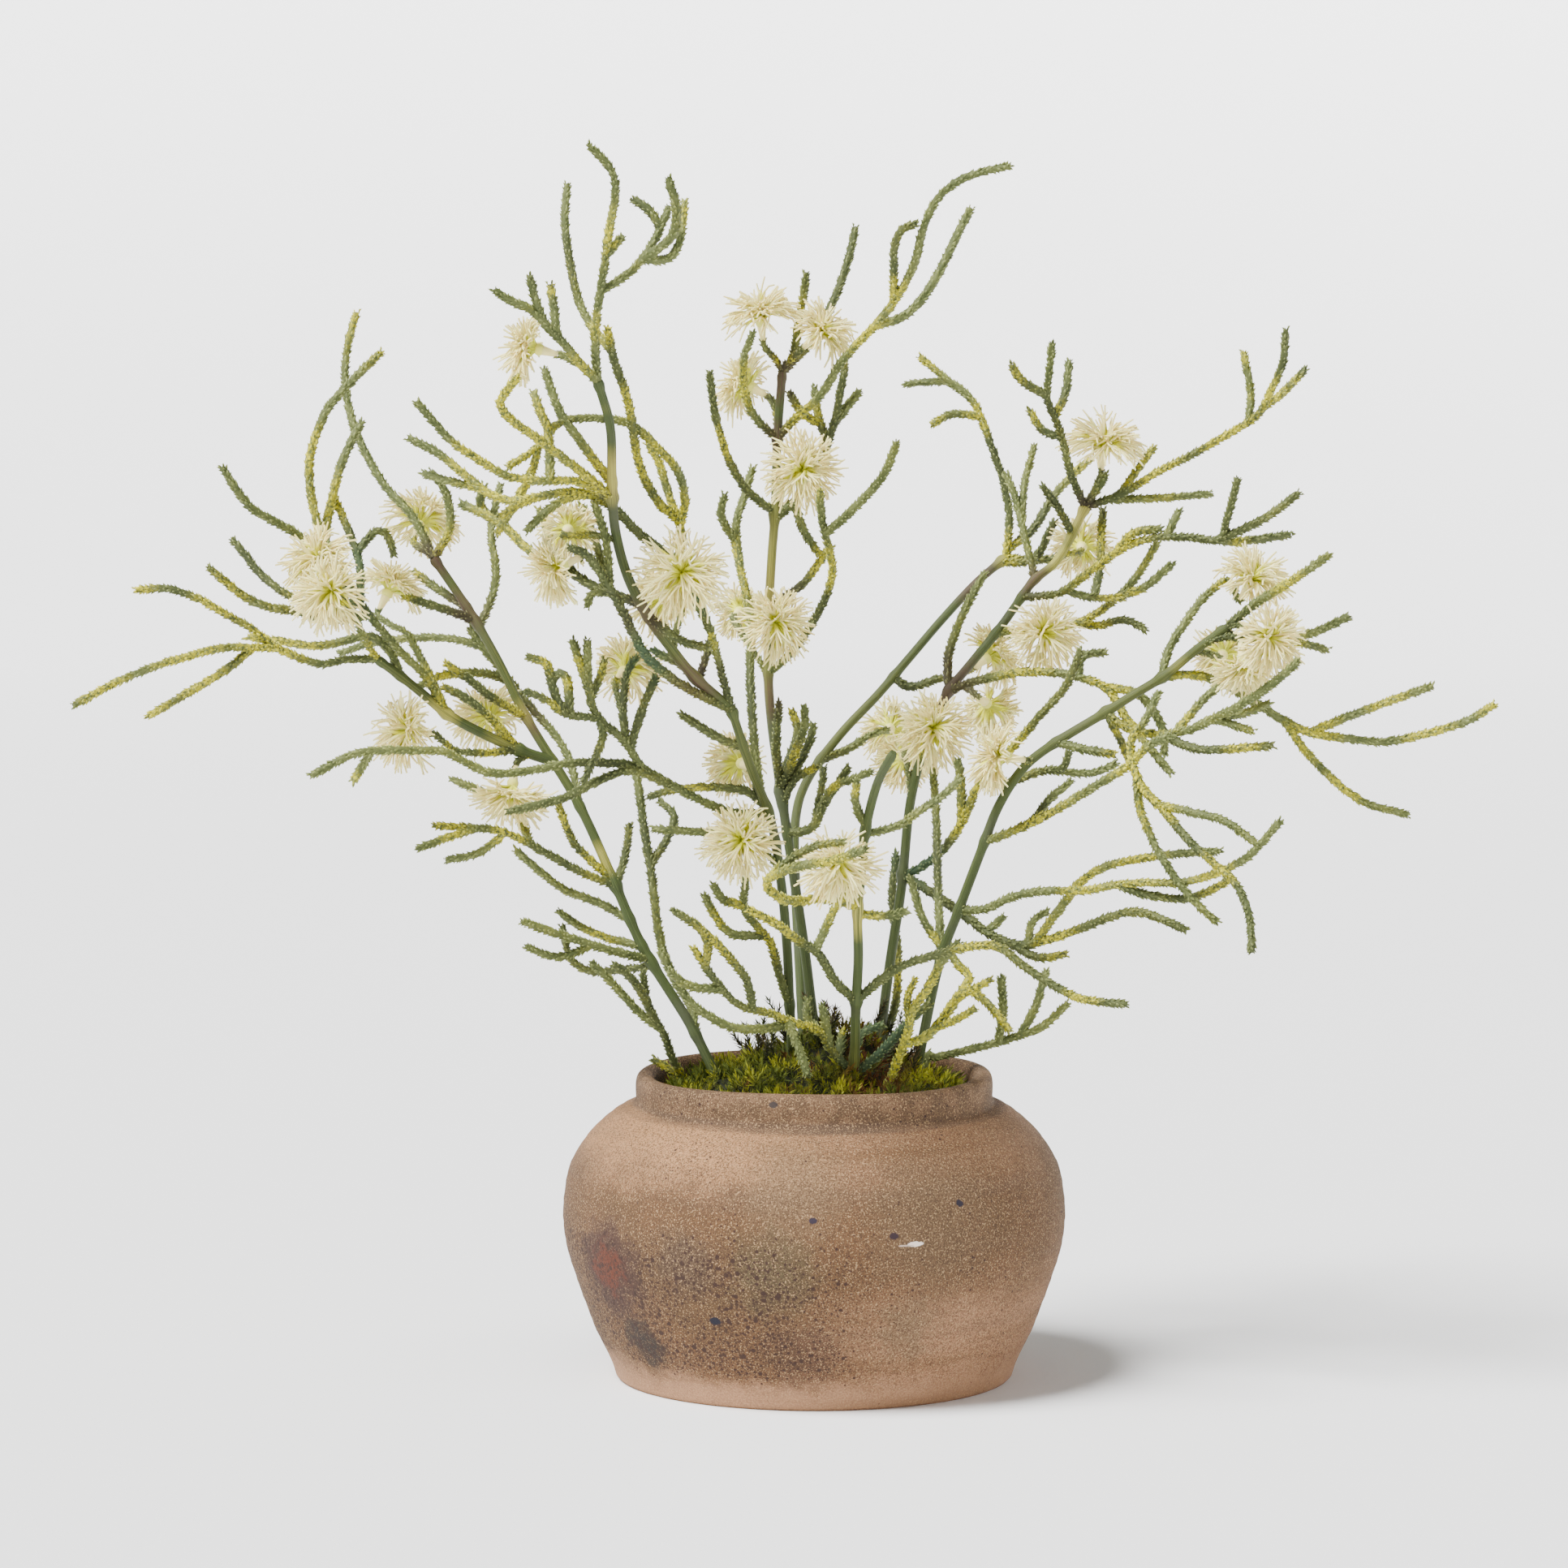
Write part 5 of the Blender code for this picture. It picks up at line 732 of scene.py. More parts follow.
def bend_clear(layout, blooms):
    """Moves runs and blooms in depth alone, for a set number of rounds, to take those of different stems clear of
    each other.
    """
    runs = [run for stem in layout.values() for run in stem]
    starts = np.cumsum([0] + [len(run.at) for run in runs])
    first_of = {id(run): start for run, start in zip(runs, starts)}
    samples = np.concatenate([run.at for run in runs])
    owners = np.concatenate([[run.stem] * len(run.at) for run in runs])
    radii = np.concatenate([run.each(SMOOTH_RADIUS, SCALY_RADIUS) for run in runs]) / SQUARE
    ease = np.concatenate([run.each(SMOOTH_EASE, 1.0) for run in runs])
    pairs = crossing_pairs(samples, radii, owners)
    laid = np.concatenate([run.depth for run in runs])
    shift = np.zeros_like(laid)
    for _ in range(CLEAR_ROUNDS):
        shift = shift + RUN_PUSH * push_apart(laid + shift, pairs, ease)
        points = np.column_stack([samples[:, 0], laid + shift, samples[:, 1]])
        for bloom in blooms:
            clear_bloom(bloom, points, shift, ease, first_of[id(bloom.root_run)])
        for left, right in itertools.combinations(blooms, 2):
            part_blooms(left, right)
        for run, start, end in zip(runs, starts, starts[1:]):
            piece = shift[start:end]
            if run.host is not None:
                piece[0] = shift[first_of[id(run.host)] + run.host_at]
            piece[1:-1] = 0.25 * piece[:-2] + 0.5 * piece[1:-1] + 0.25 * piece[2:]
            piece[-1] = piece[-2]
            if run.host is None:
                piece[0] = 0.0
        for run, start, end in zip(runs, starts, starts[1:]):
            run.depth = (laid + shift)[start:end]


def clear_bloom(bloom, points, shift, ease, first):
    """Takes runs off one bloom and off its stalk, and the bloom a little off the runs."""
    away = points - bloom.place()
    reach = HEAD_GUARD * bloom.radius + SCALY_RADIUS / SQUARE + CLEARING
    near = (np.linalg.norm(away, axis=1) < reach) & (away @ bloom.axis > -HEAD_BACK * bloom.radius)
    if near.any():
        flat = np.hypot(away[near, 0], away[near, 2])
        short = np.sqrt(reach ** 2 - flat ** 2) - np.abs(away[near, 1])
        side = np.where(away[near, 1] >= 0, 1.0, -1.0)
        shift[near] += HEAD_PUSH * side * short * ease[near]
        bloom.depth -= HEAD_GIVE * float(np.mean(side * short))
    stalk = bloom.stalk()
    root = first + bloom.root_at
    need = (STALK_RADIUS + SCALY_RADIUS) / SQUARE + CLEARING
    for place in stalk[1:]:
        gaps = points - place
        close = np.linalg.norm(gaps, axis=1) < need
        close[max(first, root - ROOT_FREE):root + ROOT_FREE + 1] = False
        if close.any() and np.linalg.norm(place - stalk[0]) > STALK_FREE:
            side = np.where(gaps[close, 1] >= 0, 1.0, -1.0)
            shift[close] += HEAD_PUSH * side * (need - np.abs(gaps[close, 1])) * ease[close]


def part_blooms(left, right):
    """Moves two blooms apart in depth where their heads would meet."""
    gap = left.place() - right.place()
    need = HEADS_GUARD * (left.radius + right.radius)
    if np.linalg.norm(gap) < need:
        short = math.sqrt(need ** 2 - math.hypot(gap[0], gap[2]) ** 2) - abs(gap[1])
        push = HEADS_PUSH * (1.0 if gap[1] >= 0 else -1.0) * short
        left.depth += push
        right.depth -= push


def from_front(across, depth, up):
    """Point in metres that shows at (across, up) squares from the front, at a depth in squares."""
    reach = 1.0 + depth * SQUARE / VIEW_DISTANCE
    x = EYE_ACROSS + (across * SQUARE + LAYOUT_ACROSS - EYE_ACROSS) * reach
    z = EYE_HEIGHT + (up * SQUARE + LAYOUT_FOOT - EYE_HEIGHT) * reach
    return Vector((x, depth * SQUARE, z))


def as_seen(places):
    """Squares across and up, seen from the front, of places in metres."""
    reach = 1.0 + places[:, 1] / VIEW_DISTANCE
    across = (EYE_ACROSS + (places[:, 0] - EYE_ACROSS) / reach - LAYOUT_ACROSS) / SQUARE
    up = (EYE_HEIGHT + (places[:, 2] - EYE_HEIGHT) / reach - LAYOUT_FOOT) / SQUARE
    return np.column_stack([across, up])


def moss_height(x, y):
    """Height of the moss before its tufts: low at the lip, mounded towards the back right."""
    spread = math.hypot(x, y) / MOSS_RADIUS
    off = math.hypot(x - MOSS_BACK_PLACE[0], y - MOSS_BACK_PLACE[1])
    back = MOSS_BACK_MOUND * math.exp(-(off / MOSS_BACK_REACH) ** 2)
    roll = MOSS_ROLL * math.sin(x * MOSS_ROLL_TURNS[0] + 1.0) * math.cos(y * MOSS_ROLL_TURNS[1])
    return MOSS_EDGE_HEIGHT + MOSS_MOUND * (1.0 - spread ** 2) + (back + roll) * (1.0 - spread ** 4)


def colour(name, description, *default):
    return bpy.props.FloatVectorProperty(name=name, description=description, subtype="COLOR", size=3,
                                         min=0.0, max=1.0, default=default)


def length(name, description, default, low, high):
    return bpy.props.FloatProperty(name=name, description=description, default=default, min=low, max=high,
                                   unit="LENGTH", subtype="DISTANCE")


def amount(name, description, default, low, high):
    return bpy.props.FloatProperty(name=name, description=description, default=default, min=low, max=high)


def count(name, description, default, low, high):
    return bpy.props.IntProperty(name=name, description=description, default=default, min=low, max=high)


class ArrangementJarSettings(bpy.types.PropertyGroup):
    clay: colour("Clay", "Main colour of the unglazed stoneware", 0.140, 0.069, 0.030)
    # Blush: paler clay of the foot and the right side, and painted highlight on the shoulder where the top light
    # falls.
    blush_and_shoulder_light: colour("Blush", "Paler, pinker clay on the shoulder, the foot and the right side", 0.325, 0.170, 0.088)
    speckle: colour("Speckle", "Colour of the iron speckles", 0.038, 0.020, 0.015)
    sides: count("Sides", "Facets round the turned jar", 144, 32, 256)
    wheel_mark: length("Wheel marks", "Depth of the throwing marks", 0.00022, 0.0, 0.001)


class ArrangementMossSettings(bpy.types.PropertyGroup):
    # The root colour is partly the moss's own darker base and partly painted shade deep among the sprigs.
    root: colour("Root", "Dark colour deep in the moss", 0.010, 0.012, 0.003)
    tip: colour("Tip", "Yellow-green of the sprig ends", 0.33, 0.33, 0.022)
    density: amount("Density", "Sprigs to a square metre", 112000.0, 1000.0, 300000.0)
    sprig: length("Sprig", "Length of one moss sprig", 0.0105, 0.002, 0.02)


class ArrangementTwigSettings(bpy.types.PropertyGroup):
    green: colour("Green", "Sage green of the scaly twigs", 0.198, 0.228, 0.069)
    yellow: colour("Yellow", "Yellow tinge near forks and tips", 0.68, 0.62, 0.025)
    core: length("Core", "Radius of a twig under its scales", 0.00195, 0.0005, 0.004)
    scale_step: length("Scale step", "Length of twig to each scale", 0.00040, 0.0001, 0.002)
    scale_size: length("Scale size", "Length of one scale", 0.00185, 0.0005, 0.005)


class ArrangementStemSettings(bpy.types.PropertyGroup):
    green: colour("Green", "Green of the smooth jointed stems", 0.030, 0.046, 0.011)
    joint: colour("Joint", "Purple-brown tinge at the joints", 0.080, 0.036, 0.032)
    ribs: count("Ribs", "Lengthwise ribs round a stem", 11, 3, 24)
    rib_depth: amount("Rib depth", "Depth of the ribs as a share of the radius", 0.05, 0.0, 0.3)


class ArrangementBloomSettings(bpy.types.PropertyGroup):
    cream: colour("Cream", "Ivory of the thread petals", 0.99, 0.89, 0.40)
    centre: colour("Centre", "Yellow-green at the roots of the petals", 0.80, 0.78, 0.045)
    petals: count("Petals", "Thread petals of one bloom, each of them forked in three", 74, 10, 160)
    thickness: length("Thickness", "Radius of one thread", 0.00067, 0.0001, 0.001)
    fullness: amount("Fullness", "Reach of the threads as a share of the head's radius", 1.05, 0.8, 1.2)
    spread: amount("Spread", "Lean of the outermost threads over the innermost, in radians", 1.24, 0.2, 1.6)
    openness: amount("Openness", "Lean of the innermost threads in radians", 0.18, 0.0, 0.6)


class ArrangementStageSettings(bpy.types.PropertyGroup):
    paper: colour("Paper", "Pale grey of the floor and backdrop", 0.9, 0.9, 0.9)
    key: amount("Key", "Strength of the soft light from the upper left", 9.2, 0.0, 50.0)
    fill: amount("Fill", "Strength of the even light all round", 0.24, 0.0, 5.0)
    lens: amount("Lens", "Focal length of the camera in millimetres", 151.3, 20.0, 400.0)


def reckoned(operation, turned=False):
    """A way to work out a wire with another wire, a number or a vector."""
    def work_out(self, other):
        if self.socket.type not in ("VECTOR", "RGBA"):
            return self.net.math(operation, *((other, self) if turned else (self, other)))
        if operation == "MULTIPLY":
            return self.net.out("ShaderNodeVectorMath", {0: self, "Scale": other}, operation="SCALE")
        return self.net.vector(operation, self, other)
    return work_out


class Wire:
    """A node's output. Sums, products and powers of it add the nodes that work them out."""

    __add__ = reckoned("ADD")
    __sub__ = reckoned("SUBTRACT")
    __rsub__ = reckoned("SUBTRACT", turned=True)
    __mul__ = reckoned("MULTIPLY")
    __truediv__ = reckoned("DIVIDE")
    __pow__ = reckoned("POWER")

    def __init__(self, net, socket):
        self.net, self.socket = net, socket

    def of(self, operation, other=0.0):
        return self.net.math(operation, self, other)

    def step(self, low, high):
        """Nought below low, one above high, smooth between."""
        return self.net.out("ShaderNodeMapRange", {"Value": self, "From Min": low, "From Max": high},
                            interpolation_type="SMOOTHSTEP")


class Network:
    """Adds nodes to a tree, with each input given as a value or as a wire."""

    def __init__(self, tree):
        self.tree = tree

    def add(self, kind, inputs=None, **settings):
        node = self.tree.nodes.new(kind)
        for name, value in settings.items():
            setattr(node, name, value)
        for name, value in (inputs or {}).items():
            self.feed(node.inputs[name], value)
        return node

    def out(self, kind, inputs=None, output=0, **settings):
        return Wire(self, self.add(kind, inputs, **settings).outputs[output])

    def feed(self, socket, value):
        if isinstance(value, Wire):
            self.tree.links.new(value.socket, socket)
        else:
            socket.default_value = value

    def math(self, operation, first, second=0.0):
        return self.out("ShaderNodeMath", {0: first, 1: second}, operation=operation)

    def vector(self, operation, first, second=(0.0, 0.0, 0.0)):
        output = "Value" if operation in ("LENGTH", "DISTANCE") else "Vector"
        return self.out("ShaderNodeVectorMath", {0: first, 1: second}, output, operation=operation)

    def combine(self, x, y, z):
        return self.out("ShaderNodeCombineXYZ", {"X": x, "Y": y, "Z": z})


class ShapeNetwork(Network):
    """A geometry node tree with named inputs, given as labels to each kind of socket."""

    def __init__(self, name, **sizes):
        tree = bpy.data.node_groups.new(name, "GeometryNodeTree")
        super().__init__(tree)
        tree.interface.new_socket("Geometry", in_out="OUTPUT", socket_type="NodeSocketGeometry")
        self.identifiers = {}
        for kind, labels in {"Geometry": ("Geometry",), **sizes}.items():
            for label in labels:
                socket = tree.interface.new_socket(label, in_out="INPUT", socket_type=f"NodeSocket{kind}")
                self.identifiers[label] = socket.identifier
        given = tree.nodes.new("NodeGroupInput").outputs
        self.given = {label: Wire(self, given[label]) for label in self.identifiers}
        self.which = self.out("GeometryNodeInputIndex")

    def attribute(self, name):
        return self.out("GeometryNodeInputNamedAttribute", {"Name": name}, "Attribute", data_type="FLOAT")

    def store(self, geometry, **values):
        for name, value in values.items():
            geometry = self.out("GeometryNodeStoreNamedAttribute",
                                {"Geometry": geometry, "Name": name, "Value": value},
                                data_type="FLOAT", domain="POINT")
        return geometry

    def random(self, low, high, seed, which=None):
        """A number between low and high for each point, or for each value of which."""
        inputs = {"Min": low, "Max": high, "Seed": self.given["Seed"] + seed}
        if which is not None:
            inputs["ID"] = which
        return self.out("FunctionNodeRandomValue", inputs, 1, data_type="FLOAT")

    def spin(self, rotation, angle):
        """The rotation turned about its own upright."""
        turn = self.out("FunctionNodeAxisAngleToRotation", {"Axis": (0.0, 0.0, 1.0), "Angle": angle})
        return self.out("FunctionNodeRotateRotation", {"Rotation": rotation, "Rotate By": turn},
                        rotation_space="LOCAL")

    def moved(self, geometry, **where):
        return self.out("GeometryNodeSetPosition", {"Geometry": geometry, **where})

    def ring(self, sides):
        return self.out("GeometryNodeCurvePrimitiveCircle", {"Resolution": sides, "Radius": 1.0})

    def tube(self, lines, ring, thick):
        return self.out("GeometryNodeCurveToMesh",
                        {"Curve": lines, "Profile Curve": ring, "Scale": thick, "Fill Caps": True})

    def strew(self, points, thing, rotation, scale):
        return self.out("GeometryNodeInstanceOnPoints", {"Points": points, "Instance": thing,
                                                         "Rotation": rotation, "Scale": scale})

    def join(self, *pieces):
        joined = self.add("GeometryNodeJoinGeometry")
        for piece in pieces:
            self.feed(joined.inputs[0], piece)
        return Wire(self, joined.outputs[0])

    def finish(self, geometry, material):
        """Ends the tree: real mesh, smooth, with its material."""
        real = self.out("GeometryNodeRealizeInstances", {"Geometry": geometry})
        smooth = self.out("GeometryNodeSetShadeSmooth", {"Geometry": real})
        dressed = self.out("GeometryNodeSetMaterial", {"Geometry": smooth, "Material": material})
        self.feed(self.tree.nodes.new("NodeGroupOutput").inputs[0], dressed)
        return self


def add_object(name, data):
    thing = bpy.data.objects.new(name, data)
    bpy.context.scene.collection.objects.link(thing)
    return thing


def grow(name, start, network, **sizes):
    """Runs a geometry node tree on a mesh and gives back a plain object with the result."""
    thing = add_object(name, start)
    grown = thing.modifiers.new("grow", "NODES")
    grown.node_group = network.tree
    for label, value in sizes.items():
        grown[network.identifiers[label.replace("_", " ")]] = value
    bpy.context.view_layer.update()
    mesh = bpy.data.meshes.new_from_object(thing.evaluated_get(bpy.context.evaluated_depsgraph_get()))
    thing.modifiers.clear()
    thing.data = mesh
    mesh.name = name
    if not mesh.polygons:
        raise RuntimeError(f"{name} came out empty")
    return thing


def declare(piece, slot, *nodes):
    """A piece that stands on the root body in place of the named solids."""
    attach(piece, "root")
    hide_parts(*nodes)


class Finish(Network):
    """A surface finish: its nodes, its Object coordinates and its shader."""

    def __init__(self, name, roughness, **levels):
        self.material = bpy.data.materials.new(name)
        self.material.use_nodes = True
        super().__init__(self.material.node_tree)
        self.sockets = self.tree.nodes["Principled BSDF"].inputs
        self.feed(self.sockets["Roughness"], roughness)
        for label, value in levels.items():
            self.feed(self.sockets[SHADER_LEVELS[label]], value)
        self.place = self.out("ShaderNodeTexCoord", output="Object")
        self.aside = self.place + NOISE_ASIDE

    def axis(self, letter):
        return self.out("ShaderNodeSeparateXYZ", {0: self.place}, letter)

    def noise(self, scale, detail=2.0, roughness=0.5, vector=None, output=0):
        return self.out("ShaderNodeTexNoise", {"Vector": vector or self.aside, "Scale": scale, "Detail": detail,
                                               "Roughness": roughness}, output)

    def cells(self, scale):
        return self.out("ShaderNodeTexVoronoi", {"Vector": self.place, "Scale": scale})

    def attribute(self, name):
        return self.out("ShaderNodeAttribute", output="Fac", attribute_name=name)

    def mix(self, amount, first, second, blend="MIX"):
        node = self.add("ShaderNodeMix", {"Factor": amount}, data_type="RGBA", blend_type=blend)
        colours = [socket for socket in node.inputs if socket.type == "RGBA"]
        for socket, value in zip(colours, (first, second)):
            self.feed(socket, value if isinstance(value, Wire) else (*value, 1.0))
        return Wire(self, next(socket for socket in node.outputs if socket.type == "RGBA"))

    def lay(self, tone, amount=None):
        """Lays a colour over the last, whole or by an amount."""
        self.base = tone if amount is None else self.mix(amount, self.base, tone)
        self.feed(self.sockets["Base Color"], self.base)

    def bump(self, height, depth, strength):
        self.feed(self.sockets["Normal"], self.out(
            "ShaderNodeBump", {"Height": height, "Distance": depth, "Strength": strength}))


def stoneware_finish(settings):
    """Matt gritty unglazed clay: wheel-banded, speckled and patchy."""
    clay = Finish("speckled brown stoneware", 0.88, specular=0.25)
    across, height = clay.axis("X"), clay.axis("Z")
    cloud = clay.noise(16.0, 4.0, 0.6)
    bands = clay.out("ShaderNodeMapping", {"Vector": clay.aside, "Scale": (5.0, 5.0, 60.0)})
    streak = clay.noise(1.0, 3.0, 0.6, bands)
    grit, coarse = clay.noise(1150.0, 3.0, 0.75), clay.noise(430.0, 3.0, 0.7)
    clay.lay(clay.mix(cloud.step(0.35, 0.7), settings.clay, UMBER_CLAY))
    # Paler clay on the foot and the right side, and painted highlight on the upward-facing shoulder where the top
    # light falls, all in streaks.
    wander = height + (clay.noise(38.0, 4.0, 0.65) - 0.5) * 0.030
    shoulder = wander.step(0.100, 0.124) * height.step(0.1368, 0.1335)
    foot = wander.step(0.020, 0.006)
    right = across.step(-0.03, 0.06) * wander.step(0.072, 0.040)
    pale = (shoulder * 0.45).of("MAXIMUM", foot.of("MAXIMUM", right))
    clay.lay(settings.blush_and_shoulder_light, pale * streak.step(0.24, 0.58))
    # Painted highlight: a warm pale tone on the left of the shoulder, where the key light from the upper left
    # falls.
    clay.lay(LEFT_SHOULDER_LIGHT, shoulder * across.step(0.05, -0.07) * 0.62)
    clay.lay(STREAK_CLAY, streak.step(0.48, 0.72) * 0.45)
    # The neck, patchy, with painted shade as a dark line in the groove where it meets the shoulder.
    clay.lay(clay.mix(clay.noise(60.0, 4.0, 0.65).step(0.36, 0.6), *NECK_CLAYS), height.step(0.1335, 0.1360))
    groove = height.step(0.1318, 0.1335) * height.step(0.1380, 0.1362)
    clay.lay(GROOVE_SHADE, groove * streak.step(0.35, 0.6))
    # Patches with ragged edges, then grit over all but the first of them.
    warp = (clay.noise(90.0, 5.0, 0.7, output="Color") - (0.5, 0.5, 0.5)) * 0.040
    strewn = clay.place + warp
    patches = []
    for centre, size, tone, strength in JAR_PATCHES:
        near = clay.vector("DISTANCE", strewn, centre).step(size * 1.25, size * 0.2)
        near = near * ((near + coarse * 0.9).step(0.62, 1.0) * 0.75 + 0.25)
        clay.lay(tone, near * strength)
        patches.append((tone, near * 0.7))
    clay.lay(DARK_GRIT, grit.step(0.48, 0.54) * 0.72)
    clay.lay(PALE_GRIT, clay.noise(1250.0, 2.0, 0.6).step(0.44, 0.36) * 0.75)
    for tone, near in patches[:PATCHES_OVER_GRIT]:
        clay.lay(tone, near)
    clay.lay(FOOT_CLAY, foot * 0.45)
    # Iron speckles, thick at the lower left and thin elsewhere, and the small marks.
    lower_left = across.step(0.060, -0.02) * height.step(0.100, 0.072)
    gather = (clay.noise(24.0, 3.0, 0.6).step(0.42, 0.62) * 0.45).of(
        "MAXIMUM", lower_left * clay.noise(34.0, 3.0, 0.6).step(0.28, 0.50)) * height.step(0.008, 0.022)
    for scale, reach, strength in SPECKLES:
        size = gather * reach + 0.06
        clay.lay(settings.speckle, clay.cells(scale).step(size, size * 0.7) * strength)
    ragged = clay.place + warp * 0.10
    for centre, size, tone, strength in JAR_SPOTS:
        away = clay.vector("LENGTH", clay.vector("DIVIDE", ragged - centre, size))
        clay.lay(tone, away.step(1.0, 0.75) * strength)
    clay.feed(clay.sockets["Roughness"], cloud * 0.15 + 0.76)
    clay.bump(clay.noise(420.0, 4.0, 0.7) + streak * 0.8 + grit * 0.5, 0.0010, 0.9)
    return clay.material


def foam_finish():
    """Dark open planting foam."""
    foam = Finish("dark planting foam", 0.95)
    pores = foam.cells(700.0)
    foam.lay(foam.mix(pores.step(0.1, 0.5), (0.03, 0.022, 0.018), (0.10, 0.075, 0.055)))
    foam.bump(pores, 0.0008, 0.6)
    return foam.material


def moss_finish(settings):
    """Preserved moss: dark at the root, partly its own colour and partly painted shade deep among the sprigs;
    olive to yellow-green at the tips, browned in places.
    """
    moss = Finish("preserved moss", 0.8, specular=0.3)
    shade, across = moss.attribute("shade"), moss.axis("X")
    olive, deep_green, russet = (0.110, 0.135, 0.014), (0.045, 0.075, 0.010), (0.130, 0.042, 0.012)
    tip = moss.mix(moss.noise(48.0).step(0.38, 0.62), olive, settings.tip)
    tip = moss.mix(shade.step(0.5, 0.95) * 0.8, tip, deep_green)
    dry_strip = across.step(0.005, 0.022) * across.step(0.052, 0.036)
    brown = moss.noise(75.0).step(0.58, 0.66).of("MAXIMUM", dry_strip) * shade.step(0.30, 0.5)
    tip = moss.mix(brown * 0.9, tip, russet)
    # Root to tip: the near-black root is partly painted shade deep among the sprigs.
    moss.lay(moss.mix(moss.attribute("along").step(0.05, 0.85), settings.root, tip))
    return moss.material


def dry_sprig_finish():
    """Dark green to brown sprigs among the moss."""
    dry = Finish("dark moss sprigs", 0.7)
    tip = dry.mix(dry.noise(60.0).step(0.42, 0.58), (0.110, 0.150, 0.025), (0.130, 0.070, 0.020))
    dry.lay(dry.mix(dry.attribute("along").step(0.2, 1.0), (0.030, 0.034, 0.010), tip))
    return dry.material


def twig_finish(settings):
    """Flocked scaly green with yellow, dark, bluish and purple tinges, a painted highlight on the scale tips and
    painted shade at the scale roots and on the core.
    """
    twig = Finish("scaly twig green", 0.62, specular=0.25)
    edge = twig.attribute("edge")
    deep_green, scale_tip_highlight, shadow = (0.116, 0.143, 0.041), (0.60, 0.62, 0.24), (0.42, 0.42, 0.42)
    twig.lay(twig.mix(twig.noise(120.0, 3.0, 0.6).step(0.35, 0.65), deep_green, settings.green))
    for tint, strength, tone in TWIG_TINTS:
        twig.lay(tone, twig.attribute(tint) * strength)
    twig.lay(settings.yellow, twig.attribute("yellow") * twig.noise(620.0, 3.0, 0.65).step(0.38, 0.60))
    # Painted highlight on the outer ends of the scales.
    twig.lay(twig.mix(0.5, twig.base, scale_tip_highlight), edge.step(0.30, 1.0) * 0.6)
    # Painted shade at the roots of the scales and on the core beneath them.
    twig.lay(twig.mix(1.0, twig.base, shadow, "MULTIPLY"), edge.step(0.20, 0.0))
    twig.bump(twig.noise(1500.0, 3.0, 0.6), 0.0004, 0.6)
    return twig.material


def stem_finish(settings):
    """Smooth ribbed green with darker fibres, tinged purple-brown and yellow at the joints."""
    stem = Finish("smooth jointed stem", 0.6, specular=0.28)
    along_fibre = stem.combine(stem.attribute("around") * 60.0, stem.attribute("run") * 14.0, 0.0)
    fibre = stem.noise(1.0, 3.0, 0.6, along_fibre)
    pale_fibre, grey_green, yellow = (0.074, 0.097, 0.025), (0.055, 0.066, 0.030), (0.40, 0.37, 0.07)
    stem.lay(stem.mix(fibre.step(0.35, 0.68), settings.green, pale_fibre))
    stem.lay(grey_green, stem.noise(30.0).step(0.5, 0.7))
    stem.lay(settings.joint, stem.attribute("purple") * fibre.step(0.7, 0.35))
    stem.lay(yellow, stem.attribute("yellow") * fibre.step(0.3, 0.6))
    stem.bump(fibre, 0.0004, 0.5)
    return stem.material


def petal_finish(settings):
    """Ivory threads, yellow-green at their roots."""
    petal = Finish("cream thread petals", 0.6, specular=0.3, inner_glow=0.1, glow_depth=0.003)
    shade = petal.attribute("shade")
    reach = petal.attribute("along") + (shade - 0.5) * 0.36
    root, butter, straw = (0.62, 0.62, 0.07), (0.90, 0.84, 0.34), (0.92, 0.78, 0.30)
    petal.lay(petal.mix(reach.step(0.05, 0.20), root, settings.centre))
    petal.lay(butter, reach.step(0.28, 0.52))
    petal.lay(petal.mix(shade.step(0.45, 0.95), settings.cream, straw), reach.step(0.38, 0.68))
    return petal.material


def paper_finish(settings):
    """Pale paper, lit from within where it curves up so that no horizon shows."""
    paper = Finish("pale grey paper", 0.9, specular=0.0, own_light=(1.0, 1.0, 1.0, 1.0))
    paper.feed(paper.sockets["Base Color"], (*settings.paper, 1.0))
    paper.feed(paper.sockets["Emission Strength"], paper.axis("Z").step(0.0, 1.1) * 1.7)
    return paper.material


def twig_network(material):
    """Scaly twig: a knobbly core along each line, with scales set round it in a close spiral."""
    net = ShapeNetwork("scaly twig", Float=("Core", "Scale step", "Scale size"), Object=("Scale leaf",),
                       Int=("Seed",))
    given = net.given
    lines = net.out("GeometryNodeMeshToCurve", {"Mesh": given["Geometry"]})
    thick = net.attribute("thick") * given["Core"]
    lump = net.out("ShaderNodeTexNoise", {"Scale": 900.0, "Detail": 1.0})
    push = net.out("GeometryNodeInputNormal") * ((lump - 0.5) * (given["Core"] * 0.9))
    core = net.moved(net.tube(lines, net.ring(TWIG_SIDES), thick), Offset=push)
    # The core's low edge value gives it the painted shade of the scales' roots.
    core = net.store(core, edge=0.08)
    # A scale every step, turned on from the last, seated on the core and pointing along the twig.
    points = net.add("GeometryNodeCurveToPoints", {"Curve": lines, "Length": given["Scale step"]}, mode="LENGTH")
    turned = net.spin(Wire(net, points.outputs["Rotation"]), net.which * GOLDEN_TURN + net.random(*SCALE_TURNS, 0))
    size = net.random(*SCALE_SIZES, 7) * given["Scale size"]
    long = size * net.random(*SCALE_LENGTHS, 9)
    leaf = net.out("GeometryNodeObjectInfo", {"Object": given["Scale leaf"]}, "Geometry")
    lift = net.combine(thick * SCALE_SEAT, 0.0, 0.0)
    away = net.out("FunctionNodeRotateVector", {"Vector": lift, "Rotation": turned})
    seats = net.moved(Wire(net, points.outputs["Points"]), Offset=away)
    scales = net.strew(seats, leaf, turned, net.combine(size, size, long))
    return net.finish(net.join(scales, core), material)


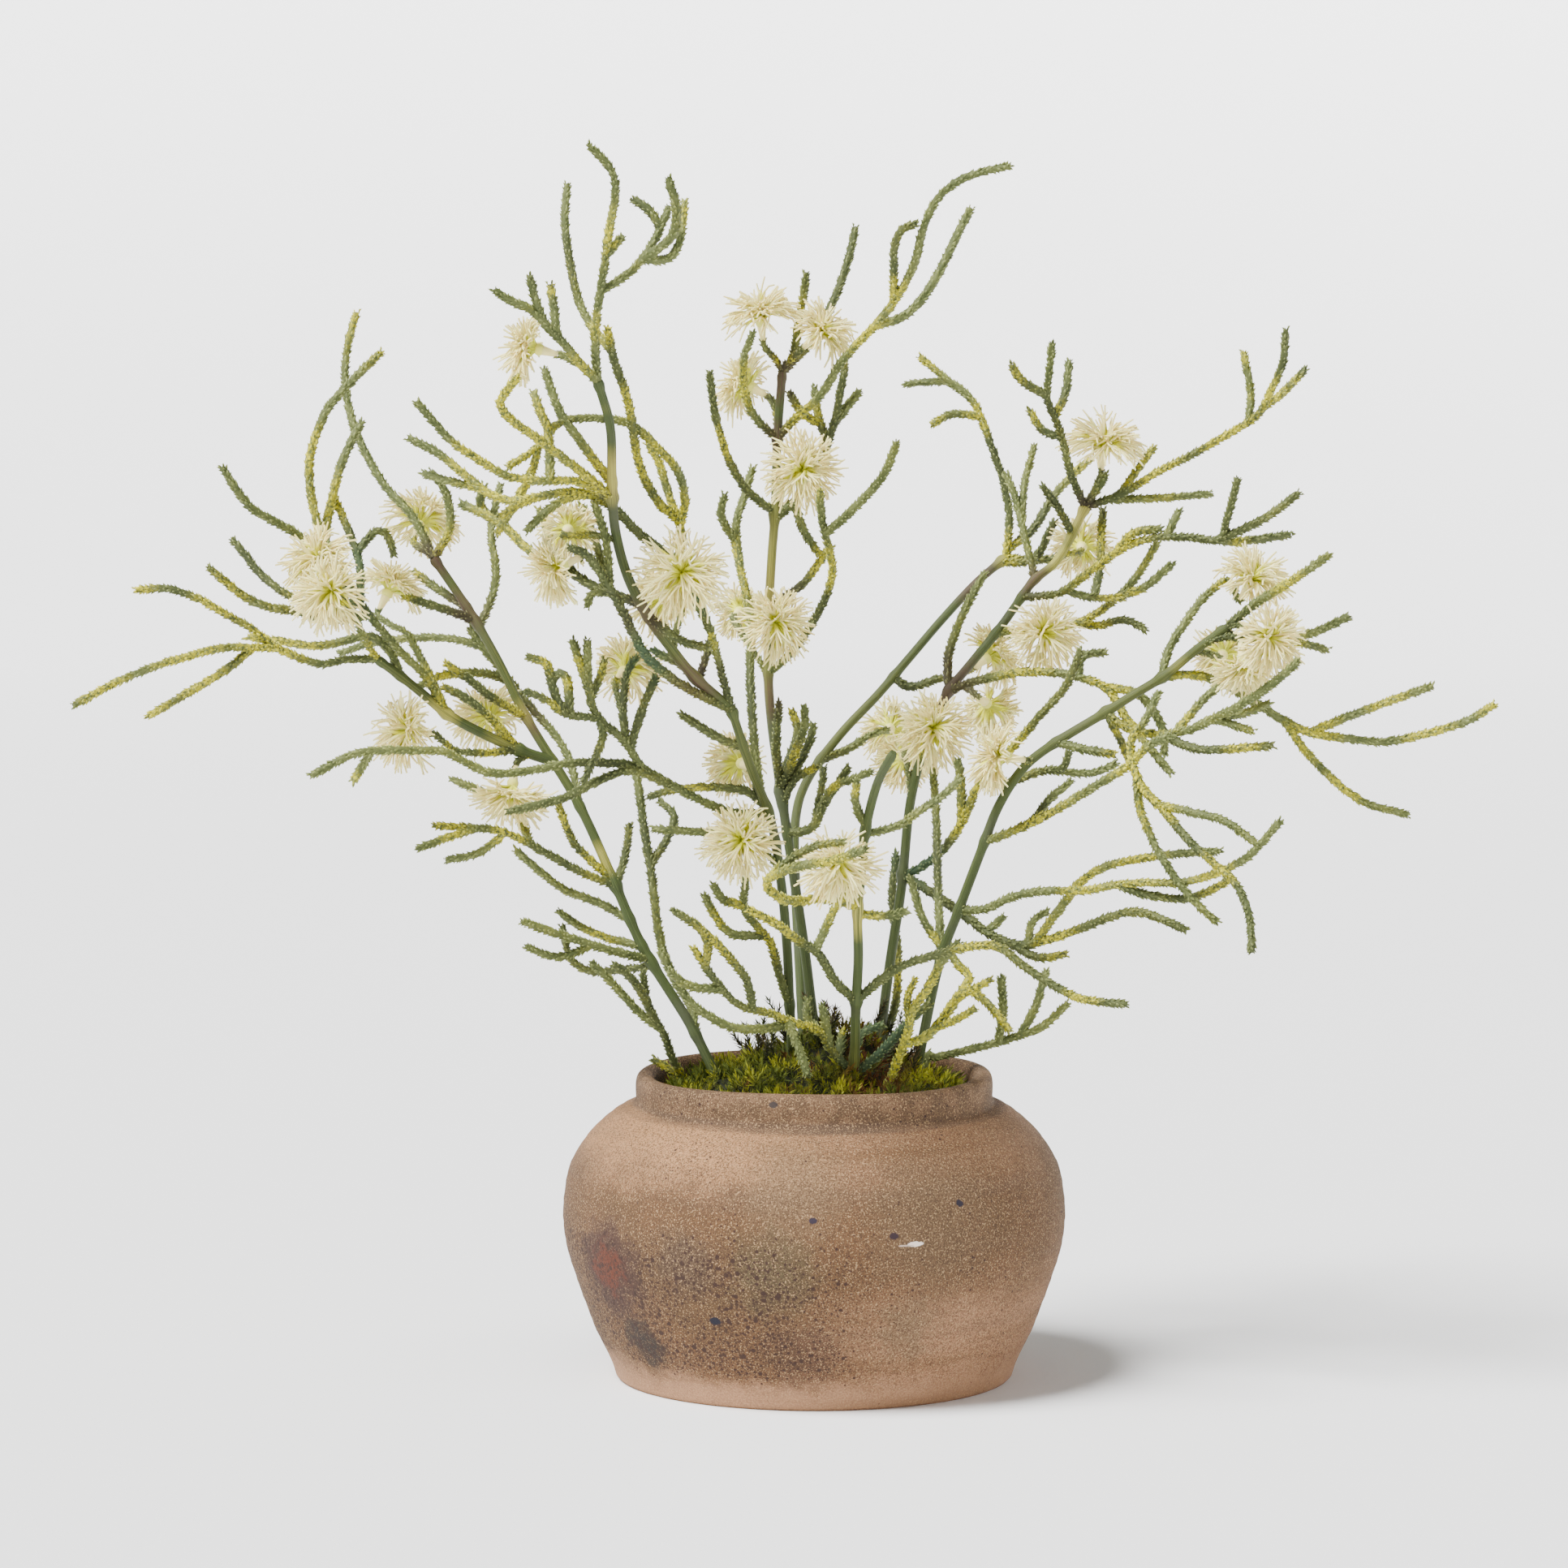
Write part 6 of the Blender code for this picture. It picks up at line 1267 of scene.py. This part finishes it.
def stem_network(material):
    """Smooth stem: a ribbed section carried along each line."""
    net = ShapeNetwork("jointed stem", Int=("Ribs",), Float=("Rib depth",))
    lines = net.out("GeometryNodeMeshToCurve", {"Mesh": net.given["Geometry"]})
    lines = net.store(lines, run=net.out("GeometryNodeSplineParameter", output="Length"))
    sides = net.given["Ribs"] * 2.0
    share = 1.0 - net.which.of("MODULO", 2.0) * net.given["Rib depth"]
    ring = net.moved(net.ring(sides), Position=net.out("GeometryNodeInputPosition") * share)
    ring = net.store(ring, around=net.which / sides)
    return net.finish(net.tube(lines, ring, net.attribute("thick")), material)


def bloom_network(material):
    """Bloom: bundles of three threads that bow out of a small cup and part near their ends."""
    net = ShapeNetwork("thread bloom", Float=("Radius", "Thickness", "Spread", "Openness", "Cup length"),
                       Int=("Petals", "Seed"), Vector=("Seat",), Rotation=("Facing",))
    given = net.given
    petals, radius, cup_length = given["Petals"], given["Radius"], given["Cup length"]
    bundle = ((net.which + 0.5) / 3.0).of("FLOOR")
    spots = net.out("GeometryNodePoints", {"Count": petals * 3.0})
    spots = net.store(spots, bundle=bundle, part=net.which - bundle * 3.0 - 1.0)
    thread = net.out("GeometryNodeCurvePrimitiveLine", {"End": (0.0, 0.0, 1.0)})
    thread = net.out("GeometryNodeResampleCurve", {"Curve": thread, "Count": THREAD_POINTS})
    lines = net.out("GeometryNodeInstanceOnPoints", {"Points": spots, "Instance": thread})
    lines = net.out("GeometryNodeRealizeInstances", {"Geometry": lines})
    along = net.out("GeometryNodeSplineParameter", output="Factor")
    bundle, part = net.attribute("bundle"), net.attribute("part")
    parted, bowed = part.of("ABSOLUTE"), along * along

    def varied(low, high, seed):
        return net.random(low, high, seed, bundle)

    # Each bundle turns on from the last one and leans out further, straighter at its root.
    turn = bundle * GOLDEN_TURN + varied(*BUNDLE_TURNS, 11)
    share = ((bundle + 0.5) / petals) ** 0.55
    lean = (share * given["Spread"] + given["Openness"]) * varied(*BUNDLE_LEANS, 12) * (along * 0.50 + 0.50)
    sine, cosine, flat = turn.of("SINE"), turn.of("COSINE"), lean.of("SINE")
    out = net.combine(flat * cosine, flat * sine, lean.of("COSINE"))
    side = net.combine(sine * -1.0, cosine, 0.0)
    # The threads of a bundle run together, then part; each bundle bows to the side and up or down.
    reach = radius * varied(*BUNDLE_REACHES, 13) * (1.0 - net.random(*THREAD_TRIMS, 21) * parted)
    parting = (along - varied(*PARTING_STARTS, 14)).of("MAXIMUM", 0.0)
    fan = (parting * varied(*PARTING_WIDTHS, 15) + 0.014) * part
    wave = (along * varied(*WAVE_TURNS, 19)).of("SINE") * varied(*WAVE_DEPTHS, 20)
    sway = fan + bowed * varied(*SIDE_BOWS, 16) + wave
    rise = parting * 0.25 * (1.0 - parted) + bowed * varied(*RISE_BOWS, 17)
    place = out * ((along * 0.86 + 0.14) * reach) + side * (sway * radius)
    lines = net.moved(lines, Position=place + net.combine(0.0, 0.0, rise * radius + cup_length))
    lines = net.store(lines, along=along, shade=varied(0.0, 1.0, 18), sag=bowed)
    # Threads as fine tubes, a small cup below them and a rounded heart where they meet.
    thick = given["Thickness"] * (1.05 - along ** 3.0 * 0.33)
    threads = net.tube(lines, net.ring(3), thick)
    cup = net.out("GeometryNodeMeshCone", {"Vertices": 10, "Side Segments": 3, "Radius Top": CUP_TOP,
                                           "Radius Bottom": CUP_FOOT, "Depth": cup_length})
    heart = net.out("GeometryNodeMeshUVSphere", {"Segments": 12, "Rings": 8, "Radius": HEART_RADIUS})
    heart = net.out("GeometryNodeTransform",
                    {"Geometry": heart, "Translation": net.combine(0.0, 0.0, cup_length)})
    bloom = net.join(threads, net.store(cup, along=0.62, shade=0.7), net.store(heart, along=0.40, shade=0.5))
    bloom = net.out("GeometryNodeTransform",
                    {"Geometry": bloom, "Translation": given["Seat"], "Rotation": given["Facing"]})
    # The threads' ends hang a little, whichever way the bloom faces.
    drop = net.attribute("sag") * HANG * radius
    return net.finish(net.moved(bloom, Offset=net.combine(0.0, 0.0, drop)), material)


def moss_network(material):
    """Moss: sprigs strewn over the mound, each leaning and turned its own way."""
    net = ShapeNetwork("moss sprigs", Float=("Density", "Sprig size"), Object=("Sprig",), Int=("Seed",))
    given = net.given
    strewn = net.add("GeometryNodeDistributePointsOnFaces", {
        "Mesh": given["Geometry"], "Density": given["Density"], "Seed": given["Seed"]})
    points = net.store(Wire(net, strewn.outputs["Points"]), shade=net.random(0.0, 1.0, 3))
    lean = Wire(net, strewn.outputs["Normal"]) + net.combine(
        net.random(*SPRIG_LEANS, 4), net.random(*SPRIG_LEANS, 5), 0.2)
    upright = net.out("FunctionNodeAlignRotationToVector", {"Vector": lean}, axis="Z")
    turned = net.spin(upright, net.random(0.0, WHOLE_TURN, 6))
    clump = net.out("ShaderNodeTexNoise", {"Scale": 48.0, "Detail": 2.0})
    full = (clump * 3.2 - 0.8).of("MAXIMUM", 0.35).of("MINIMUM", 1.25)
    size = given["Sprig size"] * net.random(*SPRIG_SIZES, 8) * full
    sprig = net.out("GeometryNodeObjectInfo", {"Object": given["Sprig"]}, "Geometry")
    sprigs = net.strew(points, sprig, turned, net.combine(size, size, size))
    # The bed under the sprigs takes the dark root colour: painted shade beneath them.
    return net.finish(net.join(sprigs, net.store(given["Geometry"], along=0.02)), material)


def mesh_of(name, points, faces=(), edges=(), **attributes):
    """Mesh with a named value at each point for each attribute."""
    mesh = bpy.data.meshes.new(name)
    mesh.from_pydata([tuple(point) for point in points], list(edges), list(faces))
    for label, values in attributes.items():
        mesh.attributes.new(label, "FLOAT", "POINT").data.foreach_set("value", np.asarray(values, np.float32))
    return mesh


def scale_leaf():
    """One scale, a unit long, that stands off the twig and points along it (+Z), outwards (+X)."""
    points = ((0.0, -0.36, 0.0), (0.0, 0.36, 0.0), (0.34, -0.30, 0.50), (0.34, 0.30, 0.50), (0.62, 0.0, 0.92),
              (-0.05, 0.0, 0.75))
    faces = ((2, 3, 1, 0), (4, 3, 2), (5, 2, 0), (3, 5, 1), (5, 4, 2), (4, 5, 3))
    # The edge value runs from a scale's root to its tip; the finish paints shade at the root and a highlight at
    # the tip from it.
    return add_object("scale leaf", mesh_of("scale leaf", points, faces, edge=(0.1, 0.1, 0.55, 0.55, 1.0, 0.2)))


class Needles:
    """Narrow pointed leaves, each of five points: two at the root, two half way and the tip."""

    def __init__(self):
        self.points, self.faces, self.along = [], [], []

    def add(self, root, half, tip, side, widths, along):
        first = len(self.points)
        for place, width, share in zip((root, half), widths, along):
            self.points += [place - side * width, place + side * width]
            self.along += [share, share]
        self.points.append(tip)
        self.along.append(1.0)
        self.faces += [(first, first + 1, first + 3, first + 2), (first + 2, first + 3, first + 4)]

    def mesh(self, name):
        return mesh_of(name, self.points, self.faces, along=self.along)


def moss_sprig():
    """One moss sprig, a unit tall: a short stem with narrow pointed leaves in a spiral."""
    rng = np.random.default_rng(5)
    needles = Needles()
    for leaf in range(SPRIG_LEAVES):
        share = leaf / (SPRIG_LEAVES - 1)
        turn = leaf * GOLDEN_TURN
        steep = 0.55 + 0.95 * share + rng.uniform(-0.2, 0.2)
        length = 0.58 - 0.22 * share
        side = Vector((-math.sin(turn), math.cos(turn), 0.0))
        heading = Vector((math.cos(turn) * math.cos(steep), math.sin(turn) * math.cos(steep), math.sin(steep)))
        root = Vector((0.0, 0.0, 0.10 + 0.62 * share))
        tip = root + heading * length - Vector((0.0, 0.0, 0.05))
        needles.add(root, root + heading * length * 0.5, tip, side, SPRIG_WIDTHS,
                    (0.25 + 0.3 * share, 0.6 + 0.3 * share))
    return add_object("moss sprig", needles.mesh("moss sprig"))


def tall_sprigs():
    """Tall dark sprigs that stand up among the stems, towards the back of the moss."""
    rng = np.random.default_rng(12)
    needles = Needles()
    for _ in range(TALL_SPRIGS):
        x, y = rng.uniform(-0.030, 0.048), rng.uniform(-0.010, 0.050)
        root = Vector((x, y, moss_height(x, y) - 0.002))
        lean = Vector((x * 9 + rng.uniform(-0.5, 0.5), rng.uniform(-0.5, 0.5), 1.0)).normalized()
        height = rng.uniform(0.012, 0.027)
        upright = lean.to_track_quat("Z", "Y")
        for needle in range(TALL_NEEDLES):
            share = needle / (TALL_NEEDLES - 1)
            turn = needle * GOLDEN_TURN
            out = upright @ Vector((math.cos(turn), math.sin(turn), 0.0))
            side = upright @ Vector((-math.sin(turn), math.cos(turn), 0.0))
            start = root + lean * height * share
            tip = start + (out + lean) * NEEDLE_LENGTH * (1.1 - 0.45 * share)
            needles.add(start, start.lerp(tip, 0.45), tip, side, NEEDLE_WIDTHS, (0.1, 0.5))
    return needles.mesh("tall sprigs")


def circle(sides):
    """Angle, cosine and sine at each corner of a ring."""
    angles = [2 * math.pi * side / sides for side in range(sides)]
    return [(angle, math.cos(angle), math.sin(angle)) for angle in angles]


def ringed_mesh(name, middle, rings, end=None):
    """Mesh from a middle point out over rings of points, facing up; closed at an end, it faces out."""
    sides = len(rings[0])
    points = [middle, *(point for ring in rings for point in ring)]
    after = [(side + 1) % sides for side in range(sides)]
    faces = [(0, 1 + side, 1 + after[side]) for side in range(sides)]
    for low in range(1, len(points) - sides, sides):
        high = low + sides
        faces += [(low + side, high + side, high + after[side], low + after[side]) for side in range(sides)]
    if end is not None:
        faces += [(len(points), high + after[side], high + side) for side in range(sides)]
        faces = [face[:1] + face[:0:-1] for face in faces]
        points.append(end)
    return mesh_of(name, points, faces)


def moss_bed():
    """Ground of the moss, a little inside the jar's mouth."""
    def ground(x, y):
        lump = BED_LUMP * math.sin(x * BED_TURNS[0] + 0.6) * math.cos(y * BED_TURNS[1] + 0.3)
        return x, y, moss_height(x, y) - BED_DEPTH + lump

    radii = [BED_RADIUS * (ring + 1) / BED_RINGS for ring in range(BED_RINGS)]
    return ringed_mesh("moss bed", (0.0, 0.0, moss_height(0.0, 0.0) - BED_DEPTH),
                       [[ground(radius * x, radius * y) for _, x, y in circle(BED_SIDES)] for radius in radii])


def wave(angle, turns, start, depth):
    """Height at an angle of a wave with so many turns to the ring."""
    return depth * math.sin(turns * angle + start)


def set_in(height, low):
    """Nought up to a height, one a little above it, even between."""
    return np.clip((height - low) / SET_IN, 0.0, 1.0)


def jar_mesh(settings):
    """The turned jar as one closed shell, with wheel marks, neck grooves and a slight wobble."""
    outside = even_points(smooth_points([np.array(point) for point in BODY_OUTLINE], OUTLINE_POINTS), BODY_STEP)
    lip = even_points(smooth_points([outside[-1], *map(np.array, LIP_OUTLINE)], OUTLINE_POINTS), LIP_STEP)
    height = outside[:, 1]
    mark = sum(np.sin(height * turns + start) * share for turns, start, share in WHEEL_MARKS)
    mark = mark / sum(share for _, _, share in WHEEL_MARKS)
    outside[:, 0] += settings.wheel_mark * mark * set_in(height, 0.004)
    for groove, depth in NECK_GROOVES:
        outside[:, 0] -= depth * np.exp(-((height - groove) / GROOVE_WIDTH) ** 2)
    inner = [(r - WALL, z) for r, z in outside[::6] if FLOOR + 0.004 < z < FILL_TOP + 0.002][::-1]
    foot = (BODY_OUTLINE[0][0] - 0.0015, 0.0)
    outline = [foot, *outside, *lip[1:], *inner, (inner[-1][0] - 0.005, FLOOR)]
    corners = [(sum(wave(angle, *bow) for bow in JAR_BOWS), wave(angle, *LIP_SLUMP), x, y)
               for angle, x, y in circle(settings.sides)]
    rings = []
    for radius, height in outline:
        swell, sink = set_in(height, 0.0), set_in(height, 0.13)
        rings.append([((radius + bow * swell) * x, (radius + bow * swell) * y, height + slump * sink)
                      for bow, slump, x, y in corners])
    mesh = ringed_mesh("jar", (0.0, 0.0, 0.0), rings, (0.0, 0.0, FLOOR))
    mesh.shade_smooth()
    mesh.set_sharp_from_angle(angle=math.radians(CREASE))
    return mesh


def sweep_mesh():
    """Floor that curves up into a low wall all round."""
    rows = [(radius, 0.0) for radius in SWEEP_FLAT]
    rows += [(SWEEP_FLAT[-1] + SWEEP_BEND * math.sin(t), SWEEP_BEND * (1.0 - math.cos(t)))
             for t in np.linspace(0.1, math.pi / 2, 14)]
    rings = [[(radius * x, radius * y, height) for _, x, y in circle(SWEEP_SIDES)] for radius, height in rows]
    mesh = ringed_mesh("paper_sweep", (0.0, 0.0, 0.0), rings)
    mesh.shade_smooth()
    return mesh


def whole_layout():
    """The stems and blooms as the solids have them, worked out once."""
    if not LAYOUT:
        stems = lay_out_stems()
        blooms = [Bloom(number, text, stems) for number, text in enumerate(BLOOMS.strip().splitlines(), 1)]
        bend_clear(stems, blooms)
        LAYOUT.update(stems=stems, blooms=blooms)
    return LAYOUT["stems"], LAYOUT["blooms"]


LAYOUT = {}


def tinge_spots():
    """The tinges by stem and tint, as rows of across, up and reach."""
    spots = {}
    for line in TINGES.strip().splitlines():
        tint, stem, *places = line.split()
        spots[stem, tint] = numbers(places)
    return spots


def tint_along(stem, seen, spots, rng):
    """Each tint at each point of a line that is seen at these squares."""
    tints = {}
    for tint in TINTS:
        tints[tint] = np.zeros(len(seen))
        for across, up, reach in spots.get((stem, tint), ()):
            gap = np.hypot(seen[:, 0] - across, seen[:, 1] - up) / reach
            tints[tint] = np.maximum(tints[tint], np.clip(TINGE_MIDDLE - TINGE_FADE * gap, 0.0, 1.0))
    spread = np.linspace(0.0, 1.0, len(seen))
    middle, width = rng.uniform(0.1, 1.1), rng.uniform(0.08, 0.20)
    strong, faint = YELLOW_AMOUNTS
    amount = strong if rng.random() < YELLOW_CHANCE else faint
    tints["yellow"] = np.maximum(tints["yellow"], amount * np.exp(-((spread - middle) / width) ** 2))
    if rng.random() < DARK_CHANCE:
        tints["dark"] = np.maximum(tints["dark"], DARK_AMOUNT)
    return tints


def line_mesh(name, lines, thick, rng):
    """Mesh of loose lines, each point with its thickness and its tints."""
    spots = tinge_spots()
    tints = [tint_along(name, as_seen(line), spots, rng) for line in lines]
    edges, first = [], 0
    for line in lines:
        edges += [(first + i, first + i + 1) for i in range(len(line) - 1)]
        first += len(line)
    return mesh_of(name, np.concatenate(lines), (), edges, thick=np.concatenate(thick),
                   **{tint: np.concatenate([each[tint] for each in tints]) for tint in TINTS})


def fine_line(places, step):
    """Even points in metres on a smooth curve through the given places."""
    return even_points(smooth_points([np.array(place) for place in places], 4), step)


def whole_line(run, step):
    """Fine line of a run; one that starts at the soil has its foot in the foam."""
    places = run.line()
    if run.host is None:
        top = places[0]
        foot = Vector((top.x * STEM_FOOT_SPREAD, top.y * STEM_FOOT_SPREAD, STEM_FOOT_HEIGHT))
        places = [foot, foot.lerp(top, 0.5), *places]
    return fine_line(places, step)


def smooth_radii(run, runs, line):
    """Radius along a smooth stem: a slow taper, swollen collars where others leave, a pinched joint."""
    radius = SMOOTH_RADIUS * (SMOOTH_START - SMOOTH_TAPER * np.linspace(0.0, 1.0, len(line)))
    for other in runs:
        if other.host is run:
            gap = np.linalg.norm(line - np.array(run.line()[other.host_at]), axis=1)
            radius = radius * (1.0 + COLLAR_SWELL * np.exp(-(gap / COLLAR_REACH) ** 2))
    radius[-len(JOINT_END):] *= JOINT_END
    return radius


class ARRANGEMENT_OT_turn_jar(bpy.types.Operator):
    """Turn the stoneware jar and dress the foam inside it"""
    bl_idname = "arrangement.turn_jar"
    bl_label = "Turn the jar"

    def execute(self, context):
        settings = context.scene.arrangement_jar
        jar = add_object("stoneware_jar", jar_mesh(settings))
        jar.data.materials.append(stoneware_finish(settings))
        declare(jar, "brown_stoneware", "jar")
        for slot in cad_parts["foam_filling"].material_slots:
            slot.material = foam_finish()
        return {"FINISHED"}


class ARRANGEMENT_OT_lay_moss(bpy.types.Operator):
    """Lay the mounded moss with its tall dark sprigs"""
    bl_idname = "arrangement.lay_moss"
    bl_label = "Lay the moss"

    def execute(self, context):
        settings = context.scene.arrangement_moss
        sprig = moss_sprig()
        moss = grow("moss_carpet", moss_bed(), moss_network(moss_finish(settings)),
                    Density=settings.density, Sprig_size=settings.sprig, Sprig=sprig, Seed=4)
        bpy.data.objects.remove(sprig)
        declare(moss, "moss", "moss_pad")
        sprigs = add_object("tall_moss_sprigs", tall_sprigs())
        sprigs.data.materials.append(dry_sprig_finish())
        declare(sprigs, "moss", "moss_pad")
        return {"FINISHED"}


class ARRANGEMENT_OT_grow_stems(bpy.types.Operator):
    """Grow the smooth jointed stems"""
    bl_idname = "arrangement.grow_stems"
    bl_label = "Grow the smooth stems"

    def execute(self, context):
        settings = context.scene.arrangement_stem
        net = stem_network(stem_finish(settings))
        stems, _ = whole_layout()
        for number, (name, runs) in enumerate(stems.items()):
            smooth = [run for run in runs if run.kind == SMOOTH]
            if smooth:
                lines = [whole_line(run, SMOOTH_STEP) for run in smooth]
                thick = [smooth_radii(run, runs, line) for run, line in zip(smooth, lines)]
                mesh = line_mesh(name, lines, thick, np.random.default_rng(40 + number))
                piece = grow(f"{name}_smooth", mesh, net, Ribs=settings.ribs, Rib_depth=settings.rib_depth)
                declare(piece, "green_stem", name)
        return {"FINISHED"}


class ARRANGEMENT_OT_grow_twigs(bpy.types.Operator):
    """Grow the scaly forked twigs and the stalks of the blooms"""
    bl_idname = "arrangement.grow_twigs"
    bl_label = "Grow the scaly twigs"

    def execute(self, context):
        settings = context.scene.arrangement_twig
        net = twig_network(twig_finish(settings))
        leaf = scale_leaf()
        stems, blooms = whole_layout()
        for number, (name, runs) in enumerate(stems.items()):
            rng = np.random.default_rng(70 + number)
            lines = [whole_line(run, SCALY_STEP) for run in runs if run.kind == SCALY]
            thick = [rng.uniform(*TWIG_WIDTHS) * (TWIG_START - TWIG_TAPER * np.linspace(0.0, 1.0, len(line)))
                     for line in lines]
            for width in thick:
                width[-len(TWIG_END):] *= TWIG_END
            stalks = [fine_line(bloom.stalk_line(), SCALY_STEP) for bloom in blooms if bloom.stem == name]
            thick += [np.full(len(stalk), STALK_SHARE) for stalk in stalks]
            piece = grow(f"{name}_twigs", line_mesh(name, lines + stalks, thick, rng), net, Core=settings.core,
                         Scale_step=settings.scale_step, Scale_size=settings.scale_size, Scale_leaf=leaf,
                         Seed=20 + number)
            declare(piece, "green_stem", name)
        bpy.data.objects.remove(leaf)
        return {"FINISHED"}


class ARRANGEMENT_OT_set_blooms(bpy.types.Operator):
    """Set the thread-petalled blooms on their stalks"""
    bl_idname = "arrangement.set_blooms"
    bl_label = "Set the blooms"

    def execute(self, context):
        settings = context.scene.arrangement_bloom
        net = bloom_network(petal_finish(settings))
        _, blooms = whole_layout()
        for number, bloom in enumerate(blooms):
            facing = Vector(bloom.axis).to_track_quat("Z", "Y").to_euler()
            piece = grow(f"{bloom.name}_petals", bpy.data.meshes.new(f"{bloom.name}_start"), net,
                         Petals=settings.petals, Radius=bloom.radius * SQUARE * settings.fullness,
                         Thickness=settings.thickness, Spread=settings.spread, Openness=settings.openness,
                         Cup_length=CUP_LENGTH, Seat=tuple(from_front(*bloom.seat())), Facing=tuple(facing),
                         Seed=100 + 37 * number)
            declare(piece, "cream_petals", bloom.name)
        return {"FINISHED"}


class ARRANGEMENT_OT_set_stage(bpy.types.Operator):
    """Set the pale floor and backdrop, the soft lights and the camera"""
    bl_idname = "arrangement.set_stage"
    bl_label = "Set the stage"

    def execute(self, context):
        settings = context.scene.arrangement_stage
        floor = add_object("paper_sweep", sweep_mesh())
        floor.data.materials.append(paper_finish(settings))
        key = add_object("key", bpy.data.lights.new("key", "SUN"))
        key.data.energy = settings.key
        key.data.angle = math.radians(KEY_SPREAD)
        key.rotation_euler = Vector(KEY_HEADING).to_track_quat("-Z", "Y").to_euler()
        world = bpy.data.worlds.new("studio")
        world.use_nodes = True
        sky = world.node_tree.nodes["Background"].inputs
        sky["Color"].default_value = (1.0, 1.0, 1.0, 1.0)
        sky["Strength"].default_value = settings.fill
        context.scene.world = world
        camera = add_object("camera", bpy.data.cameras.new("camera"))
        camera.data.lens = settings.lens
        camera.location = (EYE_ACROSS, -VIEW_DISTANCE, EYE_HEIGHT)
        aim = Vector((EYE_ACROSS, 0.0, AIM_HEIGHT)) - camera.location
        camera.rotation_euler = aim.to_track_quat("-Z", "Y").to_euler()
        context.scene.camera = camera
        return {"FINISHED"}


class ARRANGEMENT_PT_panel(bpy.types.Panel):
    """Steps that dress the arrangement, with their settings"""
    bl_label = "Flower arrangement"
    bl_idname = "ARRANGEMENT_PT_panel"
    bl_space_type = "VIEW_3D"
    bl_region_type = "UI"
    bl_category = "Arrangement"

    def draw(self, context):
        for step, group, _ in STEPS:
            box = self.layout.box()
            box.operator(step.bl_idname)
            settings = getattr(context.scene, group)
            for label in settings.bl_rna.properties.keys():
                if label not in ("rna_type", "name"):
                    box.prop(settings, label)


# Each step in order: its operator, the name of its settings in the scene and their group.
STEPS = (
    (ARRANGEMENT_OT_turn_jar, "arrangement_jar", ArrangementJarSettings),
    (ARRANGEMENT_OT_lay_moss, "arrangement_moss", ArrangementMossSettings),
    (ARRANGEMENT_OT_grow_stems, "arrangement_stem", ArrangementStemSettings),
    (ARRANGEMENT_OT_grow_twigs, "arrangement_twig", ArrangementTwigSettings),
    (ARRANGEMENT_OT_set_blooms, "arrangement_bloom", ArrangementBloomSettings),
    (ARRANGEMENT_OT_set_stage, "arrangement_stage", ArrangementStageSettings),
)


def register():
    for step, name, group in STEPS:
        bpy.utils.register_class(group)
        setattr(bpy.types.Scene, name, bpy.props.PointerProperty(type=group))
        bpy.utils.register_class(step)
    bpy.utils.register_class(ARRANGEMENT_PT_panel)


def unregister():
    bpy.utils.unregister_class(ARRANGEMENT_PT_panel)
    for step, name, group in reversed(STEPS):
        bpy.utils.unregister_class(step)
        delattr(bpy.types.Scene, name)
        bpy.utils.unregister_class(group)


def main():
    register()
    for step, _, _ in STEPS:
        group, name = step.bl_idname.split(".")
        getattr(getattr(bpy.ops, group), name)()


if __name__ == "__main__":
    main()
